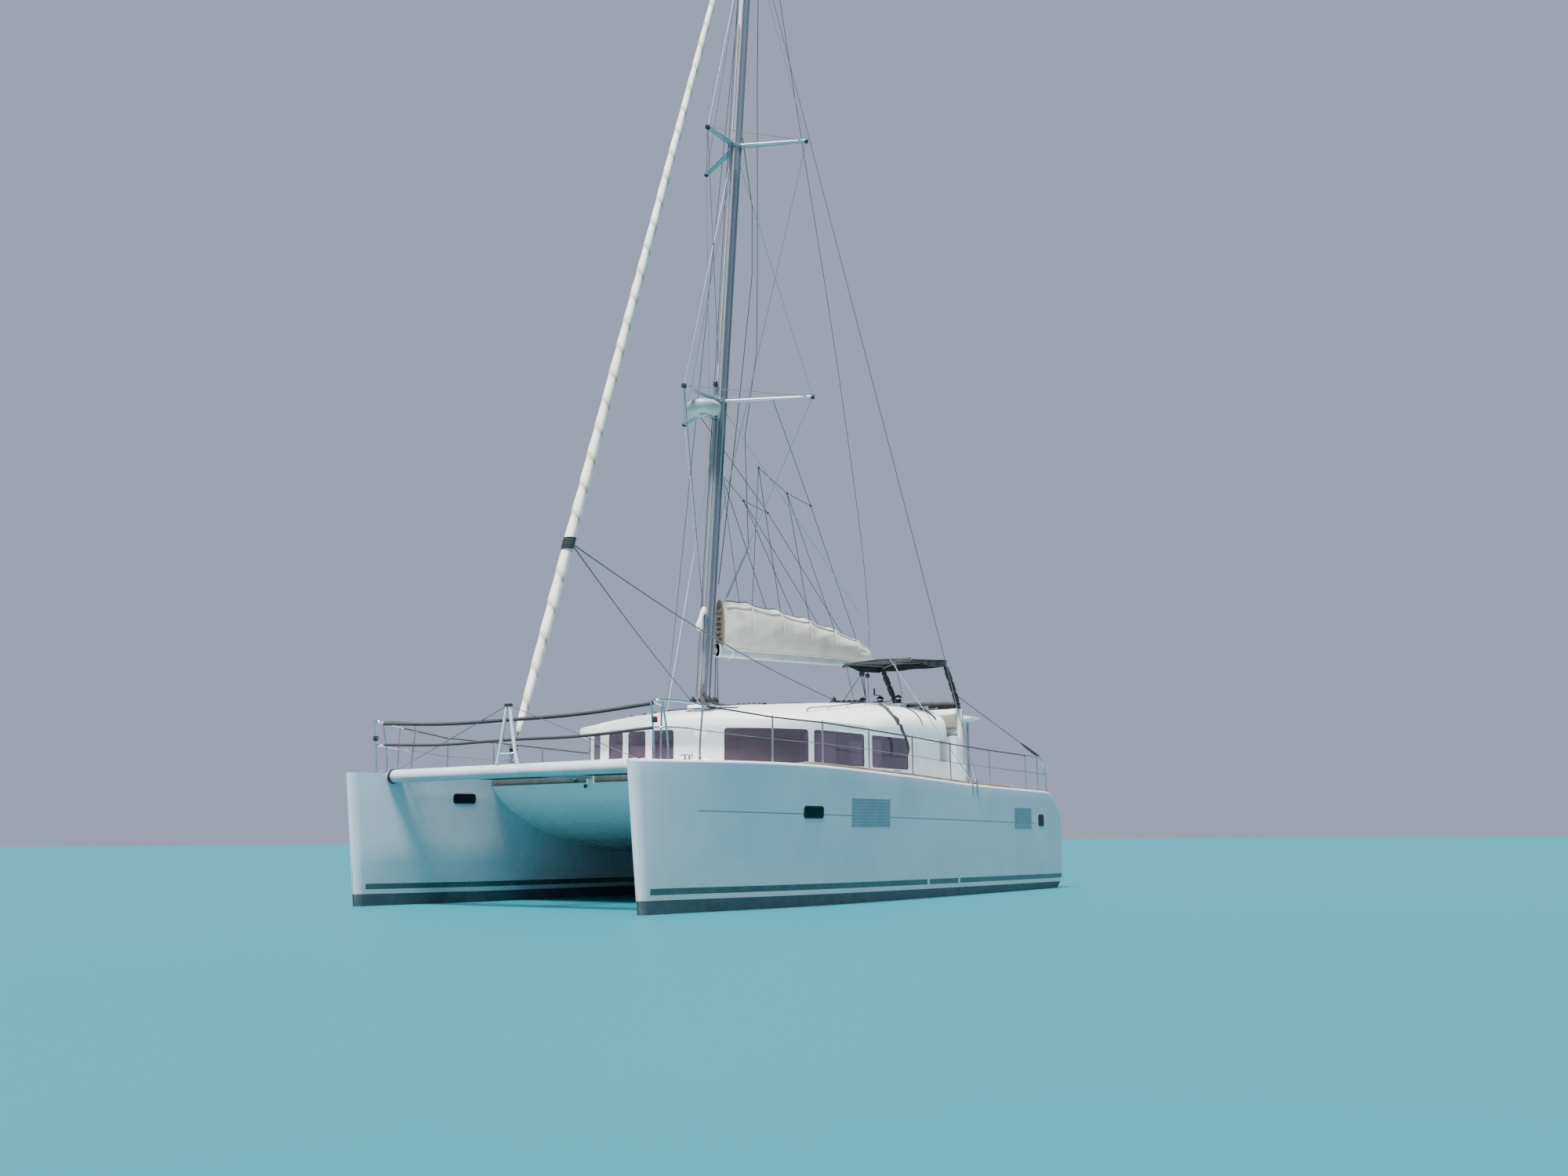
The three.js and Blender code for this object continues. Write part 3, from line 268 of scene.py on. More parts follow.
def makeMetal(name, first, second, rough, stretch):    # drawn or brushed metal, its lines along one axis
    material, tree, shader, where = startMaterial(name, {"Metallic": 1.0})
    drawn = addNode(tree, "TexNoise", addNode(tree, "Mapping", where, None, None, stretch), None, 1, 4)
    colour = addNode(tree, "MixRGB", drawn, paint(first), paint(second))
    finishSurface(tree, shader, colour, addNode(tree, "MapRange", drawn, 0.3, 0.7, *rough), [(drawn, 0.0003, 0.5)])
    return material


def makeCloth(name, first, second, thread, fixed=None, soilAndShade=0.0, soilAndShadeColour="#8d8168"):
    # woven cloth: thread is the drawn spacing in metres, coarser than the real one so that it shows
    fixed = {"Roughness": 0.85, "Sheen Weight": 0.25, "Sheen Roughness": 0.5, **(fixed or {})}
    material, tree, shader, where = startMaterial(name, fixed)
    waves = []
    for axis in "XYZ":
        along = addNode(tree, "SeparateXYZ", where, out=axis)
        waves.append(addNode(tree, "Math", addNode(tree, "Math", along, 2 * math.pi / thread, operation="MULTIPLY"), operation="SINE"))
    warp = addNode(tree, "Math", waves[0], waves[1], operation="ADD")
    weave = addNode(tree, "Math", warp, addNode(tree, "Math", waves[2], 0.2, operation="ADD"), operation="MULTIPLY")
    tone = addNode(tree, "MapRange", addNode(tree, "TexNoise", where, None, 3.5, 5), 0.32, 0.72)
    colour = addNode(tree, "MixRGB", tone, paint(first), paint(second))
    # patches of a darker colour: real soil on the covers, painted shadow on the flaked sail
    if soilAndShade:
        dirtAndShade = addNode(tree, "MapRange", addNode(tree, "TexNoise", where, None, 1.7, 6), 0.5, 0.8, 0, soilAndShade)
        colour = addNode(tree, "MixRGB", dirtAndShade, colour, paint(soilAndShadeColour))
    creases = addNode(tree, "TexNoise", where, None, 18, 4)
    finishSurface(tree, shader, colour, None, [(weave, thread * 0.12, 0.5), (creases, 0.004, 0.5)])
    return material


def makeTeak(name, plank, along):    # silvered teak, with black caulking between planks of a width
    material, tree, shader, where = startMaterial(name, {"Roughness": 0.75})
    stretch = (2.5, 45, 45) if along == "X" else (45, 2.5, 45)
    grain = addNode(tree, "TexNoise", addNode(tree, "Mapping", where, None, None, stretch), None, 1, 6)
    colour = addNode(tree, "MixRGB", addNode(tree, "MapRange", grain, 0.3, 0.7), paint("#8e7b67"), paint("#6d5b4a"))
    grey = addNode(tree, "MapRange", addNode(tree, "TexNoise", where, None, 2.5, 3), 0.45, 0.7, 0, 0.6)
    colour = addNode(tree, "MixRGB", grey, colour, paint("#a3978a"))
    relief = [(grain, 0.0006, 1)]
    if plank:
        across = addNode(tree, "SeparateXYZ", where, out="Y" if along == "X" else "X")
        edge = addNode(tree, "Math", addNode(tree, "Math", across, plank, operation="DIVIDE"), operation="FRACT")
        seam = addNode(tree, "Math", edge, 0.09, operation="LESS_THAN")
        colour = addNode(tree, "MixRGB", seam, colour, paint("#26231f"))
        relief.append((seam, -0.001, 1))
    finishSurface(tree, shader, colour, None, relief)
    return material


def makeGlass(name, tint, passes, rough):    # tinted acrylic, glossy and lightly scratched
    fixed = {"Transmission Weight": passes, "IOR": 1.49, "Coat Weight": 0.3, "Coat Roughness": 0.03}
    material, tree, shader, where = startMaterial(name, fixed)
    haze = addNode(tree, "MapRange", addNode(tree, "TexNoise", where, None, 1.3, 3), 0.3, 0.7)
    colour = addNode(tree, "MixRGB", haze, paint(tint[0]), paint(tint[1]))
    finishSurface(tree, shader, colour, addNode(tree, "MapRange", addNode(tree, "TexNoise", where, None, 14, 4), 0.35, 0.75, *rough))
    return material


def makeNonSkid():    # moulded deck panels: a pale grey pattern of small pyramids, drawn at 12 mm so that it shows
    material, tree, shader, where = startMaterial("nonSkidGelcoat", {"Roughness": 0.6, "IOR": 1.5})
    waves = []
    for axis in "XY":
        along = addNode(tree, "SeparateXYZ", where, out=axis)
        waves.append(addNode(tree, "Math", addNode(tree, "Math", along, 2 * math.pi / 0.012, operation="MULTIPLY"), operation="SINE"))
    grid = addNode(tree, "Math", *waves, operation="MULTIPLY")
    tone = addNode(tree, "MapRange", addNode(tree, "TexNoise", where, None, 2, 5), 0.3, 0.7)
    finishSurface(tree, shader, addNode(tree, "MixRGB", tone, paint("#d5d8d6"), paint("#c3c8c7")), None, [(grid, 0.0012, 1)])
    return material


def makeRope(name, first, fleck, pitch):    # braided polyester, its pattern along the rope's own UV
    material, tree, shader, where = startMaterial(name, {"Roughness": 0.85, "Sheen Weight": 0.2})
    wrap = addNode(tree, "UVMap")
    along = addNode(tree, "Math", addNode(tree, "SeparateXYZ", wrap, out="X"), 1 / pitch, operation="MULTIPLY")
    round_ = addNode(tree, "Math", addNode(tree, "SeparateXYZ", wrap, out="Y"), 3, operation="MULTIPLY")
    twist = addNode(tree, "Math", along, round_, operation="ADD")
    strand = addNode(tree, "Math", addNode(tree, "Math", twist, 2 * math.pi, operation="MULTIPLY"), operation="SINE")
    colour = addNode(tree, "MixRGB", addNode(tree, "MapRange", strand, 0.2, 0.9), paint(first), paint(fleck))
    finishSurface(tree, shader, colour, None, [(strand, 0.001, 1)])
    return material


def makeSailRoll():    # furled sailcloth: painted shade in a brown spiral beside each turn's step, and panel seams on the roll's own UV
    material, tree, shader, where = startMaterial("wovenSailcloth", {"Roughness": 0.7, "Sheen Weight": 0.15})
    wrap = addNode(tree, "UVMap")
    turn = addNode(tree, "Math", addNode(tree, "SeparateXYZ", wrap, out="X"), operation="FRACT")
    # painted shade: brown strongest just beside each turn's step, fading over a third of the turn
    edge = addNode(tree, "MapRange", turn, 0, 0.3, 0.85, 0)
    tone = addNode(tree, "MapRange", addNode(tree, "TexNoise", where, None, 4, 5), 0.3, 0.7)
    colour = addNode(tree, "MixRGB", tone, paint("#eeeae0"), paint("#dcd7ca"))
    colour = addNode(tree, "MixRGB", edge, colour, paint("#a08c72"))
    panels = addNode(tree, "Math", addNode(tree, "SeparateXYZ", wrap, out="Y"), 1.15, operation="MULTIPLY")
    seam = addNode(tree, "Math", addNode(tree, "Math", panels, operation="FRACT"), 0.02, operation="LESS_THAN")
    colour = addNode(tree, "MixRGB", addNode(tree, "Math", seam, 0.5, operation="MULTIPLY"), colour, paint("#b9b3a6"))
    finishSurface(tree, shader, colour, None, [(addNode(tree, "TexNoise", where, None, 22, 4), 0.005, 0.6)])
    return material


finishes = {
    "gelcoat": makeGelcoat(),
    "topsides": makeTopsides(),
    "nonSkid": makeNonSkid(),
    "bottomPaint": makePlain("antifoulPaint", "#3a4852", "#4b5a5f", {}, 5, (0.7, 0.85), (160, 0.0008)),
    "spar": makeMetal("anodisedAluminium", "#babdc2", "#a2a6ad", (0.52, 0.66), (60, 60, 0.7)),
    "paleSpar": makePlain("paintedAluminium", "#bcc4c8", "#aab3b8", {"Coat Weight": 0.2, "Coat Roughness": 0.2}, 3, (0.3, 0.42),
                          (220, 0.0002)),
    "stainless": makeMetal("polishedStainless", "#d3d5d6", "#b4b8bb", (0.1, 0.24), (30, 30, 30)),
    "blackPlastic": makePlain("blackNylon", "#1d1e20", "#2b2c2e", {}, 20, (0.35, 0.5), (500, 0.0002)),
    "whitePlastic": makePlain("whiteAbs", "#e9ecec", "#dde2e2", {}, 5, (0.25, 0.38), (300, 0.0002)),
    # the radome's white plastic, painted grey as painted shade
    "radomeShadedGrey": makePlain("whiteAbsPaintedShade", "#aab4b4", "#98a3a4", {}, 5, (0.35, 0.48), (300, 0.0002)),
    "rubber": makePlain("blackRubber", "#191a1b", "#232425", {}, 15, (0.6, 0.8), (240, 0.0004)),
    "enginePaint": makePlain("greyEnamel", "#5f6b75", "#525d66", {}, 6, (0.35, 0.5), (200, 0.0003)),
    "bronze": makeMetal("castBronze", "#a5824a", "#7b6238", (0.3, 0.5), (25, 25, 25)),
    "bagCanvas": makeCloth("creamAcrylicCanvas", "#e4dbcd", "#d3cabb", 0.006, None, 0.45, "#a79678"),
    "bagHem": makeCloth("paleAcrylicCanvas", "#f4f0e6", "#e9e3d7", 0.006, None, 0.2, "#b5a88c"),
    "canopyCanvas": makeCloth("greyAcrylicCanvas", "#3b3a38", "#302f2d", 0.006, {"Sheen Weight": 0.1}, 0.3, "#6a6558"),
    "darkCanvas": makeCloth("darkAcrylicCanvas", "#29282a", "#1f1e21", 0.006, {"Roughness": 0.8, "Sheen Weight": 0.1}),
    "skirtVinyl": makeCloth("greyVinylCloth", "#9d9c98", "#8d8c89", 0.005, {"Roughness": 0.5, "Sheen Weight": 0.05}),
    "cushionVinyl": makeCloth("greyBeigeVinyl", "#bdb8ad", "#afaa9f", 0.005, {"Roughness": 0.55, "Sheen Weight": 0.05}),
    "pipingVinyl": makePlain("vinylPiping", "#8f8a80", "#827d74", {}, 9, (0.45, 0.55), (300, 0.0002)),
    "lineCover": makePlain("braidedPolyester", "#3b404b", "#575d69", {}, 60, (0.8, 0.9), (500, 0.0006)),
    "saloonCloth": makeCloth("chenilleCloth", "#8d8276", "#7b7166", 0.007),
    "sailcloth": makeCloth("stowedSailcloth", "#efece4", "#dfdacd", 0.007, {"Roughness": 0.7}, 0.3),
    # the flaked sail in the bag's open front: its brown and its darker patches are painted shadow on pale sailcloth
    "sailFoldsPaintedShadow": makeCloth("brownCanvasPaintedShadow", "#8f7c68", "#6d5c4b", 0.006, None, 0.3, "#4d4036"),
    "sailRoll": makeSailRoll(),
    "teakRail": makeTeak("silveredTeak", 0, "X"),
    "teakPlanks": makeTeak("caulkedTeak", 0.055, "Y"),
    "tableTeak": makeTeak("tableTeakPlanks", 0.07, "X"),
    "darkGlass": makeGlass("tintedAcrylic", ("#c1abbb", "#ad98a8"), 0.9, (0.02, 0.07)),
    "hatchGlass": makeGlass("smokedAcrylic", ("#3a4148", "#30363c"), 0.6, (0.03, 0.1)),
    "portGlass": makePlain("blackAcrylic", "#0b0f14", "#12171d", {"Specular IOR Level": 0.2}, 6, (0.08, 0.16)),
    # the net's lacing strip: its dark grey-green is painted shadow of the net and beam on the foredeck's front face
    "lacingStripPaintedShadow": makePlain("vinylStripPaintedShadow", "#4a524f", "#3c4442", {}, 7, (0.6, 0.75), (180, 0.0006)),
    "louvreFilm": makePlain("greyVinylFilm", "#7f98a2", "#718b96", {}, 4, (0.35, 0.5)),
    "netCord": makePlain("tarredNetCord", "#34373a", "#2a2c2f", {}, 30, (0.8, 0.9), (400, 0.0004)),
    "darkRope": makeRope("navyBraid", "#23272f", "#454b57", 0.03),
    "lightRope": makeRope("whiteBraid", "#dcdad2", "#8e9299", 0.03),
    "wire": makeMetal("strandedWire", "#8d9196", "#6f7379", (0.3, 0.45), (200, 200, 60)),
    "redLens": makePlain("redLens", "#a3201c", "#8a1a17", {"Coat Weight": 0.5}, 8, (0.15, 0.2)),
    "greenLens": makePlain("greenLens", "#1d7a4a", "#18663e", {"Coat Weight": 0.5}, 8, (0.15, 0.2)),
}
print("finishes made")


# modelling helpers
def deselectAll():
    if bpy.context.object and bpy.context.object.mode != "OBJECT":
        bpy.ops.object.mode_set(mode="OBJECT")
    bpy.ops.object.select_all(action="DESELECT")


def pick(piece):
    deselectAll()
    piece.select_set(True)
    bpy.context.view_layer.objects.active = piece
    return piece


def applyModifiers(piece):
    pick(piece)
    for modifier in list(piece.modifiers):
        bpy.ops.object.modifier_apply(modifier=modifier.name)
    return piece


def settle(piece):    # its place goes into its mesh
    pick(piece)
    bpy.ops.object.transform_apply(location=True, rotation=True, scale=True)
    return piece


def bevelEdges(piece, width, segments=2, angle=35):
    modifier = piece.modifiers.new("roundedEdges", "BEVEL")
    modifier.width = width
    modifier.segments = segments
    modifier.limit_method = "ANGLE"
    modifier.angle_limit = math.radians(angle)
    return applyModifiers(piece)


def subdivide(piece, levels):
    modifier = piece.modifiers.new("smoothed", "SUBSURF")
    modifier.levels = levels
    modifier.render_levels = levels
    return applyModifiers(piece)


def thicken(piece, thickness, offset=-1.0):
    modifier = piece.modifiers.new("wall", "SOLIDIFY")
    modifier.thickness = thickness
    modifier.offset = offset
    return applyModifiers(piece)


def cutWith(piece, cutters):
    for cutter in cutters:
        modifier = piece.modifiers.new("cut", "BOOLEAN")
        modifier.operation = "DIFFERENCE"
        modifier.solver = "EXACT"
        modifier.object = cutter
        applyModifiers(piece)
        bpy.data.objects.remove(cutter)
    return piece


def joinPieces(parts):
    deselectAll()
    for part in parts:
        part.select_set(True)
    bpy.context.view_layer.objects.active = parts[0]
    if len(parts) > 1:
        bpy.ops.object.join()
    return parts[0]


def copyOf(piece):
    twin = piece.copy()
    twin.data = piece.data.copy()
    bpy.context.scene.collection.objects.link(twin)
    return twin


def mirrored(piece):    # the same piece on the other side of the centreline
    twin = copyOf(piece)
    twin.data.transform(Matrix.Scale(-1, 4, (0, 1, 0)))
    twin.data.flip_normals()
    return twin


def meshFrom(points, faces):
    mesh = bpy.data.meshes.new("form")
    mesh.from_pydata([tuple(p) for p in points], [], faces)
    piece = bpy.data.objects.new("form", mesh)
    bpy.context.scene.collection.objects.link(piece)
    return piece


def cleanMesh(piece, distance=0.00002):    # doubles merged first, then normals turned outwards
    pick(piece)
    bpy.ops.object.mode_set(mode="EDIT")
    bpy.ops.mesh.select_all(action="SELECT")
    bpy.ops.mesh.remove_doubles(threshold=distance)
    bpy.ops.mesh.normals_make_consistent(inside=False)
    bpy.ops.object.mode_set(mode="OBJECT")
    return piece


def loft(rings, capped=True, closed=True, mapped=False):
    count = len(rings[0])
    around = count if closed else count - 1
    points = [p for ring in rings for p in ring]
    faces, uvs = [], []
    for i in range(len(rings) - 1):
        for j in range(around):
            a = i * count + j
            b = i * count + (j + 1) % count
            faces.append((a, b, b + count, a + count))
            uvs += [(j / around, i), ((j + 1) / around, i), ((j + 1) / around, i + 1), (j / around, i + 1)]
    if capped:
        faces.append(tuple(range(count))[::-1])
        faces.append(tuple(range(len(points) - count, len(points))))
        uvs += [(0, 0)] * (2 * count)
    piece = meshFrom(points, faces)
    if mapped:
        layer = piece.data.uv_layers.new(name="wrap")
        for entry, uv in zip(layer.data, uvs):
            entry.uv = uv
    return cleanMesh(piece)


def box(low, high, rounding=0.0, segments=2):
    bpy.ops.mesh.primitive_cube_add(size=1, location=[(a + b) / 2 for a, b in zip(low, high)])
    piece = bpy.context.object
    piece.scale = [b - a for a, b in zip(low, high)]
    settle(piece)
    return bevelEdges(piece, rounding, segments) if rounding else piece


def rod(start, end, radius, sides=12, endRadius=None):
    start, end = Vector(start), Vector(end)
    bpy.ops.mesh.primitive_cone_add(
        vertices=sides, radius1=radius, radius2=radius if endRadius is None else endRadius,
        depth=(end - start).length, location=(start + end) / 2,
        rotation=(end - start).to_track_quat("Z", "Y").to_euler(),
    )
    return settle(bpy.context.object)


def tube(points, radius, sides=8, bent=True, closed=False):    # a round bar or rope along points
    curve = bpy.data.curves.new("line", "CURVE")
    curve.dimensions = "3D"
    curve.bevel_depth = radius
    curve.bevel_resolution = (sides - 4) // 2
    curve.use_fill_caps = not closed
    curve.resolution_u = 6
    spline = curve.splines.new("BEZIER" if bent else "POLY")
    if bent:
        spline.bezier_points.add(len(points) - 1)
        for knot, point in zip(spline.bezier_points, points):
            knot.co = point
            knot.handle_left_type = knot.handle_right_type = "AUTO"
    else:
        spline.points.add(len(points) - 1)
        for knot, point in zip(spline.points, points):
            knot.co = (*point, 1)
    spline.use_cyclic_u = closed
    piece = bpy.data.objects.new("line", curve)
    bpy.context.scene.collection.objects.link(piece)
    pick(piece)
    bpy.ops.object.convert(target="MESH")
    return cleanMesh(bpy.context.object)


def rope(start, end, radius, sag=0.0, sides=6, steps=None):    # a line with its own UV along and round
    start, end = Vector(start), Vector(end)
    steps = steps or (14 if sag else 2)
    along = (end - start).normalized()
    side = along.cross(Vector((0.31, 0.95, 0.02))).normalized()
    other = along.cross(side)
    rings = []
    for i in range(steps + 1):
        t = i / steps
        middle = start.lerp(end, t) - Vector((0, 0, 4 * sag * t * (1 - t)))
        rings.append([middle + side * radius * math.cos(2 * math.pi * k / sides)
                      + other * radius * math.sin(2 * math.pi * k / sides) for k in range(sides)])
    piece = loft(rings, mapped=True)
    length = (end - start).length / steps
    for entry in piece.data.uv_layers[0].data:
        entry.uv = (entry.uv[1] * length, entry.uv[0])
    return piece


def turned(profile, place, axis=(0, 0, 1), steps=32):    # a lathe shape: (radius, height) pairs spun round
    rings = []
    for k in range(steps):
        angle = 2 * math.pi * k / steps
        rings.append([(r * math.cos(angle), r * math.sin(angle), h) for r, h in profile])
    count = len(profile)
    points = [p for ring in rings for p in ring]
    faces = []
    for k in range(steps):
        for i in range(count - 1):
            a, b = k * count + i, ((k + 1) % steps) * count + i
            faces.append((a, b, b + 1, a + 1))
    piece = meshFrom(points, faces)
    piece.data.transform(Vector(axis).to_track_quat("Z", "Y").to_matrix().to_4x4())
    piece.data.transform(Matrix.Translation(place))
    cleanMesh(piece)
    return piece


def finish(piece, name, body, material, replaced=(), angle=35):
    settle(piece)
    bpy.ops.object.shade_smooth_by_angle(angle=math.radians(angle))
    piece.name = name
    piece.data.name = name
    if material:
        piece.data.materials.clear()
        piece.data.materials.append(finishes[material])
        for face in piece.data.polygons:
            face.material_index = 0
    if body:
        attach(piece, body)
    if replaced:
        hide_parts(*replaced)
    return piece


def finishPair(piece, name, material, replaced=(), body="boat", angle=35):
    twin = mirrored(piece)
    made = []
    for part, side in ((piece, "port"), (twin, "starboard")):
        rides = body if body == "boat" else f"{body}_{side}"
        made.append(finish(part, f"{name}_{side}", rides, material, [f"{n}_{side}" for n in replaced], angle))
    return made


def dress(node, name, material, rounding, segments=2, body="boat", angle=35):
    # a fixed solid taken over with merged corners and rounded edges
    piece = copyOf(frame["nodes"][node])
    piece.parent = None
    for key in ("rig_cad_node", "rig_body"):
        if key in piece:
            del piece[key]
    piece.data.materials.clear()
    cleanMesh(piece, 0.00005)
    pick(piece)
    bpy.ops.object.mode_set(mode="EDIT")
    bpy.ops.mesh.select_all(action="SELECT")
    bpy.ops.mesh.dissolve_limited(angle_limit=math.radians(0.5))
    bpy.ops.object.mode_set(mode="OBJECT")
    if rounding:
        bevelEdges(piece, rounding, segments, 30)
    return finish(piece, name, body, material, [node], angle)


def smoothReader(rows, column):    # reads a table between its rows along a smooth curve
    at = [row[0] for row in rows]
    value = [row[column] for row in rows]
    last = len(at) - 1
    slope = [0.0] * (last + 1)
    for i in range(1, last):
        before = (value[i] - value[i - 1]) / (at[i] - at[i - 1])
        after = (value[i + 1] - value[i]) / (at[i + 1] - at[i])
        slope[i] = 0 if before * after <= 0 else 2 * before * after / (before + after)
    slope[0] = (value[1] - value[0]) / (at[1] - at[0])
    slope[last] = (value[last] - value[last - 1]) / (at[last] - at[last - 1])

    def read(x):
        i = 0
        while i < last - 1 and x > at[i + 1]:
            i += 1
        h = at[i + 1] - at[i]
        t = min(1, max(0, (x - at[i]) / h))
        return (value[i] * (2 * t ** 3 - 3 * t ** 2 + 1) + slope[i] * h * (t ** 3 - 2 * t ** 2 + t)
                + value[i + 1] * (3 * t ** 2 - 2 * t ** 3) + slope[i + 1] * h * (t ** 3 - t ** 2))
    return read


# hulls
hull = {
    "stem": 5.985, "stern": -5.985, "middle": 2.81, "widest": 3.6, "inner": 2.15, "depth": 0.55,
    "sheer": ((-5.27, 1.82), (-2.3, 1.87), (0, 1.95), (3.3, 2.03), (5.985, 2.0)),
    "steps": ((-4.15, 1.15), (-5.26, 0.9), (-5.49, 0.65), (-5.72, 0.4)),
    "wingInner": 3.37,
    "engineLid": ((-5.17, -4.53), (2.46, 3.24), 1.15, 0.045, 0.85),
    "peakLid": ((4.17, 4.73), (2.59, 3.03), 2.018, 0.04, 0.5),
    "gunwale": 0.045,
}
sheerLine = smoothReader(hull["sheer"], 1)


def sheer(x):
    return sheerLine(x) - 0.32 * max(0, (-5.27 - x) / 0.68) ** 2.2


def stemAt(z):
    return 5.75 + 0.1175 * z if z > 0 else 5.75 - 2.4 * z * z


def sternAt(z):
    return hull["stern"] + 0.235 * max(0, (0.3 - z) / 0.3) ** 2


def noseRound(aft):
    t = max(0, min(1, aft / 0.11))
    return 0.12 + 0.88 * math.sqrt(1 - (1 - t) ** 2)


def deckOuter(aft):
    fore, after = max(0, 1 - aft / 6.5), max(0, (aft - 6.5) / 5.47)
    y = 2.88 + (hull["widest"] - 2.88) * (1 - fore ** 3.3) - 0.09 * after ** 2
    return hull["middle"] + (y - hull["middle"]) * noseRound(aft)


def deckInner(aft):
    y = hull["inner"] + 0.59 * max(0, 1 - aft / 2.3) ** 1.35
    return hull["middle"] + (y - hull["middle"]) * noseRound(aft)


def flare(aft, most):
    return most * (aft / 1.3) * math.exp(1 - aft / 1.3)


def canoe(aft):
    rise = max(0, (aft - 5.5) / 6.4)
    return (0.35 + (hull["depth"] - 0.35) * (1 - math.exp(-aft / 1.5))) * (1 - rise ** 2.5)


def outerFace(x, z):    # the hull's outer side at a height
    aft = stemAt(z) - x
    narrow = flare(aft, 0.13) + 0.03 * min(1, aft / 1.5)
    return deckOuter(aft) - narrow * max(0, 1 - z / sheer(x))


def innerFace(x, z):
    aft = stemAt(z) - x
    return deckInner(aft) + flare(aft, 0.1) * max(0, 1 - z / 0.75)


def hullRing(t):
    ring = []
    top = sheer(hull["stern"] + t * (hull["stem"] - hull["stern"]))

    def place(z, side):
        x = sternAt(z) + t * (stemAt(z) - sternAt(z))
        ring.append((x, side(stemAt(z) - x), z))

    def inner(z):
        return lambda aft: deckInner(aft) + flare(aft, 0.1) * max(0, 1 - z / 0.75)

    def outer(z):
        return lambda aft: deckOuter(aft) - (flare(aft, 0.13) + 0.03 * min(1, aft / 1.5)) * max(0, 1 - z / top)

    for z in [top + (0.75 - top) * i / 5 for i in range(5)] + [0.75 - 0.75 * i / 6 for i in range(7)]:
        place(z, inner(z))
    for i in range(1, 18):
        angle = math.pi * i / 18
        z = -canoe((1 - t) * 11.5) * math.sin(angle) ** 0.85
        across = math.copysign(abs(math.cos(angle)) ** 0.85, math.cos(angle))

        def under(aft):
            a, b = inner(0)(aft), outer(0)(aft)
            return (a + b) / 2 - across * (b - a) / 2
        place(z, under)
    edge = hull["gunwale"]
    for i in range(12):
        z = (top - edge) * i / 11
        place(z, outer(z))
    for i in range(1, 6):
        angle = math.pi / 2 * i / 5
        pull = edge * (1 - math.cos(angle))
        place(top - edge + edge * math.sin(angle), lambda aft: outer(top)(aft) - pull * noseRound(aft))
    return ring


stations = [0, 0.006, 0.022, 0.04, 0.06, 0.1, 0.16, 0.24, 0.32, 0.4, 0.48, 0.56, 0.63, 0.7,
            0.76, 0.81, 0.86, 0.9, 0.93, 0.955, 0.975, 0.988, 0.9935, 0.9975, 1]


def lidCutters(lid):
    (x0, x1), (y0, y1), top, thick, deep = lid
    bottom = top - thick
    return [box((x0, y0, bottom), (x1, y1, top + 0.06)),
            box((x0 + 0.025, y0 + 0.025, bottom - deep), (x1 - 0.025, y1 - 0.025, bottom + 0.001))]


def buildHulls():
    fine = []
    for a, b in zip(stations, stations[1:]):
        fine += [a + (b - a) * k / 4 for k in range(4)]
    piece = loft([hullRing(t) for t in fine + [1]])
    cutters = [box((-6.3, 1.9, z), (x, hull["wingInner"], 2.4)) for x, z in hull["steps"]]
    cutters += lidCutters(hull["engineLid"]) + lidCutters(hull["peakLid"])
    cutWith(piece, cutters)
    finishPair(piece, "hull_shell", "topsides", ["hull"], angle=32)


buildHulls()
print("hulls built")


# curved plates: windows, decals and deck panels
def panel(place, along, up, radius, faces, steps=(12, 4)):
    # a closed plate on a curved face; place(u, v, depth) is a point of that face
    (first, last), (low, high), (inner, outer) = along, up, faces
    places = [first + radius * (1 - math.cos(math.pi / 2 * k / 5)) for k in range(5 if radius else 0)]
    inside = (first + radius, last - radius)
    places += [inside[0] + (inside[1] - inside[0]) * k / steps[0] for k in range(steps[0] + 1)]
    places += [last - radius * (1 - math.cos(math.pi / 2 * k / 5)) for k in range(4, -1, -1) if radius]
    rings = []
    for u in places:
        edge = min(u - first, last - u)
        pull = radius - math.sqrt(max(0, radius ** 2 - (radius - edge) ** 2)) if edge < radius else 0
        a = (low(u) if callable(low) else low) + pull
        b = (high(u) if callable(high) else high) - pull
        rows = [a + (b - a) * k / steps[1] for k in range(steps[1] + 1)]
        rings.append([place(u, v, outer) for v in rows] + [place(u, v, inner) for v in rows[::-1]])
    return loft(rings)


def onDeck(x, y, depth):
    return (x, y, sheer(x) + depth)


# cabin walls
cabin = {
    "nose": 0.2, "out": 2.35, "thick": 0.06, "low": 1.7, "high": 2.7297, "aft": -3.3, "split": 34,
    "frontPanes": ((-32, -24), (-17, -7.5), (-4.5, 4.5), (7.5, 17), (24, 32)),
    "frontHeights": (2.19, 2.68),
    "cornerPane": (37, 72.5),
    "middlePane": (75.2, -0.64),
    "aftPane": (-0.88, -2.13),
    "sideHeights": (2.15, 2.7),
    "corner": 0.045, "gap": 0.004, "recess": 0.007, "paneThick": 0.008, "gasket": 0.012,
}


def wallPlace(s, z, depth):    # s runs round the wall from the middle of its front, to port
    out = cabin["out"] + depth
    quarter = cabin["out"] * math.pi / 2
    if abs(s) <= quarter:
        return (cabin["nose"] + out * math.cos(s / cabin["out"]), out * math.sin(s / cabin["out"]), z)
    return (cabin["nose"] - (abs(s) - quarter), math.copysign(out, s), z)


def wallAlong(angle):
    return cabin["out"] * math.radians(angle)


def wallAft(x):
    return cabin["out"] * math.pi / 2 + cabin["nose"] - x


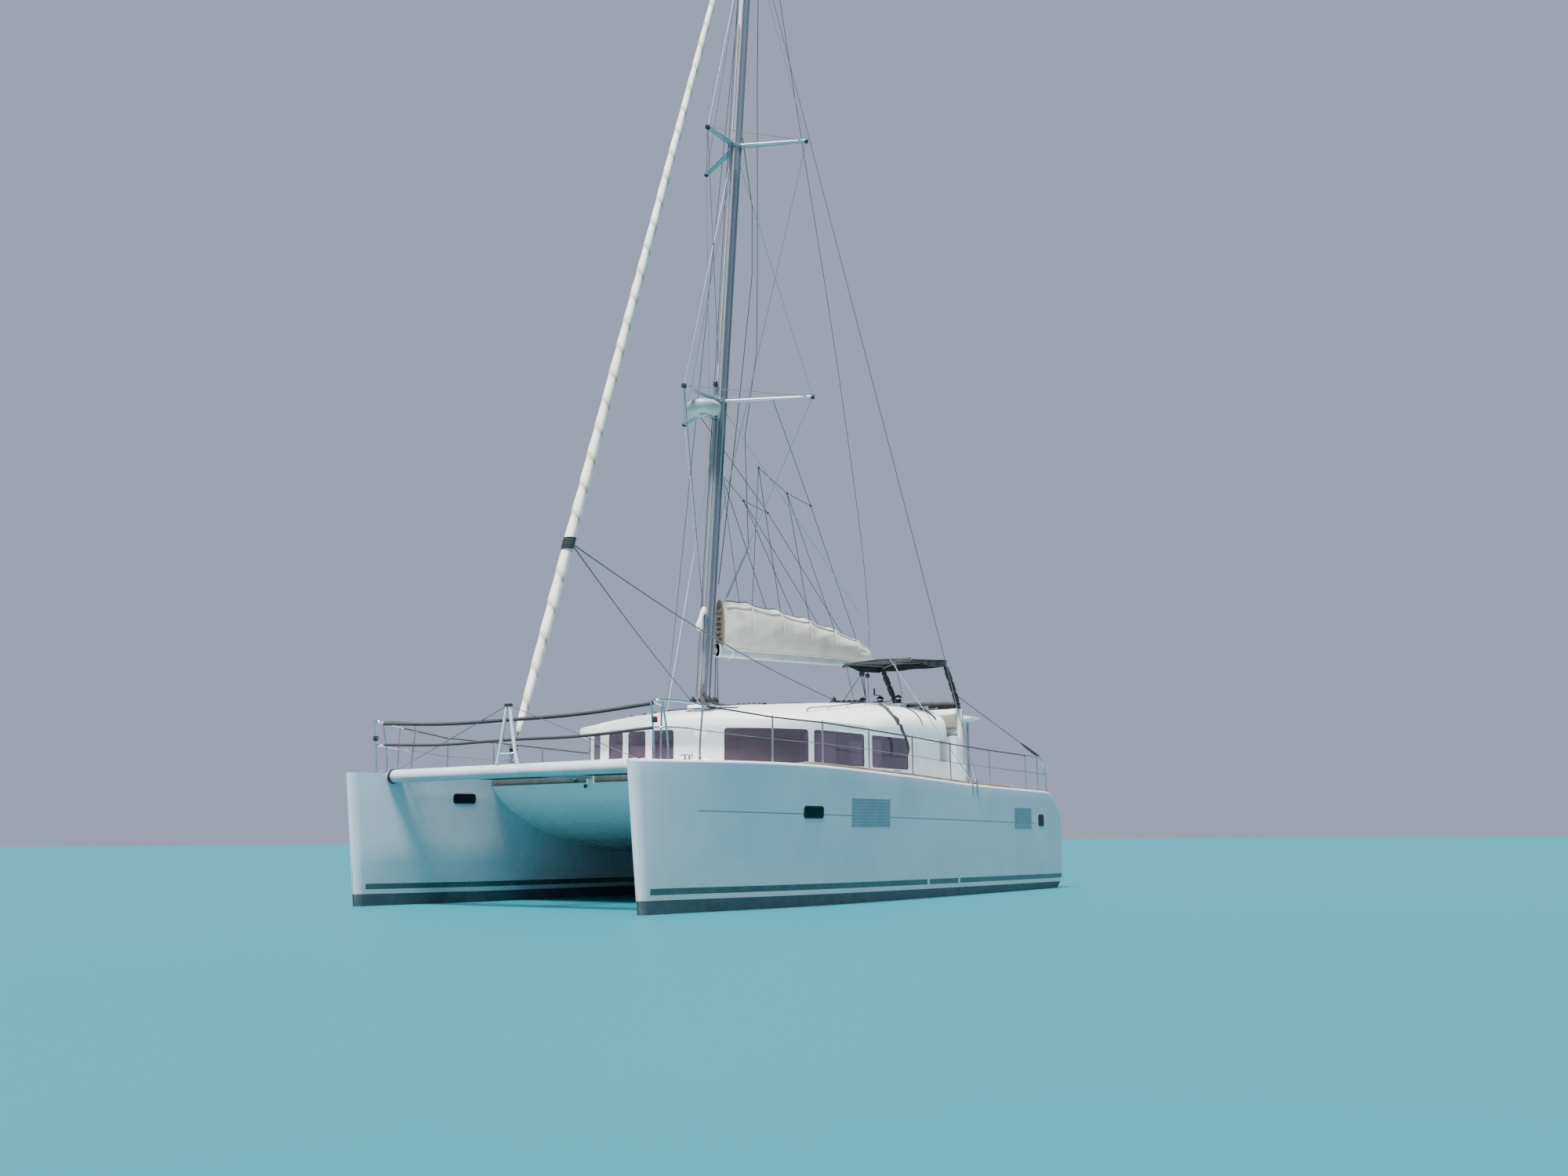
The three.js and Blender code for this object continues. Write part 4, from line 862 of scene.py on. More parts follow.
def buildCabinWalls():
    frontEnd, aftEnd = wallAlong(cabin["split"]), wallAft(cabin["aft"])
    frontHoles = [((wallAlong(a), wallAlong(b)), cabin["frontHeights"]) for a, b in cabin["frontPanes"]]
    sideHoles = [(tuple(wallAlong(a) for a in cabin["cornerPane"]), cabin["sideHeights"])]
    sideHoles.append(((wallAlong(cabin["middlePane"][0]), wallAft(cabin["middlePane"][1])), cabin["sideHeights"]))
    sideHoles.append((tuple(wallAft(x) for x in cabin["aftPane"]), cabin["sideHeights"]))
    heights, wall = (cabin["low"], cabin["high"]), (-cabin["thick"], 0)
    glass, seals = [], []
    for ends, holes, steps in (((-frontEnd, frontEnd), frontHoles, 34), ((frontEnd, aftEnd), sideHoles, 60)):
        piece = panel(wallPlace, ends, heights, 0, wall, (steps, 6))
        grow, edge = cabin["gap"], cabin["corner"]
        cutWith(piece, [panel(wallPlace, along, up, edge, (-0.1, 0.05), (14, 1)) for along, up in holes])
        bevelEdges(piece, 0.005, 2, 50)
        for (a, b), (low, high) in holes:
            pane = ((a + grow, b - grow), (low + grow, high - grow))
            back = -cabin["recess"] - cabin["paneThick"]
            glass.append(panel(wallPlace, *pane, edge - grow, (back, -cabin["recess"]), (20, 2)))
            seal = panel(wallPlace, (a, b), (low, high), edge, (back - 0.014, back), (20, 1))
            inset = cabin["gasket"]
            hole = panel(wallPlace, (a + inset, b - inset), (low + inset, high - inset), edge - inset,
                         (back - 0.03, back + 0.01), (20, 1))
            seals.append(cutWith(seal, [hole]))
        if holes is frontHoles:
            finish(piece, "cabin_front_wall", "boat", "gelcoat", ["cabin_front"])
            front = len(glass)
        else:
            finishPair(piece, "cabin_side_wall", "gelcoat", ["cabin_side"])
    for parts, name, slotName, material in ((glass, "cabin_panes", "tinted_glass", "darkGlass"),
                                            (seals, "pane_seals", "white_plastic", "rubber")):
        every = parts + [mirrored(part) for part in parts[front:]]
        replaced = ["cabin_glazing"] if parts is glass else []
        finish(joinPieces(every), name, "boat", material, replaced)


buildCabinWalls()
print("cabin walls built")

# coachroof, hardtop and helm notch
roof = {
    "eaveOut": 2.5, "eave": 2.73, "fascia": 0.1, "shell": 0.06, "soffit": 0.215,
    "crown": ((-3.3, 3.42, 4), (-1.7, 3.385, 3.4), (0, 3.275, 2.2), (0.8, 3.185, 2), (2.0, 2.985, 2),
              (2.4, 2.89, 2), (2.6, 2.83, 2), (2.7, 2.775, 2)),
    "mastPad": ((0.54, -0.17, 3.12), (1.04, 0.17, 3.225)),
    "topAft": -5.06, "topUnder": 3.18,
    "notch": ((-4.37, 0.9, 2.9), (-3.29, 2.6, 3.6)),
}
crownAt, shoulderAt = smoothReader(roof["crown"], 1), smoothReader(roof["crown"], 2)


def roofHalf(x, edge):
    run = max(0, x - cabin["nose"]) / edge
    return max(0.03, edge * math.sqrt(max(0, 1 - run * run)))


def roofTop(x, y, edge=None, drop=0.0, fascia=None):
    # height of the roof's skin; the fascia is an upright edge below the dome
    edge = edge or roof["eaveOut"]
    fascia = roof["fascia"] if fascia is None else fascia
    across = min(1, abs(y) / roofHalf(x, edge))
    power = shoulderAt(x)
    rise = max(0.008, crownAt(x) - drop - roof["eave"]) * (1 - across ** power) ** (1 / power)
    return roof["eave"] + (rise ** 4 + fascia ** 4) ** 0.25


def roofRing(x, edge, drop, fascia, low, count=44):
    half = roofHalf(x, edge)
    ring = [(x, -half, low), (x, half, low)]
    for k in range(count + 1):
        y = half * math.cos(math.pi * k / count)
        ring.append((x, y, roofTop(x, y, edge, drop, fascia)))
    return ring


def roofShell(edge, drop, fascia, low, aft):
    places = [aft + (cabin["nose"] - aft) * k / 24 for k in range(24)]
    places += [cabin["nose"] + edge * math.sin(math.radians(86.9 * k / 40)) for k in range(41)]
    return loft([roofRing(x, edge, drop, fascia, low) for x in places])


def hardtopRing(x, count=40):
    end = max(0, (-4.7 - x) / 0.36)
    half = 2.46 - 0.38 * end ** 2.5
    crown = crownAt(-3.3) - 0.06 * end ** 2
    drop = 0.185 - 0.07 * end ** 2
    ring = [(x, half * (1 - 2 * k / count), crown - drop * abs(1 - 2 * k / count) ** 3) for k in range(count + 1)]
    low = roof["topUnder"]
    lip = crown - drop - 0.025
    return ring + [(x, -half * 0.995, lip), (x, -half * 0.9, low), (x, half * 0.9, low), (x, half * 0.995, lip)]


def buildRoof():
    outer = roofShell(roof["eaveOut"], 0, roof["fascia"], roof["eave"], cabin["aft"])
    inside = roofShell(roof["eaveOut"] - roof["soffit"], roof["shell"], 0.02, roof["eave"] - 0.1, cabin["aft"] - 0.1)
    cutWith(outer, [inside])
    bevelEdges(outer, 0.022, 4, 50)
    pad = box(*roof["mastPad"], 0.02, 3)
    finish(joinPieces([outer, pad]), "coachroof_shell", "boat", "gelcoat", ["coachroof"], 40)
    places = [cabin["aft"] - 0.0003 - 1.4 * k / 10 for k in range(11)]
    places += [-4.7 - 0.36 * math.sin(math.pi / 2 * k / 10) for k in range(1, 11)]
    top = loft([hardtopRing(x) for x in places])
    cutWith(top, [box(*roof["notch"])])
    bevelEdges(top, 0.016, 3, 40)
    posts = []
    for side in (1, -1):
        posts.append(rod((-4.95, 2.095 * side, 1.1503), (-4.93, 2.095 * side, 3.23), 0.028, 24))
        posts.append(turned(((0, 0), (0.06, 0), (0.06, 0.006), (0.035, 0.014), (0, 0.014)), (-4.95, 2.095 * side, 1.151)))
    finish(top, "hardtop", "boat", "gelcoat", ["cockpit_hardtop"], 40)
    finish(joinPieces(posts), "hardtop_posts", "boat", "stainless")


buildRoof()
print("roof built")


# deck panels with a moulded grip pattern
deckPanels = {
    "height": 0.003, "sunk": -0.004, "corner": 0.06,
    "treadEnds": {0.9: -5.46, 0.65: -5.69, 0.4: -5.9},    # aft end of the panel on each stern step
}


def hardtopTop(x, y):
    ring = hardtopRing(x)
    half = ring[0][1]
    return ring[20][2] - 0.185 * abs(y / half) ** 3


def buildDeckPanels():
    faces = (deckPanels["sunk"], deckPanels["height"])
    corner = deckPanels["corner"]
    made = []

    def outer(x):
        return deckOuter(hull["stem"] - x) - 0.17

    def inner(x):
        beside = cabin["out"] + 0.09 if x < cabin["nose"] else \
            math.sqrt(max(0, (cabin["out"] + 0.09) ** 2 - (x - cabin["nose"]) ** 2))
        return max(beside, hull["inner"] + 0.015, deckInner(hull["stem"] - x) + 0.1)

    decks = (((-4.05, -2.3), inner, outer), ((-2.22, -0.3), inner, outer), ((-0.22, 1.7), inner, outer),
             ((1.78, 2.75), inner, outer), ((3.42, 4.12), inner, outer), ((4.8, 5.5), inner, outer),
             ((4.16, 4.76), lambda x: 3.07, outer))
    for along, low, high in decks:
        made.append(panel(onDeck, along, (low, high), corner, faces, (24, 1)))
    made += [mirrored(part) for part in made]

    def roundFront(x):    # clear of the cabin's round front
        reach = (cabin["out"] + 0.1) ** 2 - (x - cabin["nose"]) ** 2
        return math.sqrt(max(0, reach)) + 0.02

    for side in (1, -1):
        def place(x, y, depth):
            return (x, y * side, sheer(x) + depth)
        made.append(panel(place, (1.75, 2.72), (roundFront, 2.1), 0.04, faces, (20, 1)))
        made.append(panel(place, (2.76, 3.3), (0.5, 2.1), corner, faces, (8, 1)))
        made.append(panel(place, (3.36, 3.57), (0.32, 2.1), 0.04, faces, (4, 1)))
        for edge, tread in hull["steps"][1:]:
            def step(x, y, depth):
                return (x, y * side, tread + depth)
            made.append(panel(step, (deckPanels["treadEnds"][tread], edge - 0.03), (2.3, 3.3), 0.03, faces, (3, 1)))

        def roofSkin(x, y, depth):
            return (x, y * side, roofTop(x, y) + depth)
        made.append(panel(roofSkin, (-2.55, 0.35), (1.05, 1.85), corner, faces, (24, 10)))
        made.append(panel(roofSkin, (-3.1, 0.35), (0.1, 0.72) if side > 0 else (0.1, 0.95), corner, faces, (24, 8)))

        def topSkin(x, y, depth):
            return (x, y * side, hardtopTop(x, y) + depth)
        reach = (0.12, 0.78) if side > 0 else (0.12, 2.1)
        made.append(panel(topSkin, (-4.7, -3.45), reach, corner, faces, (12, 12)))
    finish(joinPieces(made), "grip_panels", "boat", "nonSkid", angle=50)


buildDeckPanels()
print("deck panels built")

# hull fittings: portlights, louvre decals, toe rail, hatches, cleats
hullFittings = {
    "portlights": (((2.45, 2.88), (1.26, 1.41)), ((-5.14, -4.92), (1.17, 1.36))),
    "louvres": (((0.64, 1.73), (1.13, 1.56)), ((-4.59, -3.83), (1.11, 1.49))),
    "louvreStripes": 9,
    "toeRail": ((-4.05, 3.0), 0.045, 0.035, 0.075),    # ends, height, width, inset
    "hatches": ((3.06, 0.5), (1.0, 0.5), (-2.7, 0.42)),    # x, size of the hull deck hatches
    "roofHatches": ((1.55, 0.62), (1.55, -0.62)),
    "cleats": (5.05, 0.2, -3.95),
}


def outerPlace(x, z, depth):
    return (x, outerFace(x, z) + depth, z)


def innerPlace(x, z, depth):
    return (x, innerFace(x, z) - depth, z)


def buildPortlights():
    panes, rims = [], []
    spots = [(outerPlace, along, up) for along, up in hullFittings["portlights"]]
    spots.append((innerPlace, (3.95, 4.32), (1.56, 1.69)))
    for place, (a, b), (low, high) in spots:
        panes.append(panel(place, (a, b), (low, high), 0.035, (-0.002, 0.003), (8, 3)))
        rim = panel(place, (a - 0.016, b + 0.016), (low - 0.016, high + 0.016), 0.05, (-0.004, 0.006), (8, 3))
        rims.append(cutWith(rim, [panel(place, (a + 0.002, b - 0.002), (low + 0.002, high - 0.002), 0.034, (-0.02, 0.02), (8, 1))]))
    finishPair(joinPieces(panes), "hull_portlights", "portGlass")
    finishPair(joinPieces(rims), "portlight_rims", "blackPlastic")
    stripes = []
    for (a, b), (low, high) in hullFittings["louvres"]:
        count = hullFittings["louvreStripes"]
        pitch = (high - low) / count
        for k in range(count):
            foot = low + k * pitch
            stripes.append(panel(outerPlace, (a, b), (foot, foot + pitch * 0.86), 0.012, (-0.002, 0.0025), (10, 1)))
    finishPair(joinPieces(stripes), "hull_louvres", "louvreFilm")


def buildToeRail():
    (aft, fore), height, width, inset = hullFittings["toeRail"]
    rings = []
    for k in range(61):
        x = aft + (fore - aft) * k / 60
        y, z = deckOuter(hull["stem"] - x) - inset, sheer(x) - 0.003
        tall = height * min(1, 0.25 + k / 3, 0.25 + (60 - k) / 3)
        rings.append([(x, y, z), (x, y, z + tall * 0.75), (x, y - width * 0.25, z + tall),
                      (x, y - width * 0.75, z + tall), (x, y - width, z + tall * 0.75), (x, y - width, z)])
    finishPair(loft(rings), "toe_rail", "teakRail", angle=50)


def hatch(x, y, size, surface):    # a flush hatch: alloy frame, smoked lid, two hinges and a handle
    def place(u, v, depth):
        return (u, v, surface(u, v) + depth)
    half = size / 2
    frame_ = panel(place, (x - half, x + half), (y - half, y + half), 0.05, (-0.01, 0.018), (6, 4))
    hole = panel(place, (x - half + 0.035, x + half - 0.035), (y - half + 0.035, y + half - 0.035), 0.035, (-0.05, 0.05), (6, 4))
    lid = panel(place, (x - half + 0.037, x + half - 0.037), (y - half + 0.037, y + half - 0.037), 0.033, (0.001, 0.014), (6, 4))
    cutWith(frame_, [hole])
    bevelEdges(frame_, 0.003, 2, 50)
    bevelEdges(lid, 0.003, 2, 50)
    extras = []
    for side in (-1, 1):
        at = y + side * size * 0.28
        top = surface(x + half - 0.02, at)
        extras.append(box((x + half - 0.05, at - 0.03, top + 0.01), (x + half + 0.004, at + 0.03, top + 0.028), 0.006, 2))
    top = surface(x - half + 0.06, y)
    extras.append(box((x - half + 0.05, y - 0.05, top + 0.012), (x - half + 0.075, y + 0.05, top + 0.026), 0.005, 2))
    return frame_, lid, extras


def cleat(x, y, z):
    parts = [tube([(x - 0.13, y, z + 0.052), (x - 0.08, y, z + 0.06), (x, y, z + 0.063), (x + 0.08, y, z + 0.06),
                   (x + 0.13, y, z + 0.052)], 0.011, 8)]
    for at in (x - 0.045, x + 0.045):
        parts.append(turned(((0, 0), (0.026, 0), (0.026, 0.006), (0.012, 0.016), (0.011, 0.06), (0, 0.06)), (at, y, z), steps=16))
    return parts


def buildDeckFittings():
    frames, lids, fittings, steel = [], [], [], []
    spots = []
    for x, size in hullFittings["hatches"]:
        spots += [(x, side * 2.95, size, lambda u, v: sheer(u)) for side in (1, -1)]
    spots += [(x, y, 0.5, roofTop) for x, y in hullFittings["roofHatches"]]
    for x, y, size, surface in spots:
        rim, lid, extras = hatch(x, y, size, surface)
        frames.append(rim)
        lids.append(lid)
        fittings += extras
    finish(joinPieces(frames), "hatch_frames", "boat", "spar")
    finish(joinPieces(lids), "hatch_lids", "boat", "hatchGlass")
    finish(joinPieces(fittings), "hatch_hinges", "boat", "blackPlastic")
    for x in hullFittings["cleats"]:
        y = deckOuter(hull["stem"] - x) - 0.13
        steel += cleat(x, y, sheer(x))
    finishPair(joinPieces(steel), "mooring_cleats", "stainless")


buildPortlights()
buildToeRail()
buildDeckFittings()
print("hull fittings built")


# bulkhead and sliding door
door = {"low": (-3.304, -0.72, 1.1703), "high": (-3.268, 0.17, 3.06), "rail": 0.075, "glassThick": 0.008}


def buildDoor():
    (x0, y0, z0), (x1, y1, z1) = door["low"], door["high"]
    rail, middle = door["rail"], (x0 + x1) / 2
    leaf = box((x0, y0, z0), (x1, y1, z1))
    cutWith(leaf, [box((x0 - 0.1, y0 + rail, z0 + rail * 1.6), (x1 + 0.1, y1 - rail, z1 - rail))])
    bevelEdges(leaf, 0.005, 2)
    finish(leaf, "door_leaf", "door", "whitePlastic", ["cockpit_door"])
    thick = door["glassThick"] / 2
    pane = box((middle - thick, y0 + rail - 0.01, z0 + rail * 1.6 - 0.01), (middle + thick, y1 - rail + 0.01, z1 - rail + 0.01), 0.002, 1)
    finish(pane, "door_pane", "door", "darkGlass")
    y = y1 - rail / 2
    grip = tube([(x0 + 0.002, y, 2.02), (x0 - 0.008, y, 2.03), (x0 - 0.012, y, 2.06), (x0 - 0.012, y, 2.2),
                 (x0 - 0.008, y, 2.23), (x0 + 0.002, y, 2.24)], 0.007, 12)
    finish(grip, "door_grip", "door", "stainless")


buildDoor()
dress("aft_bulkhead", "bulkhead", "gelcoat", 0.006)
bulkPane = {"low": (-3.25, 0.405, 2.035), "high": (-3.242, 1.165, 2.815)}
finish(box(bulkPane["low"], bulkPane["high"], 0.002, 1), "bulkhead_pane", "boat", "darkGlass")
for lid in ("engine_lid", "forepeak_lid"):
    for side in ("port", "starboard"):
        dress(f"{lid}_{side}", f"{lid}_cover_{side}", "gelcoat", 0.006, 2, f"{lid}_{side}")
dress("anchor_locker_lid", "locker_cover", "gelcoat", 0.006, 2, "anchor_locker_lid")
dress("bridge_deck", "bridge_body", "gelcoat", 0.02, 3)
print("bulkhead and lids built")


# mast, spreaders and radome
mast = {
    "x": 0.8, "rake": 0.0887, "foot": 3.2253, "top": 20.3, "half": (0.145, 0.093),
    "scale": ((3.2253, 1), (17.5, 1), (20.3, 0.72)),
    "spreaders": (("lower_spreaders", 8.78, 1.7, 1.1), ("upper_spreaders", 13.95, 1.38, 0.9)),
    "sweep": 118, "stayTop": 19.6, "pin": (0.5, 4.21), "radar": 8.42,
    "lowerStay": 8.6, "jackTop": 9.6,
}
mastSize = smoothReader(mast["scale"], 1)


def mastAt(z):
    return mast["x"] - mast["rake"] * (z - 3.18)


def ovalRing(x, y, z, halfX, halfY, count=40):
    return [(x + halfX * math.cos(2 * math.pi * k / count), y + halfY * math.sin(2 * math.pi * k / count), z)
            for k in range(count)]


def mastRing(z, grow=0.0):
    k = mastSize(z)
    return ovalRing(mastAt(z), 0, z, mast["half"][0] * k + grow, mast["half"][1] * k + grow)


def arm(start, end, chord, thick):    # a spreader of aerofoil section
    start, end = Vector(start), Vector(end)
    along = (end - start).normalized()
    flat = along.cross(Vector((0, 0, 1))).normalized()
    rise = flat.cross(along)
    rings = []
    for t, size in ((0, 1.15), (0.06, 1), (0.5, 0.88), (0.94, 0.72), (0.985, 0.66), (1, 0.4)):
        middle = start.lerp(end, t)
        rings.append([middle + flat * chord * size * math.cos(a) + rise * thick * size * math.sin(a)
                      for a in [2 * math.pi * k / 20 for k in range(20)]])
    return loft(rings)


def buildMast():
    heights = [mast["foot"] + (mast["top"] - mast["foot"]) * k / 40 for k in range(41)]
    tubePiece = loft([mastRing(z) for z in heights])
    bevelEdges(tubePiece, 0.01, 3, 60)
    tip = mastAt(mast["top"])
    crane = box((tip - 0.33, -0.045, mast["top"] - 0.06), (tip + 0.15, 0.045, mast["top"]), 0.01, 3)
    top = mast["stayTop"]
    tang = box((mastAt(top), -0.02, top + 0.045), (mastAt(top) + 0.28, 0.02, top + 0.145), 0.008, 3)
    pinX, pinZ = mast["pin"]
    cheeks = [box((pinX - 0.025, -0.035, pinZ + low), (mastAt(pinZ) - 0.06, 0.035, pinZ + high), 0.008, 2)
              for low, high in ((-0.09, -0.0555), (0.0555, 0.09))]
    web = box((pinX + 0.045, -0.035, pinZ - 0.09), (mastAt(pinZ) - 0.06, 0.035, pinZ + 0.09), 0.008, 2)
    collar = loft([mastRing(mast["foot"], 0.05), mastRing(mast["foot"] + 0.012, 0.05), mastRing(mast["foot"] + 0.02, 0.012),
                   mastRing(mast["foot"] + 0.1, 0.012), mastRing(mast["foot"] + 0.1, 0)])
    finish(joinPieces([tubePiece, crane, tang, *cheeks, web, collar]), "mast_tube", "boat", "spar", ["mast"])
    lean = Vector((-mast["rake"], 0, 1)).normalized() * 0.07
    pin = Vector((pinX, 0, pinZ))
    finish(joinPieces([rod(pin - lean, pin + lean, 0.0138, 24), rod(pin + lean * 1.33, pin + lean * 1.45, 0.022, 6)]),
           "gooseneck_pin", "boat", "stainless")
    track = []
    for k in range(20):
        low, high = 4.55 + 0.76 * k, 4.55 + 0.76 * (k + 1) - 0.004
        x0, x1 = (mastAt(z) - mast["half"][0] * mastSize(z) for z in (low, high))
        track.append(loft([[(x - 0.016, -0.015, z), (x + 0.006, -0.015, z), (x + 0.006, 0.015, z), (x - 0.016, 0.015, z)]
                           for x, z in ((x0, low), (x1, high))]))
    finish(joinPieces(track), "sail_track", "boat", "blackPlastic")
    for name, z, side, fore in mast["spreaders"]:
        x, angle = mastAt(z), math.radians(mast["sweep"])
        parts = [loft([mastRing(z - 0.045, 0.004), mastRing(z - 0.035, 0.022), mastRing(z + 0.035, 0.022), mastRing(z + 0.045, 0.004)])]
        for turn, length in ((angle, side), (-angle, side), (0, fore)):
            parts.append(arm((x + 0.1 * math.cos(turn), 0.07 * math.sin(turn), z),
                             (x + length * math.cos(turn), length * math.sin(turn), z + 0.02), 0.07, 0.034))
        finish(joinPieces(parts), f"{name}_foils", "boat", "spar", [name])
        boots = []
        for turn, length in ((angle, side), (-angle, side), (0, fore)):
            ends = [(x + reach * math.cos(turn), reach * math.sin(turn), z + 0.02) for reach in (length - 0.06, length + 0.002)]
            boots.append(bevelEdges(rod(*ends, 0.046, 20), 0.01, 3))
        finish(joinPieces(boots), f"{name}_boots", "boat", "rubber")


def buildRadome():
    z = mast["radar"]
    x = mastAt(z) + 0.48
    profile = [(0, 0), (0.2, 0), (0.26, 0.012), (0.295, 0.05), (0.308, 0.09), (0.31, 0.118), (0.306, 0.122), (0.306, 0.128),
               (0.31, 0.132), (0.3, 0.165), (0.275, 0.195), (0.23, 0.22), (0.16, 0.238), (0.08, 0.247), (0, 0.25)]
    dome = turned(profile, (x, 0, z), steps=56)
    plate = box((mastAt(z) + 0.06, -0.06, z - 0.018), (x + 0.06, 0.06, z + 0.002), 0.004, 2)
    strut = rod((mastAt(z) + 0.12, 0, z - 0.045 + 0.0), (x - 0.1, 0, z - 0.012), 0.014, 12)
    # the radome's grey is painted shade on white plastic
    finish(dome, "radome_shell", "boat", "radomeShadedGrey", ["radome"])
    finish(joinPieces([plate, strut]), "radome_bracket", "boat", "spar")
    lamp = turned(((0, 0), (0.035, 0), (0.04, 0.02), (0.04, 0.06), (0.03, 0.075), (0, 0.08)), (mastAt(9.05) + 0.19, 0, 9.05), steps=20)
    shelf = box((mastAt(9.05) + 0.1, -0.03, 9.03), (mastAt(9.05) + 0.23, 0.03, 9.05), 0.004, 2)
    finish(joinPieces([lamp, shelf]), "steaming_light", "boat", "blackPlastic")
    tip = mastAt(mast["top"])
    allRound = turned(((0, 0), (0.03, 0), (0.03, 0.05), (0.02, 0.06), (0, 0.06)), (tip - 0.27, 0, mast["top"] - 0.12), steps=20)
    finish(allRound, "masthead_light", "boat", "whitePlastic")


buildMast()
buildRadome()
print("mast built")

# boom and sail bag
boom = {
    "rows": ((-4.75, 4.39, 0.072, 0.2), (-2.2, 4.245, 0.08, 0.24), (0.43, 4.105, 0.075, 0.235)),
    "bag": ((-4.7, 0.09, 4.77), (-4.4, 0.16, 4.86), (-3.6, 0.215, 5.01), (-2.3, 0.24, 5.14), (-1.0, 0.235, 5.19),
            (0, 0.19, 5.195), (0.36, 0.115, 5.14)),
    "profile": ((0, 0.5, 0), (0.16, 0.8, 0.12), (0.34, 0.97, 0.32), (0.52, 1.0, 0.5), (0.7, 0.9, 0.7), (0.85, 0.62, 0.87),
                (0.94, 0.3, 0.965), (1, 0, 1)),    # share of the way up the side, half width, height
    "tabs": (-0.45, -1.35, -2.3, -3.2, -4.05),
    "sheetX": -4.42,
}
boomLow, boomHalf, boomTall = (smoothReader(boom["rows"], k) for k in (1, 2, 3))
bagHalf, bagTop = smoothReader(boom["bag"], 1), smoothReader(boom["bag"], 2)
bagOut, bagUp = smoothReader(boom["profile"], 1), smoothReader(boom["profile"], 2)


def boomRing(x, count=32, shrink=1.0):
    ring = []
    low, half, tall = boomLow(x), boomHalf(x) * shrink, boomTall(x)
    for k in range(count):
        a = 2 * math.pi * k / count
        ring.append((x, half * math.copysign(abs(math.cos(a)) ** 0.65, math.cos(a)),
                     low + tall / 2 + tall / 2 * shrink * math.copysign(abs(math.sin(a)) ** 0.65, math.sin(a))))
    return ring


def buildBoom():
    places = [0.43 - (0.43 + 4.75) * k / 24 for k in range(25)]
    spar = loft([boomRing(x) for x in places])
    bevelEdges(spar, 0.008, 3, 60)
    pinX, pinZ = mast["pin"]
    lean = Vector((-mast["rake"], 0, 1)).normalized() * 0.046
    pin = Vector((pinX, 0, pinZ))
    eye = rod(pin - lean, pin + lean, 0.028, 32)
    cutWith(eye, [rod(pin - lean * 1.5, pin + lean * 1.5, 0.0145, 32)])
    tongue = box((0.42, -0.02, pinZ - 0.04), (pinX - 0.02, 0.02, pinZ + 0.04), 0.005, 2)
    finish(joinPieces([spar, eye, tongue]), "boom_spar", "boom", "paleSpar", ["boom"])
    caps = []
    for low, high, shrink in ((-4.75, -4.72, 1.0), (0.4, 0.43, 1.0)):
        piece = loft([boomRing(x, 32, 1.02) for x in (low, low + 0.01, high)])
        caps.append(bevelEdges(piece, 0.004, 2, 60))
    for x in (boom["sheetX"], boom["sheetX"] - 0.22, 0.05):
        band = loft([boomRing(x + d, 32, 1.015) for d in (-0.03, 0.03)])
        eyeAt = (x, 0, boomLow(x) - 0.02)
        caps += [band, turned(((0.012, -0.006), (0.022, -0.008), (0.026, 0), (0.022, 0.008), (0.012, 0.006)), eyeAt, (0, 1, 0), 16)]
    finish(joinPieces(caps), "boom_fittings", "boom", "whitePlastic")


def bagSide(x, t, side, grow=0.0):
    # one point of the canvas; tabs hold its upper edge up and it sags between them
    low = boomLow(x) + boomTall(x) * 0.55
    pulled = min(abs(x - tab) for tab in boom["tabs"])
    sag = 0.045 * (1 - math.exp(-(pulled / 0.16) ** 2)) * max(0, t - 0.3) / 0.7
    crease = 0.016 * math.exp(-(pulled / 0.09) ** 2) * math.sin(math.pi * min(1, t * 1.2))
    wrinkle = 0.018 * noise.noise((x * 1.7 + 3 * t, t * 2.4, side * 9.0)) + 0.007 * noise.noise((x * 9 - 5 * t, t * 7, side * 5.0))
    flat = min(1, (x + 4.7) / 0.25, (0.36 - x) / 0.12)
    out = max(0, bagOut(t) * (bagHalf(x) - 0.012) + (wrinkle - crease + grow) * flat * min(1, 6 * (1 - t)))
    return (x, side * out, low + (bagTop(x) - low) * bagUp(t) - sag * flat - 0.008)


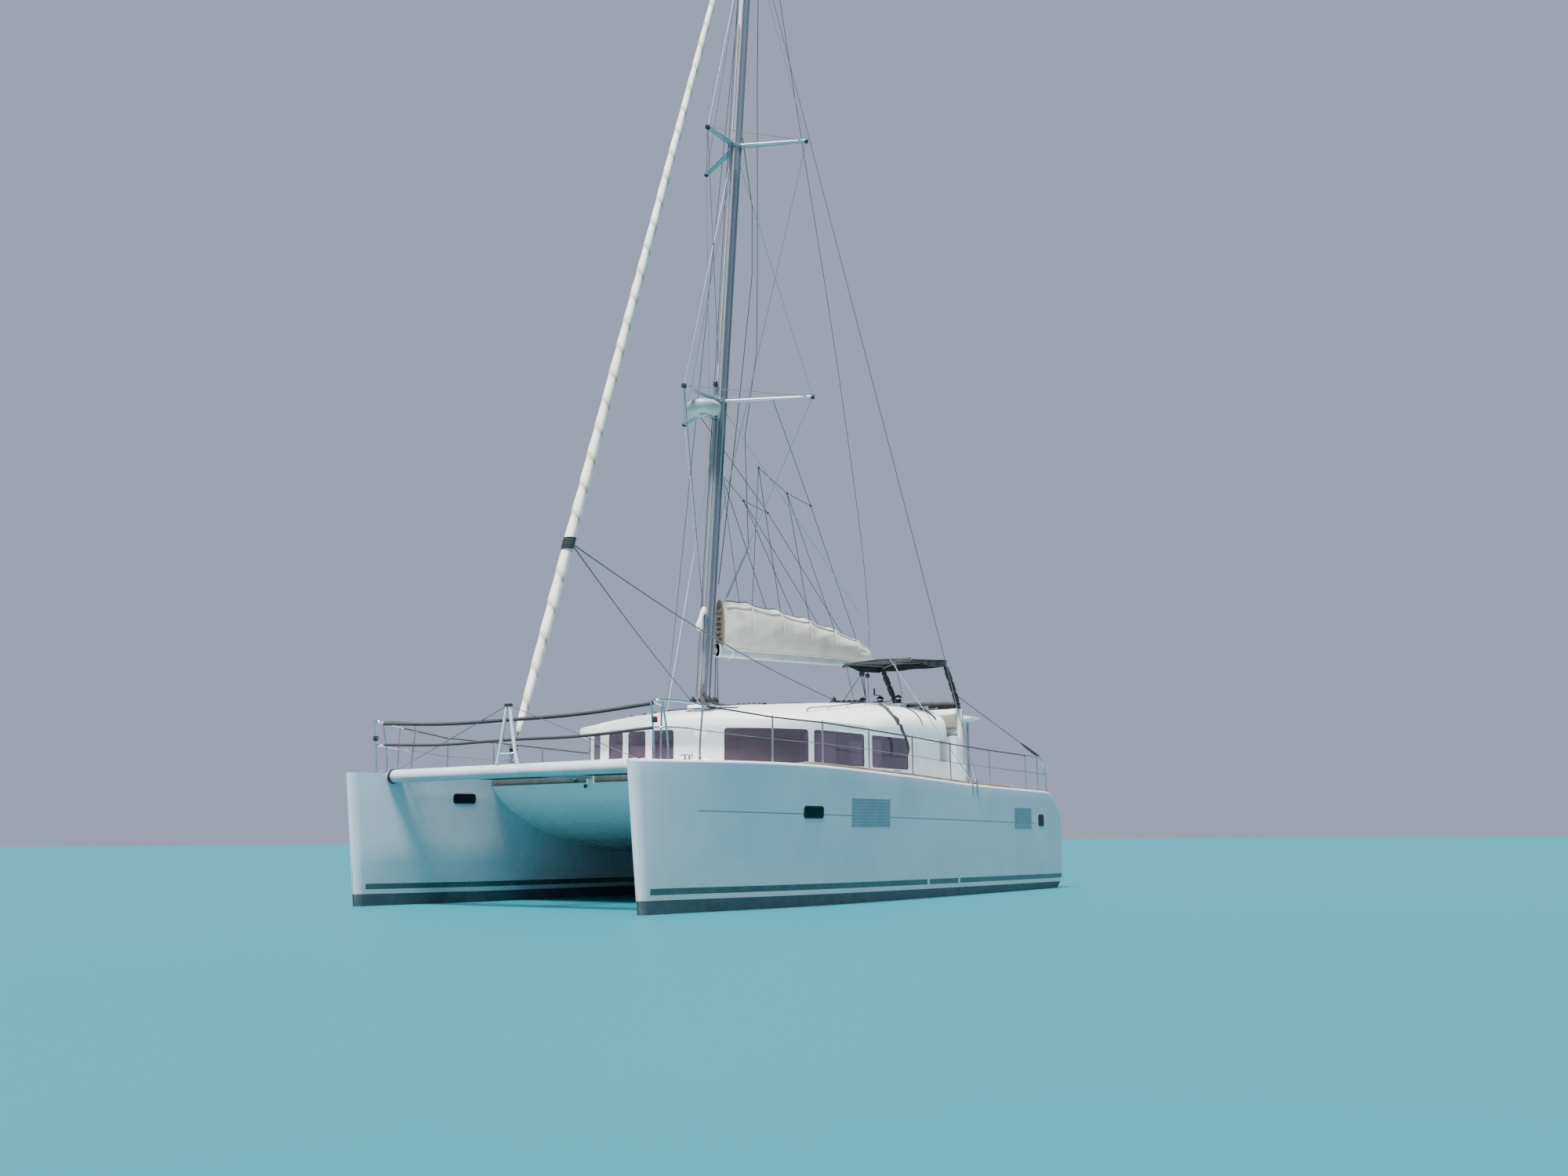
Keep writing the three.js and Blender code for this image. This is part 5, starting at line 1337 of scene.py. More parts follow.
def buildBag():
    steps, around = 120, 22
    rings = []
    for k in range(steps + 1):
        x = -4.7 + 5.06 * k / steps
        ring = [bagSide(x, j / around, 1) for j in range(around + 1)]
        rings.append(ring + [bagSide(x, j / around, -1) for j in range(around - 1, -1, -1)])
    bag = loft(rings)
    bag = subdivide(bag, 1)
    finish(bag, "stowed_sail_bag", "boom", "bagCanvas", ["sail_bag"], 60)
    rolls, webs = [], []
    for side in (1, -1):    # the rolled upper hem, the foot hem and the tabs
        hem = [bagSide(-4.6 + 4.85 * k / 90, 0.86, side, 0.012) for k in range(91)]
        rolls.append(tube(hem, 0.018, 8, False))
        foot = [bagSide(-4.6 + 4.85 * k / 60, 0.03, side, 0.008) for k in range(61)]
        rolls.append(tube(foot, 0.01, 8, False))
        for x in boom["tabs"]:
            band = [bagSide(x, 0.45 + 0.4 * k / 6, side, 0.014) for k in range(7)]
            rows = [[(p[0] - 0.02, p[1], p[2]), (p[0] + 0.02, p[1], p[2]), (p[0] + 0.02, p[1] + side * 0.006, p[2]),
                     (p[0] - 0.02, p[1] + side * 0.006, p[2])] for p in band]
            webs.append(loft(rows))
    finish(joinPieces(rolls), "bag_hems", "boom", "bagHem")
    finish(joinPieces(webs), "bag_tabs", "boom", "bagHem")
    folds = []
    for k in range(7):    # flaked sail seen in the open front, brown with painted shadow
        z = 4.36 + 0.095 * k
        half = 0.04 + 0.01 * math.sin(k * 2.1)
        bend = [(0.34 + 0.012 * math.sin(k * 1.7), side * half, z + 0.014 * math.sin(k + side)) for side in (-1, 1)]
        folds.append(tube([(0.2, -half, z), bend[0], (0.385, 0, z + 0.01), bend[1], (0.2, half, z)], 0.03, 10))
    # a sheet across the bag's open end, brown with painted shadow
    back = [[bagSide(x, j / 16, 1, 0.012) for j in range(17)] + [bagSide(x, j / 16, -1, 0.012) for j in range(15, -1, -1)]
            for x in (0.335, 0.362)]
    folds.append(loft(back))
    finish(joinPieces(folds), "flaked_sail", "boom", "sailFoldsPaintedShadow")
    zip_ = tube([(x, 0, bagSide(x, 1, 1)[2] + 0.004) for x in [-4.55 + 4.7 * k / 80 for k in range(81)]], 0.009, 6, False)
    finish(zip_, "bag_zip", "boom", "darkCanvas")


buildBoom()
buildBag()
print("boom and bag built")

# headsail, furling drum and shrouds
headsail = {
    "foot": (5.3, 0, 2.18), "rows": ((2.52, 0.045), (3.0, 0.072), (5.5, 0.092), (12.0, 0.078), (18.5, 0.052), (19.3, 0.025)),
    "pitch": 0.5, "lip": 0.16, "clew": 5.5,
}
sailRadius = smoothReader(headsail["rows"], 1)


def stayAt(z):
    footX, _, footZ = headsail["foot"]
    topX = mastAt(mast["stayTop"]) + 0.24
    return footX + (topX - footX) * (z - footZ) / (mast["stayTop"] - footZ)


def buildHeadsail():
    rings, steps, around = [], 420, 30
    low, high = headsail["rows"][0][0], headsail["rows"][-1][0]
    for k in range(steps + 1):
        z = low + (high - low) * k / steps
        ring = []
        for j in range(around):
            turn = (j / around + z / headsail["pitch"]) % 1
            lump = 0.004 * noise.noise((j / around * 6.28, z * 3, 2.0))
            r = sailRadius(z) * (1 - headsail["lip"] * turn) + lump
            ring.append((stayAt(z) + r * math.cos(2 * math.pi * j / around), r * math.sin(2 * math.pi * j / around), z))
        rings.append(ring)
    sail = loft(rings, mapped=True)
    for entry in sail.data.uv_layers[0].data:
        z = low + (high - low) * entry.uv[1] / steps
        entry.uv = (entry.uv[0] + z / headsail["pitch"], z)
    finish(sail, "genoa_roll", "boat", "sailRoll", ["furled_genoa"], 50)
    foil = [rod((stayAt(2.4), 0, 2.4), (stayAt(low + 0.02), 0, low + 0.02), 0.014, 16),
            rod((stayAt(high - 0.05), 0, high - 0.05), (stayAt(19.64), 0, 19.64), 0.014, 16),
            rod((stayAt(19.36), 0, 19.36), (stayAt(19.46), 0, 19.46), 0.032, 20)]
    finish(joinPieces(foil), "headstay_foil", "boat", "spar")
    z = headsail["clew"]
    wraps = [turned(((r, -0.012), (r + 0.012, -0.008), (r + 0.014, 0), (r + 0.012, 0.008), (r, 0.012)), (stayAt(h), 0, h), steps=28)
             for h, r in [(z + 0.028 * k, sailRadius(z) * 0.97) for k in range(-3, 4)]]
    finish(joinPieces(wraps), "sheet_wraps", "boat", "darkCanvas")
    profile = ((0, 0), (0.088, 0), (0.095, 0.004), (0.095, 0.01), (0.06, 0.018), (0.052, 0.03), (0.052, 0.08), (0.06, 0.092),
               (0.095, 0.1), (0.095, 0.108), (0.088, 0.112), (0.035, 0.118), (0.028, 0.135), (0.02, 0.2), (0, 0.2))
    drum = turned(profile, (stayAt(2.25), 0, 2.1997), steps=40)
    leg = rod((5.33, 0, 2.045), (stayAt(2.25), 0, 2.21), 0.018, 20)
    toggles = [box((5.29, -0.03, 2.07), (5.36, 0.03, 2.12), 0.008, 2), box((5.27, -0.022, 2.15), (5.34, 0.022, 2.19), 0.006, 2)]
    finish(joinPieces([drum, leg, *toggles]), "furling_drum", "boat", "stainless", ["furler_drum"])
    turns = [turned(((0.052, -0.005), (0.06, -0.004), (0.062, 0), (0.06, 0.004), (0.052, 0.005)), (stayAt(2.25), 0, 2.237 + 0.0095 * k), steps=24)
             for k in range(5)]
    finish(joinPieces(turns), "furling_line_turns", "boat", "darkCanvas")


shrouds = {"foot": (-2.32, 1.9), "strap": (1.7, 1.96), "head": 19.0, "wire": 0.0075, "turnbuckle": 0.014}


def buildShrouds():
    footX, footZ = shrouds["foot"]
    face = deckOuter(hull["stem"] - footX)
    foot = Vector((footX, face + 0.002, footZ))
    head = Vector((mastAt(shrouds["head"]) - 0.02, 0.06, shrouds["head"]))
    along = (head - foot).normalized()
    wires = [rod(foot + along * 0.5, head, shrouds["wire"], 8)]
    steel = [rod(foot, foot + along * 0.12, 0.012, 12), rod(foot + along * 0.12, foot + along * 0.42, shrouds["turnbuckle"], 16),
             rod(foot + along * 0.4, foot + along * 0.56, 0.0095, 12),
             box((footX - 0.025, face + 0.0003, shrouds["strap"][0]), (footX + 0.025, face + 0.012, shrouds["strap"][1]), 0.004, 2)]
    for z in (1.74, 1.8, 1.86):
        steel.append(turned(((0, 0), (0.011, 0), (0.011, 0.004), (0.008, 0.008), (0, 0.009)), (footX, face + 0.011, z), (0, 1, 0), 12))
    finishPair(joinPieces(wires), "cap_shroud_wire", "wire", ["cap_shroud"])
    lowFoot = foot + Vector((0.16, 0.004, -0.02))
    lowHead = Vector((mastAt(mast["lowerStay"]) - 0.03, 0.07, mast["lowerStay"]))
    down = (lowHead - lowFoot).normalized()
    more = [rod(lowFoot, lowFoot + down * 0.4, 0.0125, 12), rod(lowFoot + down * 0.38, lowHead, 0.0065, 8),
            box((footX + 0.14, face + 0.0003, 1.72), (footX + 0.18, face + 0.01, 1.93), 0.004, 2)]
    (_, lowZ, lowSide, lowFore), (_, highZ, highSide, highFore) = mast["spreaders"]
    sweep = math.radians(mast["sweep"])

    def tip(z, side, turn):
        return (mastAt(z) + (side - 0.03) * math.cos(turn), (side - 0.03) * math.sin(turn), z + 0.02)
    for ends in (((mastAt(4.6) - 0.03, 0.085, 4.6), tip(lowZ, lowSide, sweep)), (tip(lowZ, lowSide, sweep), (mastAt(13.6) - 0.02, 0.08, 13.6)),
                 ((mastAt(6.3) - 0.02, 0.08, 6.3), tip(highZ, highSide, sweep)), (tip(highZ, highSide, sweep), (mastAt(18.6), 0.07, 18.6))):
        more.append(rod(*ends, 0.006, 6))
    finishPair(joinPieces(steel + more), "shroud_fittings", "stainless")
    ahead = []
    for ends in (((mastAt(4.7) + 0.13, 0, 4.7), tip(lowZ, lowFore, 0)), (tip(lowZ, lowFore, 0), (mastAt(13.6) + 0.13, 0, 13.6)),
                 ((mastAt(9.4) + 0.13, 0, 9.4), tip(highZ, highFore, 0)), (tip(highZ, highFore, 0), (mastAt(18.3) + 0.1, 0, 18.3))):
        ahead.append(rod(*ends, 0.006, 6))
    for z, side, fore in ((lowZ, lowSide, lowFore), (highZ, highSide, highFore)):
        ahead += [rod(tip(z, fore, 0), tip(z, side, turn), 0.006, 6) for turn in (sweep, -sweep)]
    finish(joinPieces(ahead), "fore_diamonds", "boat", "wire")


buildHeadsail()
buildShrouds()
print("headsail and shrouds built")


# front beam, striker, nets and rails
bow = {
    "beamX": 5.35, "beamZ": 1.95, "beamR": 0.1, "deckFront": 3.62, "strikerTop": (5.4, 2.9), "strikerFoot": 0.21,
    "mesh": 0.032, "cord": 0.0026, "netZ": 1.9375, "tube": 0.014,
}


def buildBeam():
    x, z = bow["beamX"], bow["beamZ"]
    half = deckInner(hull["stem"] - x) - 0.006 + 0.03
    beam = rod((x, -half, z), (x, half, z), bow["beamR"], 48)
    spine = box((bow["deckFront"] + 0.0003, -0.06, z - 0.06), (x, 0.06, z + 0.04), 0.012, 3)
    finish(joinPieces([beam, spine]), "crossbeam", "boat", "paleSpar", ["front_crossbeam"])
    collars = []
    for side in (1, -1):
        y = side * (half - 0.06)
        collars.append(turned(((0.1, -0.03), (0.112, -0.026), (0.112, 0.026), (0.1, 0.03)), (x, y, z), (0, 1, 0), 40))
    finish(joinPieces(collars), "beam_collars", "boat", "blackPlastic")
    topX, topZ = bow["strikerTop"]
    foot = bow["strikerFoot"]
    legs = [tube([(x + 0.045, foot * s, z + 0.075), (x + 0.05, foot * s * 0.75, z + 0.28), (topX, 0.028 * s, topZ - 0.01)], 0.0272, 20)
            for s in (1, -1)]
    bar = rod((x + 0.049, -0.17, 2.2), (x + 0.049, 0.17, 2.2), 0.012, 16)
    finish(joinPieces(legs + [bar]), "striker_legs", "boat", "paleSpar", ["striker_strut"])
    cap = box((topX - 0.034, -0.062, topZ - 0.02), (topX + 0.034, 0.062, topZ + 0.025), 0.014, 3)
    finish(cap, "striker_cap", "boat", "blackPlastic")
    stays = []
    for s in (1, -1):
        stays.append(rod((topX, 0.04 * s, topZ - 0.01), (x, s * (half - 0.16), z + 0.1), 0.006, 8))
    finish(joinPieces(stays), "striker_stays", "boat", "wire")


def buildNets():
    # cords every 32 mm, drawn 5 mm thick, in an edge rope laced to the beam, deck and hull
    x0, x1 = bow["deckFront"] + 0.05, bow["beamX"] - bow["beamR"] - 0.06
    z, r = bow["netZ"], bow["cord"]

    def reach(x):
        return innerFace(x, z) - 0.06
    cords = []
    count = int((x1 - x0) / bow["mesh"])
    for k in range(1, count):
        x = x0 + (x1 - x0) * k / count
        cords.append(rod((x, 0.11, z + r), (x, reach(x), z + r), r, 4))
    y = 0.11 + bow["mesh"]
    while y < reach(x1) - 0.02:
        start = x0
        while reach(start) < y and start < x1:
            start += 0.02
        cords.append(rod((start, y, z - r), (x1, y, z - r), r, 4))
        y += bow["mesh"]
    edges = [(x0, 0.11, z), (x0, reach(x0), z)] + [(x0 + (x1 - x0) * k / 8, reach(x0 + (x1 - x0) * k / 8), z) for k in range(1, 9)]
    edges += [(x1, 0.11, z)]
    cords.append(tube(edges, 0.007, 8, False, True))
    for k in range(38):    # zigzag lacing
        t = k / 37
        y = 0.13 + (reach(x1) - 0.16) * t
        cords.append(rod((x1, y, z), (x1 + 0.07, y + 0.02, z + 0.004), 0.0025, 4))
        if y < reach(x0) - 0.03:
            cords.append(rod((x0, y, z), (x0 - 0.05, y + 0.02, z), 0.0025, 4))
        x = x0 + (x1 - x0) * t
        cords.append(rod((x, reach(x), z), (x + 0.01, reach(x) + 0.058, z), 0.0025, 4))
        cords.append(rod((x, 0.11, z), (x + 0.01, 0.058, z), 0.0025, 4))
    for near, far in ((x0, x0 + 0.08), (x1 - 0.08, x1)):    # webbing sewn along the net's ends
        edge = reach(far if near == x0 else near) - 0.01
        cords.append(box((near, 0.115, z - 0.004), (far, edge, z + 0.004), 0.003, 1))
    finishPair(joinPieces(cords), "bow_net", "netCord", ["trampoline"])
    # lacing strip, dark with painted shadow of the net and beam, lamp and vent on the foredeck's front face
    front = bow["deckFront"]
    strip = box((front + 0.0003, 0.075, 1.835), (front + 0.008, 2.18, 1.985), 0.003, 2)
    finishPair(strip, "net_lacing_strip_shadowed", "lacingStripPaintedShadow")
    lamp = turned(((0, 0), (0.035, 0), (0.035, 0.02), (0.028, 0.04), (0, 0.046)), (front + 0.008, -0.3, 1.92), (1, 0, 0), 24)
    finish(lamp, "foredeck_lamp", "boat", "whitePlastic")
    vent = turned(((0, 0), (0.03, 0), (0.03, 0.012), (0.022, 0.012), (0.022, 0.004), (0, 0.004)), (front + 0.002, -0.1, 1.78), (1, 0, 0), 24)
    finish(vent, "foredeck_vent", "boat", "blackPlastic")


rails = {
    "height": 0.64, "pulpitTop": 2.8, "inset": 0.1, "wire": 0.0055, "cover": 0.012, "post": 0.0135,
    "stanchions": (3.5, 2.35, 1.1, -0.25, -1.55, -3.05), "tube": 0.014,
}


def railPoint(x, up):
    return (x, deckOuter(hull["stem"] - x) - rails["inset"], sheer(x) + up)


def footPlate(x, y, radius):
    return turned(((0, 0), (radius + 0.022, 0), (radius + 0.022, 0.005), (radius + 0.006, 0.012), (radius + 0.006, 0.05),
                   (radius, 0.055), (0, 0.055)), (x, y, sheer(x)), steps=20)


def buildPulpit():
    top, r = rails["pulpitTop"], rails["tube"]
    parts = []
    for x, y, headX, headY in ((4.8, 3.06, 4.76, 3.08), (5.33, 2.935, 5.42, 2.91), (5.33, 2.69, 5.42, 2.715), (4.98, 2.52, 4.94, 2.5)):
        parts += [tube([(x, y, sheer(x)), (x, y, sheer(x) + 0.2), (headX, headY, top - 0.02)], r, 12), footPlate(x, y, r)]
    parts.append(tube([(4.7, 3.09, top - 0.04), (5.1, 3.01, top), (5.4, 2.92, top), (5.48, 2.815, top), (5.4, 2.71, top),
                       (5.15, 2.58, top), (4.9, 2.49, top - 0.03)], r, 16))
    parts.append(tube([(4.76, 3.075, 2.42), (5.1, 2.995, 2.44), (5.385, 2.915, 2.44), (5.43, 2.815, 2.44), (5.385, 2.705, 2.44)],
                      r - 0.003, 12))
    finishPair(joinPieces(parts), "pulpit_tubes", "stainless", ["bow_pulpit"])
    shell = [box((5.43, 2.785, 2.5), (5.5, 2.845, 2.58), 0.012, 2)]
    finishPair(joinPieces(shell), "nav_light_body", "blackPlastic")
    for side, material, word in ((1, "redLens", "port"), (-1, "greenLens", "starboard")):
        lens = box((5.445, side * 2.815 - 0.034, 2.515), (5.485, side * 2.815 + 0.034, 2.565), 0.01, 2)
        finish(lens, f"nav_lens_{word}", "boat", material)


def buildGuardrails():
    r, high = rails["tube"], rails["height"]
    steel, wires, covers = [], [], []
    for x in rails["stanchions"]:
        px, py, pz = railPoint(x, 0)
        steel += [rod((px, py, pz), (px, py, pz + high + 0.012), rails["post"], 16), footPlate(px, py, rails["post"])]
        steel.append(turned(((0.012, 0), (0.0135, 0.002), (0.012, 0.012), (0.006, 0.016), (0, 0.017)), (px, py, pz + high + 0.01), steps=16))
    steel.append(tube([railPoint(-4.6, high), railPoint(-5.0, high), railPoint(-5.3, high - 0.01), (-5.48, 3.44, 2.25),
                       (-5.52, 3.44, 1.65)], r, 16))
    steel.append(tube([railPoint(-4.6, high * 0.52), railPoint(-5.0, high * 0.52), (-5.47, 3.44, 2.14)], r - 0.003, 12))
    for x in (-4.6, -5.15):
        px, py, pz = railPoint(x, 0)
        steel += [rod((px, py, pz), (px, py, pz + high), r, 16), footPlate(px, py, r)]
    for row, up in enumerate((high, high * 0.52)):
        spots = [((4.68, 3.092, 2.757), (4.732, 3.082, 2.419))[row]] + [railPoint(x, up) for x in (*rails["stanchions"], -4.6)]
        if row == 0:
            covers.append(tube(spots, rails["cover"], 8, False))
        else:
            wires.append(tube(spots, rails["wire"], 8, False))
        for a, b in ((0, 1), (-1, -2)):
            start, toward = Vector(spots[a]), Vector(spots[b])
            way = (toward - start).normalized()
            steel.append(rod(start + way * 0.03, start + way * 0.2, 0.009, 12))
    finishPair(joinPieces(steel), "stanchions", "stainless", ["guardrail"])
    finishPair(joinPieces(wires), "lifelines", "wire")
    finishPair(joinPieces(covers), "lifeline_covers", "darkCanvas")
    # the two lines across the bows, in dark sleeves, pass the striker's legs
    x = bow["strikerTop"][0] - 0.03
    covers = []
    for end, low, high, radius in ((2.71, 2.69, 2.77, 0.027), (2.7, 2.4, 2.44, 0.022)):
        line = [(5.385, -end, high), (x, -1.4, (low + high) / 2 - 0.03), (x, 0, low), (x, 1.4, (low + high) / 2 - 0.03), (5.385, end, high)]
        covers.append(tube(line, radius, 12))
    finish(joinPieces(covers), "bow_line_covers", "boat", "darkCanvas")


buildBeam()
buildNets()
buildPulpit()
buildGuardrails()
print("bow gear and rails built")


# padded cushions, swollen by cloth simulation
cushionSet = {"voxel": 0.017, "pressure": 4.0, "cap": 0.016, "frames": 20, "shrink": 0.008}


def swell(piece, cap):    # air pressure inside the cover; no point moves further than the cap
    pick(piece)
    remesh = piece.modifiers.new("evenMesh", "REMESH")
    remesh.mode = "VOXEL"
    remesh.voxel_size = cushionSet["voxel"]
    applyModifiers(piece)
    before = [v.co.copy() for v in piece.data.vertices]
    cloth = piece.modifiers.new("cover", "CLOTH")
    cloth.settings.quality = 5
    cloth.settings.mass = 0.3
    cloth.settings.tension_stiffness = 18
    cloth.settings.compression_stiffness = 12
    cloth.settings.bending_stiffness = 0.6
    cloth.settings.use_pressure = True
    cloth.settings.uniform_pressure_force = cushionSet["pressure"]
    cloth.settings.effector_weights.gravity = 0
    scene = bpy.context.scene
    for step in range(1, cushionSet["frames"] + 1):
        scene.frame_set(step)
    swollen = piece.evaluated_get(bpy.context.evaluated_depsgraph_get())
    after = [v.co.copy() for v in swollen.data.vertices]
    piece.modifiers.remove(cloth)
    scene.frame_set(1)
    for vertex, old, new in zip(piece.data.vertices, before, after):
        move = new - old
        if move.length > cap:
            move *= cap / move.length
        vertex.co = old + move
    return subdivide(piece, 1)


def cushion(low, high, piping=True, channels=0):
    # a boxed cushion: swollen cover, flat where it rests, piping on its seams, sewn channels across
    (x0, y0, z0), (x1, y1, z1) = low, high
    pad = cushionSet["shrink"]
    piece = box((x0 + pad, y0 + pad, z0 + 0.002), (x1 - pad, y1 - pad, z1 - pad), 0.022, 3)
    pick(piece)
    bpy.ops.object.mode_set(mode="EDIT")
    bpy.ops.mesh.select_all(action="SELECT")
    bpy.ops.mesh.subdivide(number_cuts=3)
    bpy.ops.object.mode_set(mode="OBJECT")
    swell(piece, cushionSet["cap"])
    wide = y1 - y0
    for vertex in piece.data.vertices:
        p = vertex.co
        if channels and p.z > (z0 + z1) / 2:
            at = (p.y - y0) / wide * channels
            seam = abs(at - round(at)) * wide / channels
            if 0 < round(at) < channels:
                p.z -= 0.012 * math.exp(-(seam / 0.012) ** 2)
        p.z += 0.003 * noise.noise(p * 9) * max(0, min(1, (p.z - z0) / (z1 - z0)))
        p.x, p.y, p.z = min(max(p.x, x0), x1), min(max(p.y, y0), y1), min(max(p.z, z0), z1 + 0.006)
    parts = []
    if piping:
        for z in (z0 + 0.012, z1 - 0.014):
            r = 0.03
            ring = []
            for cx, cy, start in ((x1 - r, y1 - r, 0), (x0 + r, y1 - r, 90), (x0 + r, y0 + r, 180), (x1 - r, y0 + r, 270)):
                for k in range(5):
                    a = math.radians(start + 22.5 * k)
                    ring.append((cx + (r - 0.004) * math.cos(a), cy + (r - 0.004) * math.sin(a), z))
            parts.append(tube(ring, 0.0045, 8, False, True))
    return piece, parts


def buildCushions():
    pads, pipes = [], []
    low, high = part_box("aft_bench_cushion")
    first, lines = cushion((low[0], -0.995, low[2]), (high[0], -0.005, high[2]), channels=0)
    for k in range(4):
        shift = Matrix.Translation((0, -1.0 + k, 0))
        for part in (first, *lines):
            twin = copyOf(part)
            twin.data.transform(shift)
            (pads if part is first else pipes).append(twin)
    for part in (first, *lines):
        bpy.data.objects.remove(part)
    finish(joinPieces(pads), "aft_bench_pads", "boat", "cushionVinyl", ["aft_bench_cushion"], 60)
    for node, name, channels in (("side_bench_cushion", "side_bench_pad", 0), ("helm_cushion", "helm_pad", 4)):
        pad, lines = cushion(*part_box(node), channels=channels)
        finish(pad, name, "boat", "cushionVinyl", [node], 60)
        pipes += lines
    back, lines = cushion((-4.255, 1.2, 2.99), (-4.205, 2.26, 3.34), False)
    finish(back, "helm_back_pad", "boat", "cushionVinyl", [], 60)
    finish(joinPieces(pipes), "cushion_piping", "boat", "pipingVinyl")


buildCushions()
print("cushions built")

# helm station
helm = {
    "y": 1.65, "tilt": 0.26, "top": (-3.42, 1.65, 3.39), "wheelDown": 0.32, "hub": 0.06, "rim": 0.34,
    "foot": (-4.3, 3.4143), "aft": (-3.7, 4.295), "fore": (-2.4, 4.225), "sides": (0.85, 2.29),
    "dials": ((1.38, 0.11), (1.53, 0.11), (1.68, 0.11)),
    "plotter": ((1.8, 2.02), (0.05, 0.2)),
}
helmAxis = Vector((-math.cos(helm["tilt"]), 0, math.sin(helm["tilt"])))
helmDown = Vector((-helmAxis.z, 0, helmAxis.x))


def consolePlace(y, down, depth):    # the sloping face of the helm console
    return Vector((helm["top"][0], y, helm["top"][2])) + helmDown * down + helmAxis * depth


def buildHelm():
    dress("helm_platform", "helm_console", "gelcoat", 0.018, 3)
    dress("helm_seat", "helm_bench", "gelcoat", 0.022, 3)
    blocks, glass = [], []
    for y, down in helm["dials"]:
        blocks.append(panel(consolePlace, (y - 0.058, y + 0.058), (down - 0.058, down + 0.058), 0.02, (-0.004, 0.014), (6, 6)))
        glass.append(panel(consolePlace, (y - 0.045, y + 0.045), (down - 0.045, down + 0.045), 0.012, (0.012, 0.0155), (6, 6)))
    (a, b), (low, high) = helm["plotter"]
    blocks.append(panel(consolePlace, (a, b), (low, high), 0.02, (-0.004, 0.02), (6, 6)))
    glass.append(panel(consolePlace, (a + 0.015, b - 0.015), (low + 0.015, high - 0.025), 0.01, (0.018, 0.0215), (6, 6)))
    blocks = [bevelEdges(part, 0.004, 2, 50) for part in blocks]
    finish(joinPieces(blocks), "helm_instruments", "boat", "blackPlastic")
    finish(joinPieces(glass), "helm_displays", "boat", "hatchGlass")
    base = consolePlace(2.02, 0.3, 0)
    lever = [turned(((0, 0), (0.045, 0), (0.045, 0.01), (0.03, 0.03), (0, 0.034)), base, helmAxis, 24),
             rod(base + helmAxis * 0.03, base + helmAxis * 0.13 - helmDown * 0.03, 0.007, 12)]
    finish(joinPieces(lever), "throttle_lever", "boat", "stainless")
    knob = turned(((0, -0.02), (0.014, -0.016), (0.018, 0), (0.014, 0.016), (0, 0.02)), base + helmAxis * 0.14 - helmDown * 0.033, helmAxis, 16)
    finish(knob, "throttle_knob", "boat", "blackPlastic")
    # compass on the console's top
    compass = turned(((0, 0), (0.06, 0), (0.062, 0.02), (0.05, 0.04), (0.03, 0.055), (0, 0.06)), (-3.375, 1.65, 3.39), steps=32)
    finish(compass, "helm_compass", "boat", "blackPlastic")
    centre = consolePlace(helm["y"], helm["wheelDown"], helm["hub"] + 0.0003)
    side = Vector((0, 1, 0))
    bpy.ops.mesh.primitive_torus_add(major_radius=helm["rim"], minor_radius=0.016, major_segments=72, minor_segments=16)
    rim = bpy.context.object
    rim.data.transform(helmAxis.to_track_quat("Z", "Y").to_matrix().to_4x4())
    rim.data.transform(Matrix.Translation(centre))
    finish(rim, "wheel_rim", "steering_wheel", "blackPlastic", ["steering_wheel"])
    parts = [turned(((0, -0.06), (0.045, -0.06), (0.045, -0.02), (0.055, -0.005), (0.055, 0.006), (0.04, 0.016), (0, 0.02)), centre,
                    helmAxis, 32)]
    for k in range(5):
        a = 2 * math.pi * k / 5
        way = side * math.cos(a) + helmDown * math.sin(a)
        parts.append(tube([centre + way * 0.04 - helmAxis * 0.012, centre + way * 0.18 - helmAxis * 0.008, centre + way * 0.333], 0.009, 12))
    finish(joinPieces(parts), "wheel_spokes", "steering_wheel", "stainless")


def hoopPoints():
    footX, footZ = helm["foot"]
    aftX, aftZ = helm["aft"]
    top, crest = aftZ - 0.03, aftZ - 0.05
    a, b = helm["sides"][0] + 0.03, helm["sides"][1] - 0.02

    def leg(t, y):
        return (footX + (aftX - footX) * t, y, footZ + (top - footZ) * t)
    return [leg(0, 0.93), leg(0.5, 0.91), leg(0.9, a + 0.02), (aftX, a + 0.11, crest), (aftX, helm["y"], top),
            (aftX, b - 0.11, crest), leg(0.9, b), leg(0.5, b), leg(0, b - 0.02)]


def buildHoop():
    footX, footZ = helm["foot"]
    foreX, foreZ = helm["fore"]
    points = hoopPoints()
    a, b = helm["sides"][0] + 0.03, helm["sides"][1] - 0.02
    parts = [tube(points, 0.014, 16), rod((footX, 0.915, footZ), (footX, 2.285, footZ), 0.013, 16)]
    for y0, y1 in ((a + 0.11, a + 0.07), (b - 0.11, b - 0.1)):
        parts.append(rod((points[3][0] - 0.005, y0, points[3][2]), (foreX - 0.006, y1, foreZ - 0.034), 0.012, 16))
    parts.append(rod((foreX, a - 0.03, foreZ - 0.03), (foreX, b + 0.02, foreZ - 0.03), 0.013, 16))
    for y, low in ((a + 0.01, 3.388), (b - 0.32, 3.35)):
        parts.append(rod((foreX + 0.002, y, foreZ - 0.03), (-2.7, y, low), 0.011, 16))
        parts.append(turned(((0, 0), (0.035, 0), (0.035, 0.005), (0.018, 0.014), (0, 0.014)), (-2.7, y, roofTop(-2.7, y)), steps=20))
    finish(joinPieces(parts), "helm_hoop", "boat", "wire", ["helm_frame"])


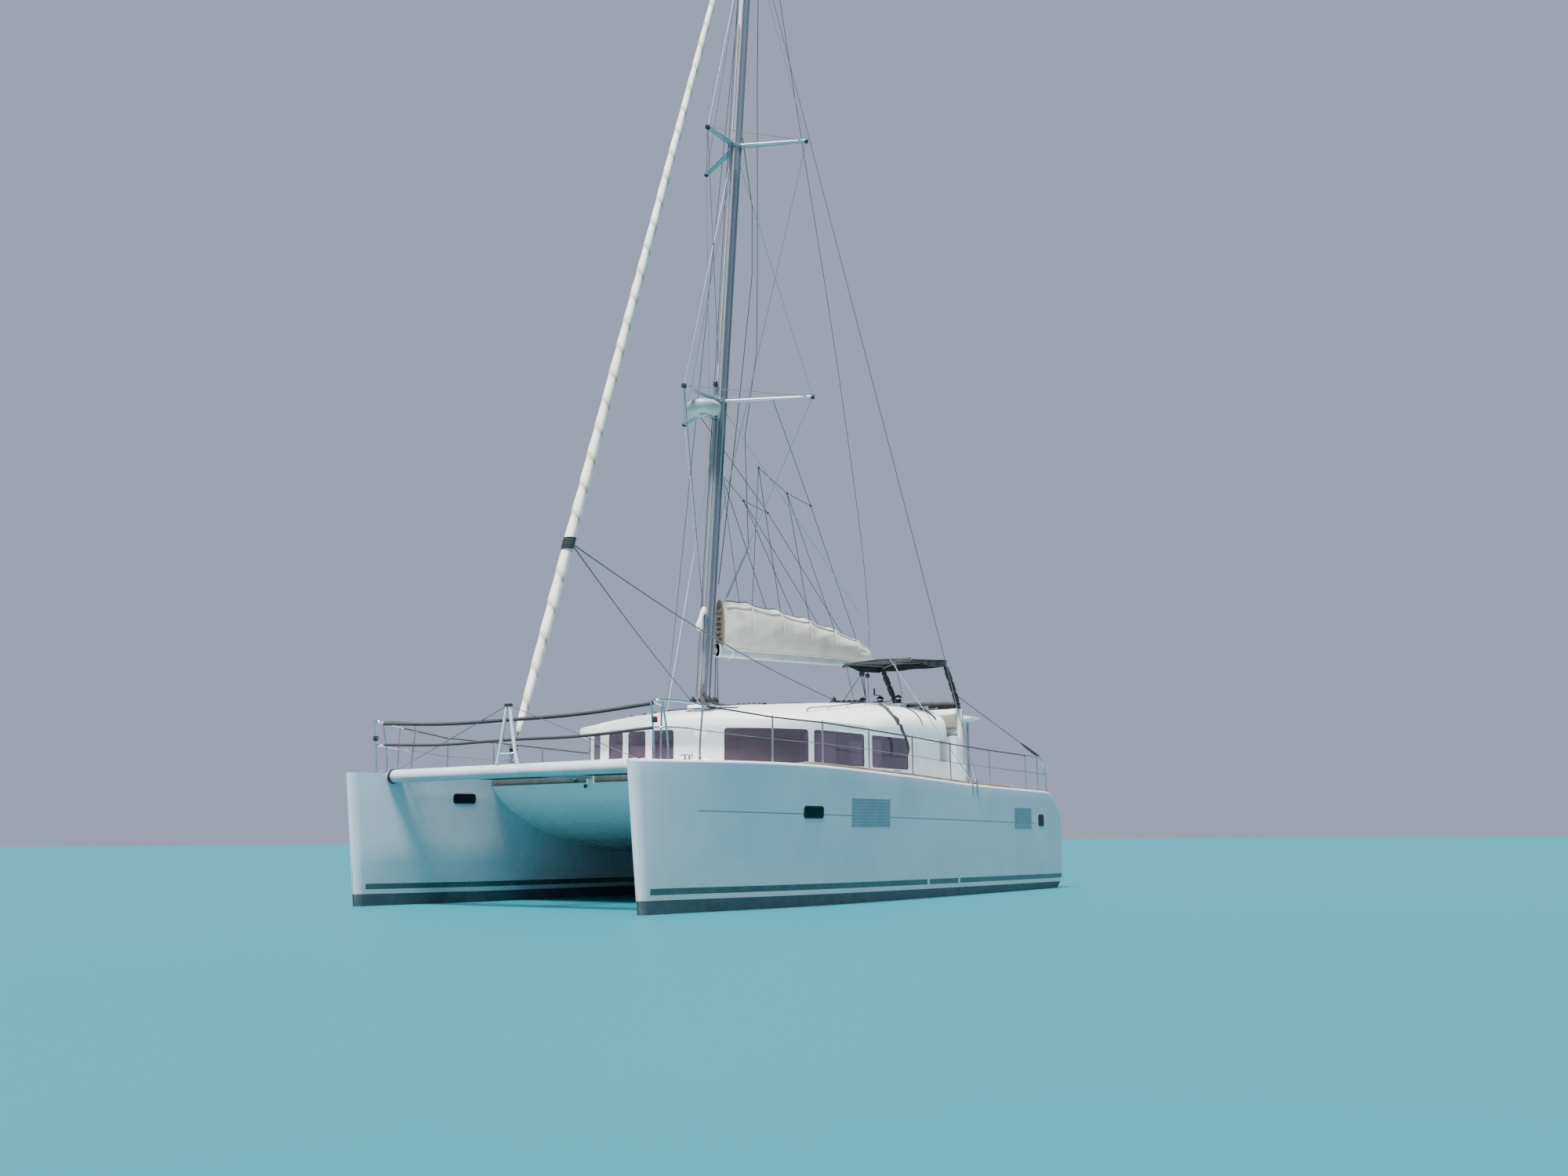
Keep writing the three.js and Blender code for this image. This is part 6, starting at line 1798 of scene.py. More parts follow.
def buildGuyLine():    # from the awning's frame down to the stern rail, with a padded lashing at its end
    low = Vector(railPoint(-5.28, rails["height"] + 0.012))
    high = Vector((helm["foot"][0] + 0.17, helm["sides"][1] - 0.03, helm["foot"][1] + 0.25))
    way = (high - low).normalized()
    parts = [rod(low, high, 0.007, 8)]
    lash = ((0, 0), (0.02, 0.01), (0.028, 0.06), (0.026, 0.3), (0.016, 0.42), (0.008, 0.46), (0, 0.46))
    parts.append(turned(lash, low, way, 16))
    knot = ((0, -0.025), (0.022, -0.02), (0.024, 0.02), (0, 0.025))
    parts.append(turned(knot, high, (0.56, 0, 0.83), 16))
    finish(joinPieces(parts), "stern_guy_line", "boat", "darkCanvas")


canopy = {"low": (-3.73, 0.82), "high": (-2.37, 2.32), "thick": 0.004, "sag": 0.012, "valance": 0.13, "hem": 0.035}


def canopyTop(x, y):
    (x0, y0), (x1, y1) = canopy["low"], canopy["high"]
    t, u = (x - x0) / (x1 - x0), (y - y0) / (y1 - y0)
    edge = 4.2985 + (4.2245 - 4.2985) * t - 0.045 * t * (2 * u - 1) ** 2
    sag = canopy["sag"] * 4 * t * (1 - t) * (0.4 + 1.6 * u * (1 - u))
    crease = 0.003 * noise.noise((x * 5, y * 2, 1.0)) + 0.002 * noise.noise((x * 13, y * 9, 4.0))
    round_ = 0.016 * (max(0, 1 - min(u, 1 - u) / 0.05) ** 2 + max(0, 1 - min(t, 1 - t) / 0.05) ** 2)
    return edge - sag + crease - round_


def buildCanopy():
    (x0, y0), (x1, y1) = canopy["low"], canopy["high"]
    rings, area = [], 0.0
    rows, columns = 56, 60
    for i in range(rows + 1):
        x = x0 + (x1 - x0) * i / rows
        top = [(x, y0 + (y1 - y0) * j / columns, canopyTop(x, y0 + (y1 - y0) * j / columns)) for j in range(columns + 1)]
        rings.append(top + [(px, py, pz - canopy["thick"]) for px, py, pz in top[::-1]])
    sheet = loft(rings)
    for i in range(rows):
        for j in range(columns):
            a, b, c, d = (Vector(rings[i + k][j + l]) for k, l in ((0, 0), (1, 0), (1, 1), (0, 1)))
            area += (b - a).cross(c - a).length / 2 + (c - a).cross(d - a).length / 2
    finish(sheet, "helm_awning", "boat", "canopyCanvas", ["helm_canopy"], 60)
    # a dark valance hangs round the edge
    path = []
    for k in range(181):
        t = k / 180 * 4
        side, u = int(min(t, 3.9999)), t - int(min(t, 3.9999))
        corner = [(x0, y0), (x1, y0), (x1, y1), (x0, y1), (x0, y0)]
        p, q = corner[side], corner[side + 1]
        path.append((p[0] + (q[0] - p[0]) * u, p[1] + (q[1] - p[1]) * u))
    path = path[:-1]
    middle = ((x0 + x1) / 2, (y0 + y1) / 2)
    rings, length, cut = [], 0.0, 0.0
    for k, (x, y) in enumerate(path):
        away = Vector((x - middle[0], y - middle[1], 0)).normalized()
        wave = 0.006 * math.sin(k * 0.55) + 0.004 * math.sin(k * 0.23 + 1)
        top = canopyTop(x, y) - 0.004
        deep = canopy["hem"] + (canopy["valance"] - canopy["hem"]) * max(0, min(1, (x1 - 0.25 - x) / 0.5))
        low = top - deep - 0.006 * math.sin(k * 0.31)
        ring = []
        for depth in (0.0, 0.003):
            rows = [(x - away.x * (0.004 + depth) + away.x * wave * t, y - away.y * (0.004 + depth) + away.y * wave * t, top + (low - top) * t)
                    for t in (0, 0.33, 0.66, 1)]
            ring += rows if depth == 0 else rows[::-1]
        rings.append(ring)
        nextX, nextY = path[(k + 1) % len(path)]
        length += math.hypot(nextX - x, nextY - y)
        cut += math.hypot(nextX - x, nextY - y) * deep
    hang = loft(rings + [rings[0]], capped=False)
    finish(hang, "awning_valance", "boat", "darkCanvas", [], 60)


def rolledCloth(points, radius, name):    # a rolled curtain strapped to its tube
    path = tube(points, 0.001, 4)
    bpy.data.objects.remove(path)
    rings = []
    steps = 60
    spots = [Vector(p) for p in points]
    lengths = [0]
    for a, b in zip(spots, spots[1:]):
        lengths.append(lengths[-1] + (b - a).length)
    for k in range(steps + 1):
        s = lengths[-1] * k / steps
        i = max(j for j in range(len(spots) - 1) if lengths[j] <= s + 1e-9)
        t = (s - lengths[i]) / (lengths[i + 1] - lengths[i])
        middle = spots[i].lerp(spots[i + 1], t)
        way = (spots[min(i + 2, len(spots) - 1)] - spots[max(i - 1, 0)]).normalized()
        side = way.cross(Vector((0.9, 0.1, 0.3))).normalized()
        other = way.cross(side)
        tie = min(abs(s - lengths[-1] * share) for share in (0.12, 0.37, 0.63, 0.88))
        size = radius * (1 - 0.28 * math.exp(-(tie / 0.03) ** 2)) * (0.45 + 0.55 * min(1, 12 * k / steps, 12 * (steps - k) / steps))
        ring = []
        for j in range(26):
            a = 2 * math.pi * j / 26
            roll = 1 - 0.14 * ((j / 26 + 0.15 * math.sin(s * 3)) % 1)
            lump = 1 + 0.07 * noise.noise((s * 7, math.cos(a) * 1.5, math.sin(a) * 1.5))
            ring.append(middle + (side * math.cos(a) + other * math.sin(a)) * size * roll * lump)
        rings.append(ring)
    piece = loft(rings)
    finish(piece, name, "boat", "darkCanvas", [], 60)


def buildCurtains():
    points = hoopPoints()
    rolledCloth([Vector(p) + Vector((0.02, 0, 0)) for p in points[:3]], 0.062, "curtain_roll_inner")
    rolledCloth([Vector(p) + Vector((0.02, 0, 0)) for p in points[:5:-1]], 0.058, "curtain_roll_outer")
    z = helm["foot"][1] + 0.055
    rolledCloth([(-4.3, 0.93, z + 0.05), (-4.3, 1.45, z + 0.04), (-4.3, 1.9, z + 0.02), (-4.3, 2.24, z + 0.01)], 0.068, "curtain_roll_low")
    # a grey vinyl skirt closes the back of the seat down to the hardtop
    rings, rows, columns = [], 14, 44
    for i in range(columns + 1):
        y = 1.17 + (2.29 - 1.17) * i / columns
        ring = []
        for depth in (0, 0.003):
            line = []
            for j in range(rows + 1):
                t = j / rows
                fold = 0.006 * math.sin(y * 21 + 2 * t) * t + 0.004 * noise.noise((y * 6, t * 3, 2.0))
                line.append((-4.352 - depth - 0.012 * t - abs(fold), y, 3.4 - 0.4 * t - 0.012 * math.sin(y * 9) * t))
            ring += line if depth == 0 else line[::-1]
        rings.append(ring)
    skirt = loft(rings)
    finish(skirt, "helm_skirt", "boat", "skirtVinyl", [], 60)


buildHelm()
buildHoop()
buildGuyLine()
buildCanopy()
buildCurtains()
print("helm station built")

# cockpit
dress("aft_bench", "aft_bench_moulding", "gelcoat", 0.02, 3)
dress("side_bench", "side_bench_moulding", "gelcoat", 0.02, 3)
dress("saloon_settee", "settee_upholstery", "saloonCloth", 0.04, 4)
dress("galley_counter", "galley_unit", "gelcoat", 0.012, 2)


def buildTable():
    leaf = box((-4.4, -1.35, 1.8303), (-3.55, -0.65, 1.865), 0.007, 3)
    finish(leaf, "table_top", "boat", "tableTeak", ["cockpit_table"])
    leg = turned(((0, 0), (0.13, 0), (0.13, 0.008), (0.06, 0.02), (0.05, 0.03), (0.05, 0.64), (0.09, 0.665), (0.09, 0.68), (0, 0.68)),
                 (-3.975, -1.0, 1.1503), steps=40)
    finish(leg, "table_leg", "boat", "stainless")


buildTable()
print("cockpit built")


# winches, clutches, mast base and lines
deckGear = {
    "winchX": -2.95, "winchYs": (1.69, 1.3, 0.91), "baseTop": 3.432,
    "clutchX": -2.1, "clutchYs": (0.78, 0.9, 1.02, 1.14, 1.26, 1.38),
    "blocks": ((0.98, 0.09), (0.98, -0.09), (0.86, 0.17), (0.74, 0.17), (0.62, 0.14), (0.86, -0.17), (0.74, -0.17)),
    "lineYs": (0.11, 0.16, 0.21, 0.26, 0.31, 0.36),
}


def roofPoint(x, y, up=0.0):
    return (x, y, roofTop(x, y) + up)


def block(place, size, axis=(0, 1, 0)):    # a pulley block: cheeks, sheave and swivel
    x, y, z = place
    parts = []
    for side in (-1, 1):
        cheek = turned(((0, -0.1 * size), (0.42 * size, -0.1 * size), (0.5 * size, -0.04 * size), (0.5 * size, 0.04 * size),
                        (0.42 * size, 0.1 * size), (0, 0.1 * size)),
                       (x, y + side * 0.2 * size, z), axis, 20)
        parts.append(cheek)
    parts.append(turned(((0, -0.12 * size), (0.44 * size, -0.12 * size), (0.36 * size, 0), (0.44 * size, 0.12 * size), (0, 0.12 * size)),
                        (x, y, z), axis, 20))
    parts.append(rod((x, y, z + 0.3 * size), (x, y, z + 0.75 * size), 0.08 * size, 10))
    return parts


def buildWinches():
    x, top = deckGear["winchX"], deckGear["baseTop"]
    base = box((x - 0.13, 0.8, 3.357), (x + 0.13, 1.8, top), 0.025, 4)
    finish(base, "winch_plinth", "boat", "gelcoat", ["winch_bank"])
    drums, caps, wraps = [], [], []
    for y in deckGear["winchYs"]:
        place = (x, y, top)
        drums.append(turned(((0, 0), (0.085, 0), (0.085, 0.01), (0.06, 0.024), (0.052, 0.04), (0.048, 0.06), (0.05, 0.085),
                             (0.056, 0.1), (0, 0.1)), place, steps=36))
        caps.append(turned(((0, 0.1), (0.06, 0.1), (0.07, 0.106), (0.062, 0.114), (0.07, 0.122), (0.068, 0.134), (0.05, 0.145),
                            (0.03, 0.15), (0.03, 0.158), (0.012, 0.162), (0, 0.162)), place, steps=36))
        caps.append(turned(((0.082, 0.0), (0.088, 0.0), (0.088, 0.016), (0.082, 0.018)), place, steps=36))
        for k in range(4):
            wraps.append(turned(((0.05, -0.005), (0.058, -0.004), (0.061, 0), (0.058, 0.004), (0.05, 0.005)),
                                (x, y, top + 0.045 + 0.0105 * k), steps=24))
    finish(joinPieces(drums), "winch_drums", "boat", "stainless")
    finish(joinPieces(caps), "winch_tops", "boat", "blackPlastic")
    finish(joinPieces(wraps), "winch_turns", "boat", "darkCanvas")
    handle = [box((x - 0.012, deckGear["winchYs"][1] - 0.015, top + 0.16), (x + 0.23, deckGear["winchYs"][1] + 0.015, top + 0.176), 0.006, 2)]
    handle.append(rod((x + 0.215, deckGear["winchYs"][1], top + 0.17), (x + 0.215, deckGear["winchYs"][1], top + 0.29), 0.017, 16))
    finish(joinPieces(handle), "winch_handle", "boat", "blackPlastic")


def buildClutches():
    x = deckGear["clutchX"]
    parts = []
    for y in deckGear["clutchYs"]:
        z = roofTop(x, y)
        parts.append(box((x - 0.11, y - 0.025, z - 0.006), (x + 0.11, y + 0.025, z + 0.055), 0.01, 2))
        parts.append(loft([[(x - 0.1, y + s * 0.018, z + 0.05), (x - 0.08, y + s * 0.018, z + 0.085), (x + 0.07, y + s * 0.018, z + 0.075),
                            (x + 0.09, y + s * 0.018, z + 0.05)] for s in (-1, 1)]))
    x = 0.1
    for k, y in enumerate(deckGear["lineYs"]):    # organiser sheaves
        z = roofTop(x, y * 2.2)
        parts.append(turned(((0, 0), (0.035, 0), (0.035, 0.008), (0.026, 0.016), (0.035, 0.024), (0.035, 0.03), (0, 0.03)), (x, y * 2.2, z), steps=20))
    for bx, by in deckGear["blocks"]:
        parts += block((bx, by, 3.3), 0.1)
    finish(joinPieces(parts), "rope_clutches", "boat", "blackPlastic")
    lines = []
    for k, (y, end) in enumerate(zip(deckGear["lineYs"], deckGear["clutchYs"])):
        spots = [(0.62, y * 0.45, 3.27), (0.5, y * 0.8, 3.25), roofPoint(0.1, y * 2.2, 0.016), roofPoint(-0.8, y * 1.4 + end * 0.35, 0.012),
                 roofPoint(-1.5, end * 0.93, 0.012), roofPoint(-1.98, end, 0.03)]
        lines.append(tube(spots, 0.0065, 8))
        back = deckGear["winchYs"][k % 3]
        lines.append(tube([roofPoint(-2.2, end, 0.03), roofPoint(-2.5, (end + back) / 2, 0.02), (-2.82, back - 0.03, 3.48), (-2.9, back + 0.045, 3.49)],
                          0.0065, 8))
    finish(joinPieces(lines), "control_lines", "boat", "lineCover")


mastLines = {
    "starts": ((0.045, 0.168), (-0.045, 0.168), (0.1, 0.07), (0.085, 0.115), (0.1, -0.03), (-0.1, 0.06)),
    "tops": (16.5, 18.9, 13.4, 17.6, 19.4, 9.2), "line": 0.0085,
    "loose": (((-0.95, 20.24), (-0.84, 15.67), (-0.82, 11.83), (-0.78, 10.03), (-0.4, 8.29), (-0.5, 6.2), (0.15, 5.2)),
              ((-0.35, 14.2), (-0.65, 12.91), (-0.64, 11.5), (-0.11, 8.22), (0.4, 5.4)),
              ((0.49, 4.07), (0.5, 3.29)), ((0.44, 4.09), (0.42, 3.29))),
    "bundle": (4.5, 4.93, 0.98, 0.05),
    "tails": ((((0.95, 0.1, 3.5), (1.0, 0.12, 3.42), (1.06, 0.16, 3.34), (1.1, 0.22, 3.24), (1.12, 0.34, 3.17)), 0.03),
              (((0.93, 0.1, 3.56), (1.0, 0.14, 3.5), (1.04, 0.2, 3.4)), 0.026)),
}


def buildMastLines():
    lines = []
    for k, (side, reach) in enumerate(mastLines["starts"]):
        low, high = 3.36, mastLines["tops"][k]
        spots = [(mastAt(low) + reach, side, low)]
        for z in (8.0, 13.0, high):
            if z <= high and z > spots[-1][2]:
                scale = mastSize(z)
                spots.append((mastAt(z) + reach * scale, side * scale, z))
        lines.append(tube(spots, mastLines["line"], 6, False))
    for points in mastLines["loose"]:
        lines.append(tube([(x, 0.02, z) for x, z in points], mastLines["line"], 6, False))
    finish(joinPieces(lines), "mast_halyards", "boat", "lineCover")
    rings = []
    low, high, x, y = mastLines["bundle"]
    for k in range(31):    # pale gathered line tails tied against the mast
        t = k / 30
        size = (0.055 + 0.02 * math.sin(7 * t + 1)) * math.sin(math.pi * min(0.97, max(0.03, t))) ** 0.35
        ring = []
        for j in range(20):
            a = 2 * math.pi * j / 20
            r = size * (1 + 0.16 * noise.noise((math.cos(a) * 1.6, math.sin(a) * 1.6, t * 6)))
            ring.append((x - 0.1 * t + 0.03 * math.sin(5 * t) + r * math.cos(a), y + r * math.sin(a), low + (high - low) * t))
        rings.append(ring)
    finish(loft(rings), "halyard_bundle", "boat", "sailcloth", [], 60)
    strap = [tube(points, width, 10, False) for points, width in mastLines["tails"]]
    finish(joinPieces(strap), "mast_tail_wrap", "boat", "darkCanvas")


def between(a, b, count=8):
    a, b = Vector(a), Vector(b)
    return [a.lerp(b, k / count) for k in range(count + 1)]


rigging = {
    "jackBlocks": ((-1.85, 0.5, 7.18), (-1.06, 0.5, 7.27), (-0.27, 0.42, 7.6)),
    "sheetFoot": (-4.6, 0.0), "cord": 0.007,
    "track": ((-0.02, -0.01), (-0.02, 0.022), (-0.01, 0.03), (0.01, 0.03), (0.02, 0.022), (0.02, -0.01)),
    "lift": ((-2.08, 0, 16.25), (-4.01, 0, 9.12), (-4.7, 0, 5.59)),
    "straps": (((-2.3, 1.6), (-1.95, 1.9), (-1.7, 2.15), (-1.55, 2.3), (-1.5, 2.4), (-1.55, 2.47), (-1.62, 2.499)),
               ((-2.75, 1.9), (-2.55, 2.1), (-2.44, 2.3), (-2.4, 2.42), (-2.42, 2.49)),
               ((-3.25, 2.0), (-3.05, 2.2), (-2.98, 2.36), (-3.0, 2.45))),
    "strapWidths": (0.085, 0.025, 0.05), "strapDrop": (-1.6, -1.66, -1.76, -1.83, -1.86, -1.8),
}


def tabPoint(x, side):
    return Vector(bagSide(x, 0.86, side, 0.012))


def buildLazyJacks():
    low = mast["spreaders"][0]
    sweep = math.radians(mast["sweep"])
    for side, word in ((1, "port"), (-1, "starboard")):
        arm_ = Vector((mastAt(low[1]) + 0.95 * math.cos(sweep), side * 0.95 * math.sin(sweep), low[1] - 0.01))
        blocks = [Vector((x, side * y, z)) for x, y, z in rigging["jackBlocks"]]
        tabs = [tabPoint(x, side) for x in boom["tabs"]]
        runs = [(arm_, blocks[0]), (blocks[0], tabs[4]), (blocks[0], blocks[1]), (blocks[1], tabs[3]), (blocks[1], blocks[2]),
                (blocks[1], tabs[2]), (blocks[2], tabs[1]), (blocks[2], tabs[0])]
        cords = [tube(between(a, b), rigging["cord"], 6, False) for a, b in runs]
        for place in blocks:
            cords += block(place, 0.05)
        piece = joinPieces(cords)
        finish(piece, f"lazy_jacks_{word}", None, "lineCover")
        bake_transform(piece)


def buildMainsheet():
    x, _ = rigging["sheetFoot"]
    foot = Vector((x, 0, hardtopTop(x, 0) + 0.09))
    head = Vector((boom["sheetX"], 0, boomLow(boom["sheetX"]) - 0.05))
    parts = []
    for side in (-0.025, 0.0, 0.025):
        parts.append(tube(between(foot + Vector((side, side, 0.04)), head + Vector((side, -side, -0.05))), 0.006, 6, False))
    parts += block(head + Vector((0, 0, -0.08)), 0.12) + block(foot + Vector((0, 0, 0.0)), 0.12)
    second = head + Vector((-0.22, 0.0, -0.03))
    parts.append(tube(between(foot + Vector((-0.05, 0.02, 0.03)), second), 0.006, 6, False))
    ahead = Vector((-3.5, 0, hardtopTop(-3.5, 0) + 0.04))
    parts.append(tube(between(ahead, head + Vector((0.04, 0, -0.1))), 0.006, 6, False))
    parts += block(ahead, 0.09)
    parts += block(second + Vector((0, 0, -0.07)), 0.1)
    piece = joinPieces(parts)
    finish(piece, "mainsheet", None, "blackPlastic")
    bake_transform(piece)
    rings = []
    for k in range(41):
        y = -0.62 + 1.24 * k / 40
        z = hardtopTop(x, y)
        rings.append([(x + across, y, z + up) for across, up in rigging["track"]])
    finish(loft(rings), "sheet_track", "boat", "spar")
    top = hardtopTop(x, 0)
    car = box((x - 0.04, -0.07, top + 0.02), (x + 0.04, 0.07, top + 0.055), 0.012, 3)
    finish(car, "sheet_car", "boat", "blackPlastic")
    tip, end = mastAt(mast["top"]) - 0.3, Vector((-4.74, 0, boomLow(-4.74) + 0.2))
    lift = tube([(tip, 0, mast["top"] - 0.08), *rigging["lift"], tuple(end)], 0.0075, 6)
    finish(lift, "topping_lift", None, "lineCover")
    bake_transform(lift)


def buildRoofGear():
    # handrails, the jib's sheets and a black strap over the roof's shoulder
    tubes = []
    for side in (1, -1):
        spots = [roofPoint(-1.9 + 2.4 * k / 24, side * 1.98, 0.055) for k in range(25)]
        ends = [roofPoint(-1.98, side * 1.98, 0.0), roofPoint(0.58, side * 1.98, 0.0)]
        tubes.append(tube([ends[0], *spots, ends[1]], 0.0125, 12))
        for x in (-1.3, -0.7, -0.1):
            z = roofTop(x, side * 1.98)
            tubes.append(rod((x, side * 1.98, z - 0.004), (x, side * 1.98, z + 0.05), 0.009, 10))
    finish(joinPieces(tubes), "roof_handrails", "boat", "stainless")
    clew = (stayAt(headsail["clew"]), 0.05, headsail["clew"])
    leads = (roofPoint(-1.95, 0.9, 0.08), roofPoint(-0.25, -1.0, 0.08))
    sheets = []
    for lead, sag in zip(leads, (0.16, 0.06)):
        line = [p - Vector((0, 0, sag * math.sin(math.pi * k / 12))) for k, p in enumerate(between(clew, lead, 12))]
        sheets.append(tube(line, 0.011, 6, False))
    finish(joinPieces(sheets), "jib_sheets", "boat", "lineCover")
    gear = block(leads[0], 0.1) + block(leads[1], 0.1)
    rings = []
    for k in range(41):
        y = -1.0 + 2.0 * k / 40
        x = 1.15
        z = roofTop(x, y)
        rings.append([(x - 0.016, y, z - 0.008), (x - 0.016, y, z + 0.018), (x + 0.016, y, z + 0.018), (x + 0.016, y, z - 0.008)])
    gear.append(loft(rings))
    finish(joinPieces(gear), "jib_track_and_blocks", "boat", "blackPlastic")
    straps = []
    for path, wide in zip(rigging["straps"], rigging["strapWidths"]):
        strapX = smoothReader([(y, x) for x, y in path], 1)
        first, last = path[0][1], path[-1][1]
        spots = [(strapX(y), y) for y in [first + (last - first) * math.sin(math.pi * k / 96) for k in range(49)]]
        rings = []
        for k, (x, y) in enumerate(spots):
            near, far = Vector(spots[max(0, k - 1)]), Vector(spots[min(len(spots) - 1, k + 1)])
            way = (far - near).normalized()
            across = Vector((-way.y, way.x)) * wide / 2
            rows = [Vector((x, y)) - across, Vector((x, y)) + across]
            under, over = ([roofPoint(p.x, min(2.49, p.y), up) for p in rows] for up in (-0.006, 0.022))
            rings.append([under[0], over[0], over[1], under[1]])
        straps.append(loft(rings))
    fall = []
    for k, x in enumerate(rigging["strapDrop"]):    # the widest strap hangs down past the side windows
        z = 2.92 - 0.105 * k
        fall.append([(x - 0.04, 2.5, z), (x - 0.04, 2.515, z), (x + 0.04, 2.515, z), (x + 0.04, 2.5, z)])
    straps.append(loft(fall))
    finish(joinPieces(straps), "roof_straps", "boat", "darkCanvas", [], 60)


buildWinches()
buildClutches()
buildMastLines()
buildLazyJacks()
buildMainsheet()
buildRoofGear()
print("deck gear and lines built")

# windlass
def buildWindlass():
    place = (3.43, 0, sheer(3.43) + 0.0003)
    body = turned(((0, 0), (0.11, 0), (0.11, 0.012), (0.1, 0.03), (0.072, 0.05), (0.058, 0.07), (0.055, 0.105), (0.06, 0.115), (0.085, 0.128),
                   (0.086, 0.148), (0.06, 0.158), (0.03, 0.165), (0, 0.165)), place, steps=40)
    z = sheer(3.43) + 0.095
    gypsy = turned(((0, 0.04), (0.03, 0.04), (0.03, 0.1), (0.06, 0.104), (0.058, 0.118), (0.042, 0.13), (0.058, 0.142), (0.06, 0.156), (0.03, 0.16),
                    (0.028, 0.18), (0, 0.19)), (3.43, 0, z), (0, 1, 0), 40)
    finish(joinPieces([body, gypsy]), "windlass_body", "boat", "stainless", ["windlass"])


buildWindlass()


# underwater gear
underwater = {"keelY": 2.86, "driveX": -3.55, "rudderX": -5.1, "draft": 1.21}


def foilRing(x0, x1, y, z, thick, count=28):
    ring = []
    for k in range(2 * count):
        a = math.pi * k / count
        u = (1 + math.cos(a)) / 2
        body = 2.6 * math.sqrt(1 - u) * u + 0.05 * (1 - u)
        ring.append((x0 + (x1 - x0) * u, y + math.copysign(1, math.sin(a)) * max(0.04, body) * thick / 2, z))
    return ring


def buildUnderwater():
    y, deep = underwater["keelY"], underwater["draft"]
    rings = []
    for k in range(13):
        t = k / 12
        z = -0.3 + (0.3 - deep) * t
        rings.append(foilRing(-1.35 + 0.1 * t, 1.15 - 0.15 * t, y, z, 0.38 - 0.05 * t))
    keel = loft(rings)
    bevelEdges(keel, 0.015, 3, 60)
    finishPair(keel, "keel_fin", "bottomPaint", ["keel"])
    x = underwater["driveX"]
    leg = loft([foilRing(x - 0.14 + 0.02 * t, x + 0.17 - 0.04 * t, y, -0.2 - 0.62 * t, 0.11 - 0.02 * t) for t in [k / 8 for k in range(9)]])
    case = turned(((0, -0.17), (0.05, -0.17), (0.068, -0.1), (0.075, 0), (0.066, 0.09), (0.045, 0.145), (0.02, 0.168), (0, 0.17)), (x, y, -0.85),
                  (1, 0, 0), 36)
    finishPair(joinPieces([leg, case]), "drive_leg", "enginePaint", ["saildrive"])
    hub = x - 0.1703
    parts = [turned(((0, -0.13), (0.02, -0.128), (0.036, -0.11), (0.05, -0.06), (0.058, -0.015), (0.058, 0), (0, 0)), (hub, y, -0.85), (1, 0, 0), 32)]
    for blade in range(3):
        rings = []
        for k in range(11):
            t = k / 10
            r = 0.03 + 0.185 * t
            pitch = math.radians(62 - 42 * t)
            chord = 0.05 + 0.05 * math.sin(math.pi * min(1, t * 1.05)) - 0.03 * t ** 3
            thick = 0.014 * (1 - 0.75 * t)
            ring = []
            for j in range(16):
                a = 2 * math.pi * j / 16
                u, v = chord * math.cos(a), thick * math.sin(a)
                ring.append((u * math.cos(pitch) - v * math.sin(pitch), u * math.sin(pitch) + v * math.cos(pitch), r))
            rings.append(ring)
        piece = loft(rings)
        piece.data.transform(Matrix.Rotation(2 * math.pi * blade / 3, 4, "X"))
        piece.data.transform(Matrix.Translation((hub - 0.065, y, -0.85)))
        parts.append(piece)
    finishPair(joinPieces(parts), "screw", "bronze", ["propeller"], "propeller")
    x = underwater["rudderX"]
    rings = [foilRing(x - 0.33 + 0.03 * t, x + 0.13 - 0.04 * t, y, -0.34 - 0.72 * t, 0.09 - 0.03 * t) for t in [k / 10 for k in range(11)]]
    blade = loft(rings)
    bevelEdges(blade, 0.008, 3, 60)
    stock = rod((x, y, -0.345), (x, y, -0.3003), 0.03, 24)
    finishPair(joinPieces([blade, stock]), "rudder_blade", "bottomPaint", ["rudder"], "rudder")


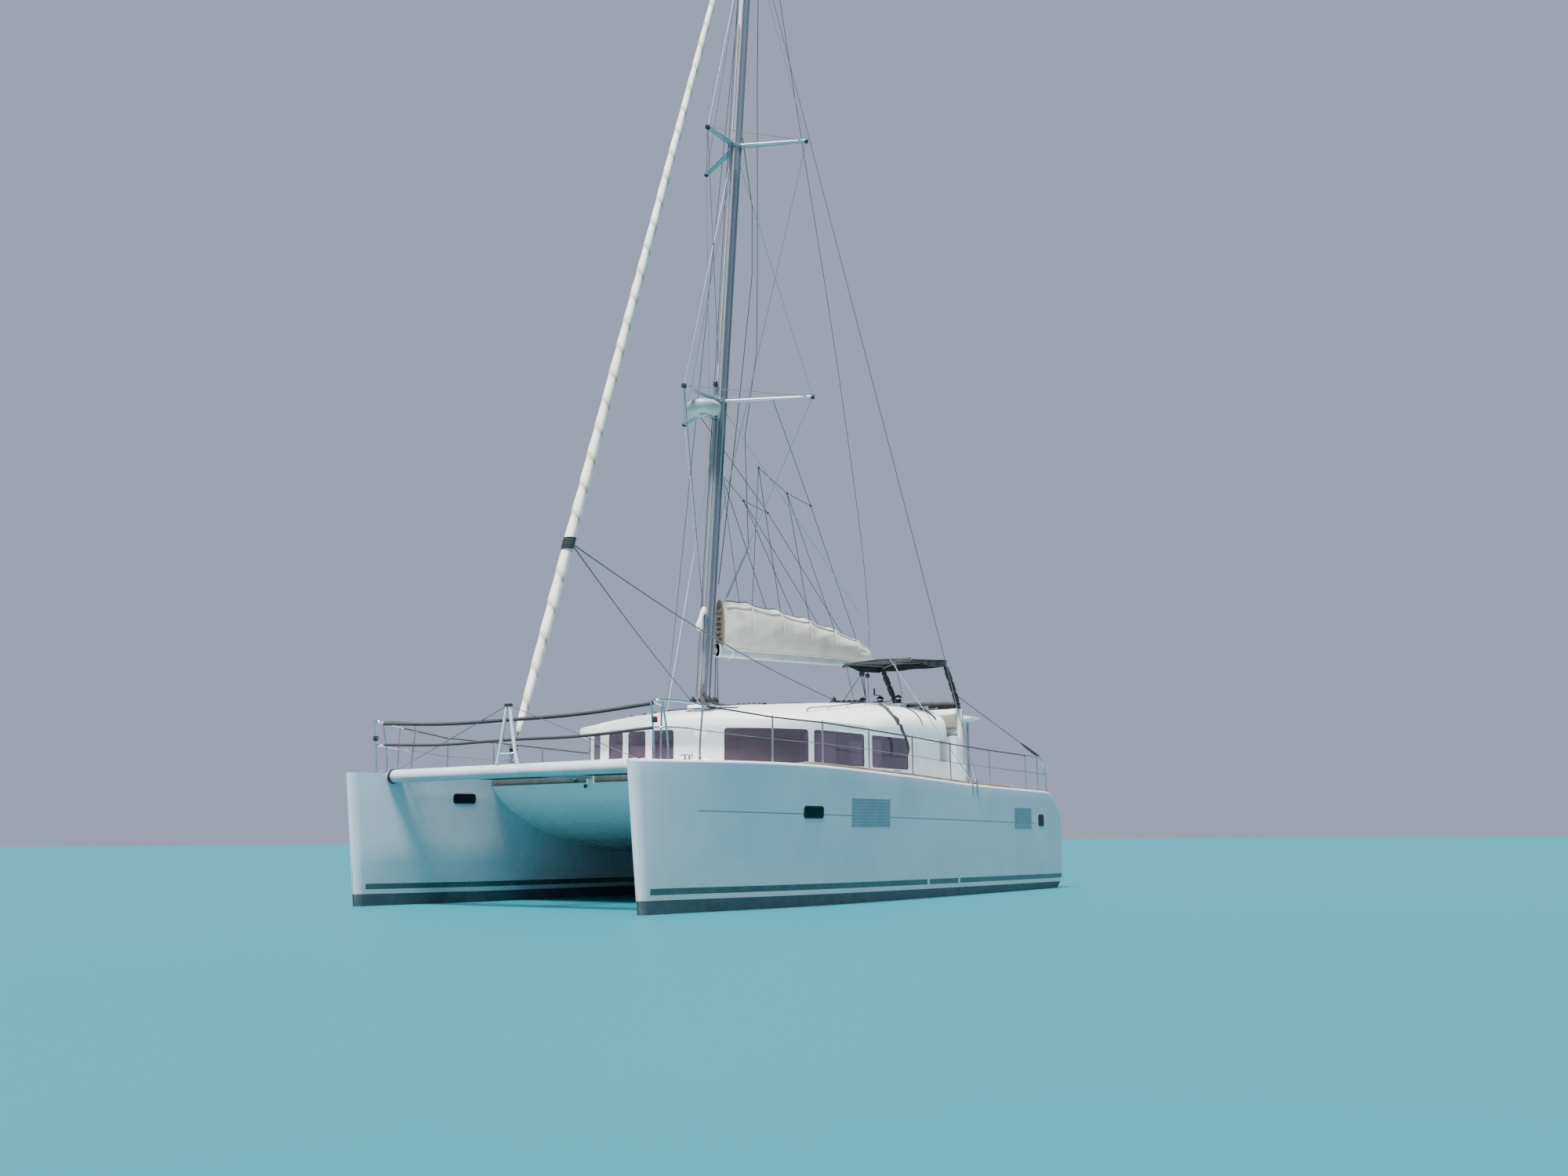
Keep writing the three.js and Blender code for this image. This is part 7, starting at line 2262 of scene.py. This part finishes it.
def buildEngines():
    low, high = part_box("engine_port")
    (x0, y0, z0), (x1, y1, z1) = low, high
    parts = [box((x0 + 0.05, y0 + 0.09, z0), (x1 - 0.06, y1 - 0.09, z0 + 0.34), 0.02, 3),
             box((x0 + 0.09, y0 + 0.13, z0 + 0.34), (x1 - 0.1, y1 - 0.13, z0 + 0.45), 0.02, 3)]
    for k in range(5):
        parts.append(box((x0 + 0.1 + 0.07 * k, y0 + 0.12, z0 + 0.44), (x0 + 0.13 + 0.07 * k, y1 - 0.12, z0 + 0.465), 0.005, 2))
    parts.append(rod((x0 + 0.2, y0 + 0.2, z0 + 0.45), (x0 + 0.2, y0 + 0.2, z1), 0.035, 20))
    for y in (y0, y1 - 0.08):
        parts.append(box((x0 + 0.02, y, z0 + 0.05), (x1 - 0.02, y + 0.08, z0 + 0.11), 0.01, 2))
    parts.append(rod((x0 + 0.12, y1 - 0.07, z0 + 0.2), (x0 + 0.3, y1 - 0.07, z0 + 0.2), 0.055, 28))
    finishPair(joinPieces(parts), "engine_block", "enginePaint", ["engine"])
    belt = [turned(((0, -0.02), (0.09, -0.02), (0.08, 0), (0.09, 0.02), (0, 0.02)), (x1 - 0.035, (y0 + y1) / 2, z0 + 0.16), (1, 0, 0), 32),
            turned(((0, -0.02), (0.05, -0.02), (0.043, 0), (0.05, 0.02), (0, 0.02)), (x1 - 0.035, (y0 + y1) / 2 + 0.13, z0 + 0.3), (1, 0, 0), 28)]
    finishPair(joinPieces(belt), "engine_pulleys", "blackPlastic")


buildUnderwater()
buildEngines()
print("underwater gear and engines built")

# latch rings and bars on the lids
def buildLidGear():
    for node, top in (("engine_lid", 1.15), ("forepeak_lid", 2.018)):
        for side in ("port", "starboard"):
            (x0, y0, _), (x1, y1, _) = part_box(f"{node}_{side}")
            middle = (y0 + y1) / 2
            ring = turned(((0.018, 0), (0.03, 0), (0.032, 0.002), (0.03, 0.004), (0.018, 0.004)), ((x0 + 0.07, middle, top)), steps=24)
            bar = box((x0 + 0.062, middle - 0.02, top), (x0 + 0.078, middle + 0.02, top + 0.005), 0.002, 1)
            finish(joinPieces([ring, bar]), f"{node}_latch_{side}", f"{node}_{side}", "stainless")
    (x0, y0, _), (x1, y1, _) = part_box("anchor_locker_lid")
    ring = turned(((0.018, 0), (0.03, 0), (0.032, 0.002), (0.03, 0.004), (0.018, 0.004)), (x1 - 0.06, 0, 2.024), steps=24)
    finish(ring, "locker_latch", "anchor_locker_lid", "stainless")


buildLidGear()
print("lids finished")


# nodes that keep their own solid
kept = {}


def dressKept():
    for node, material in kept.items():
        solid = frame["nodes"][node]
        solid.data.materials.clear()
        solid.data.materials.append(finishes[material])


dressKept()
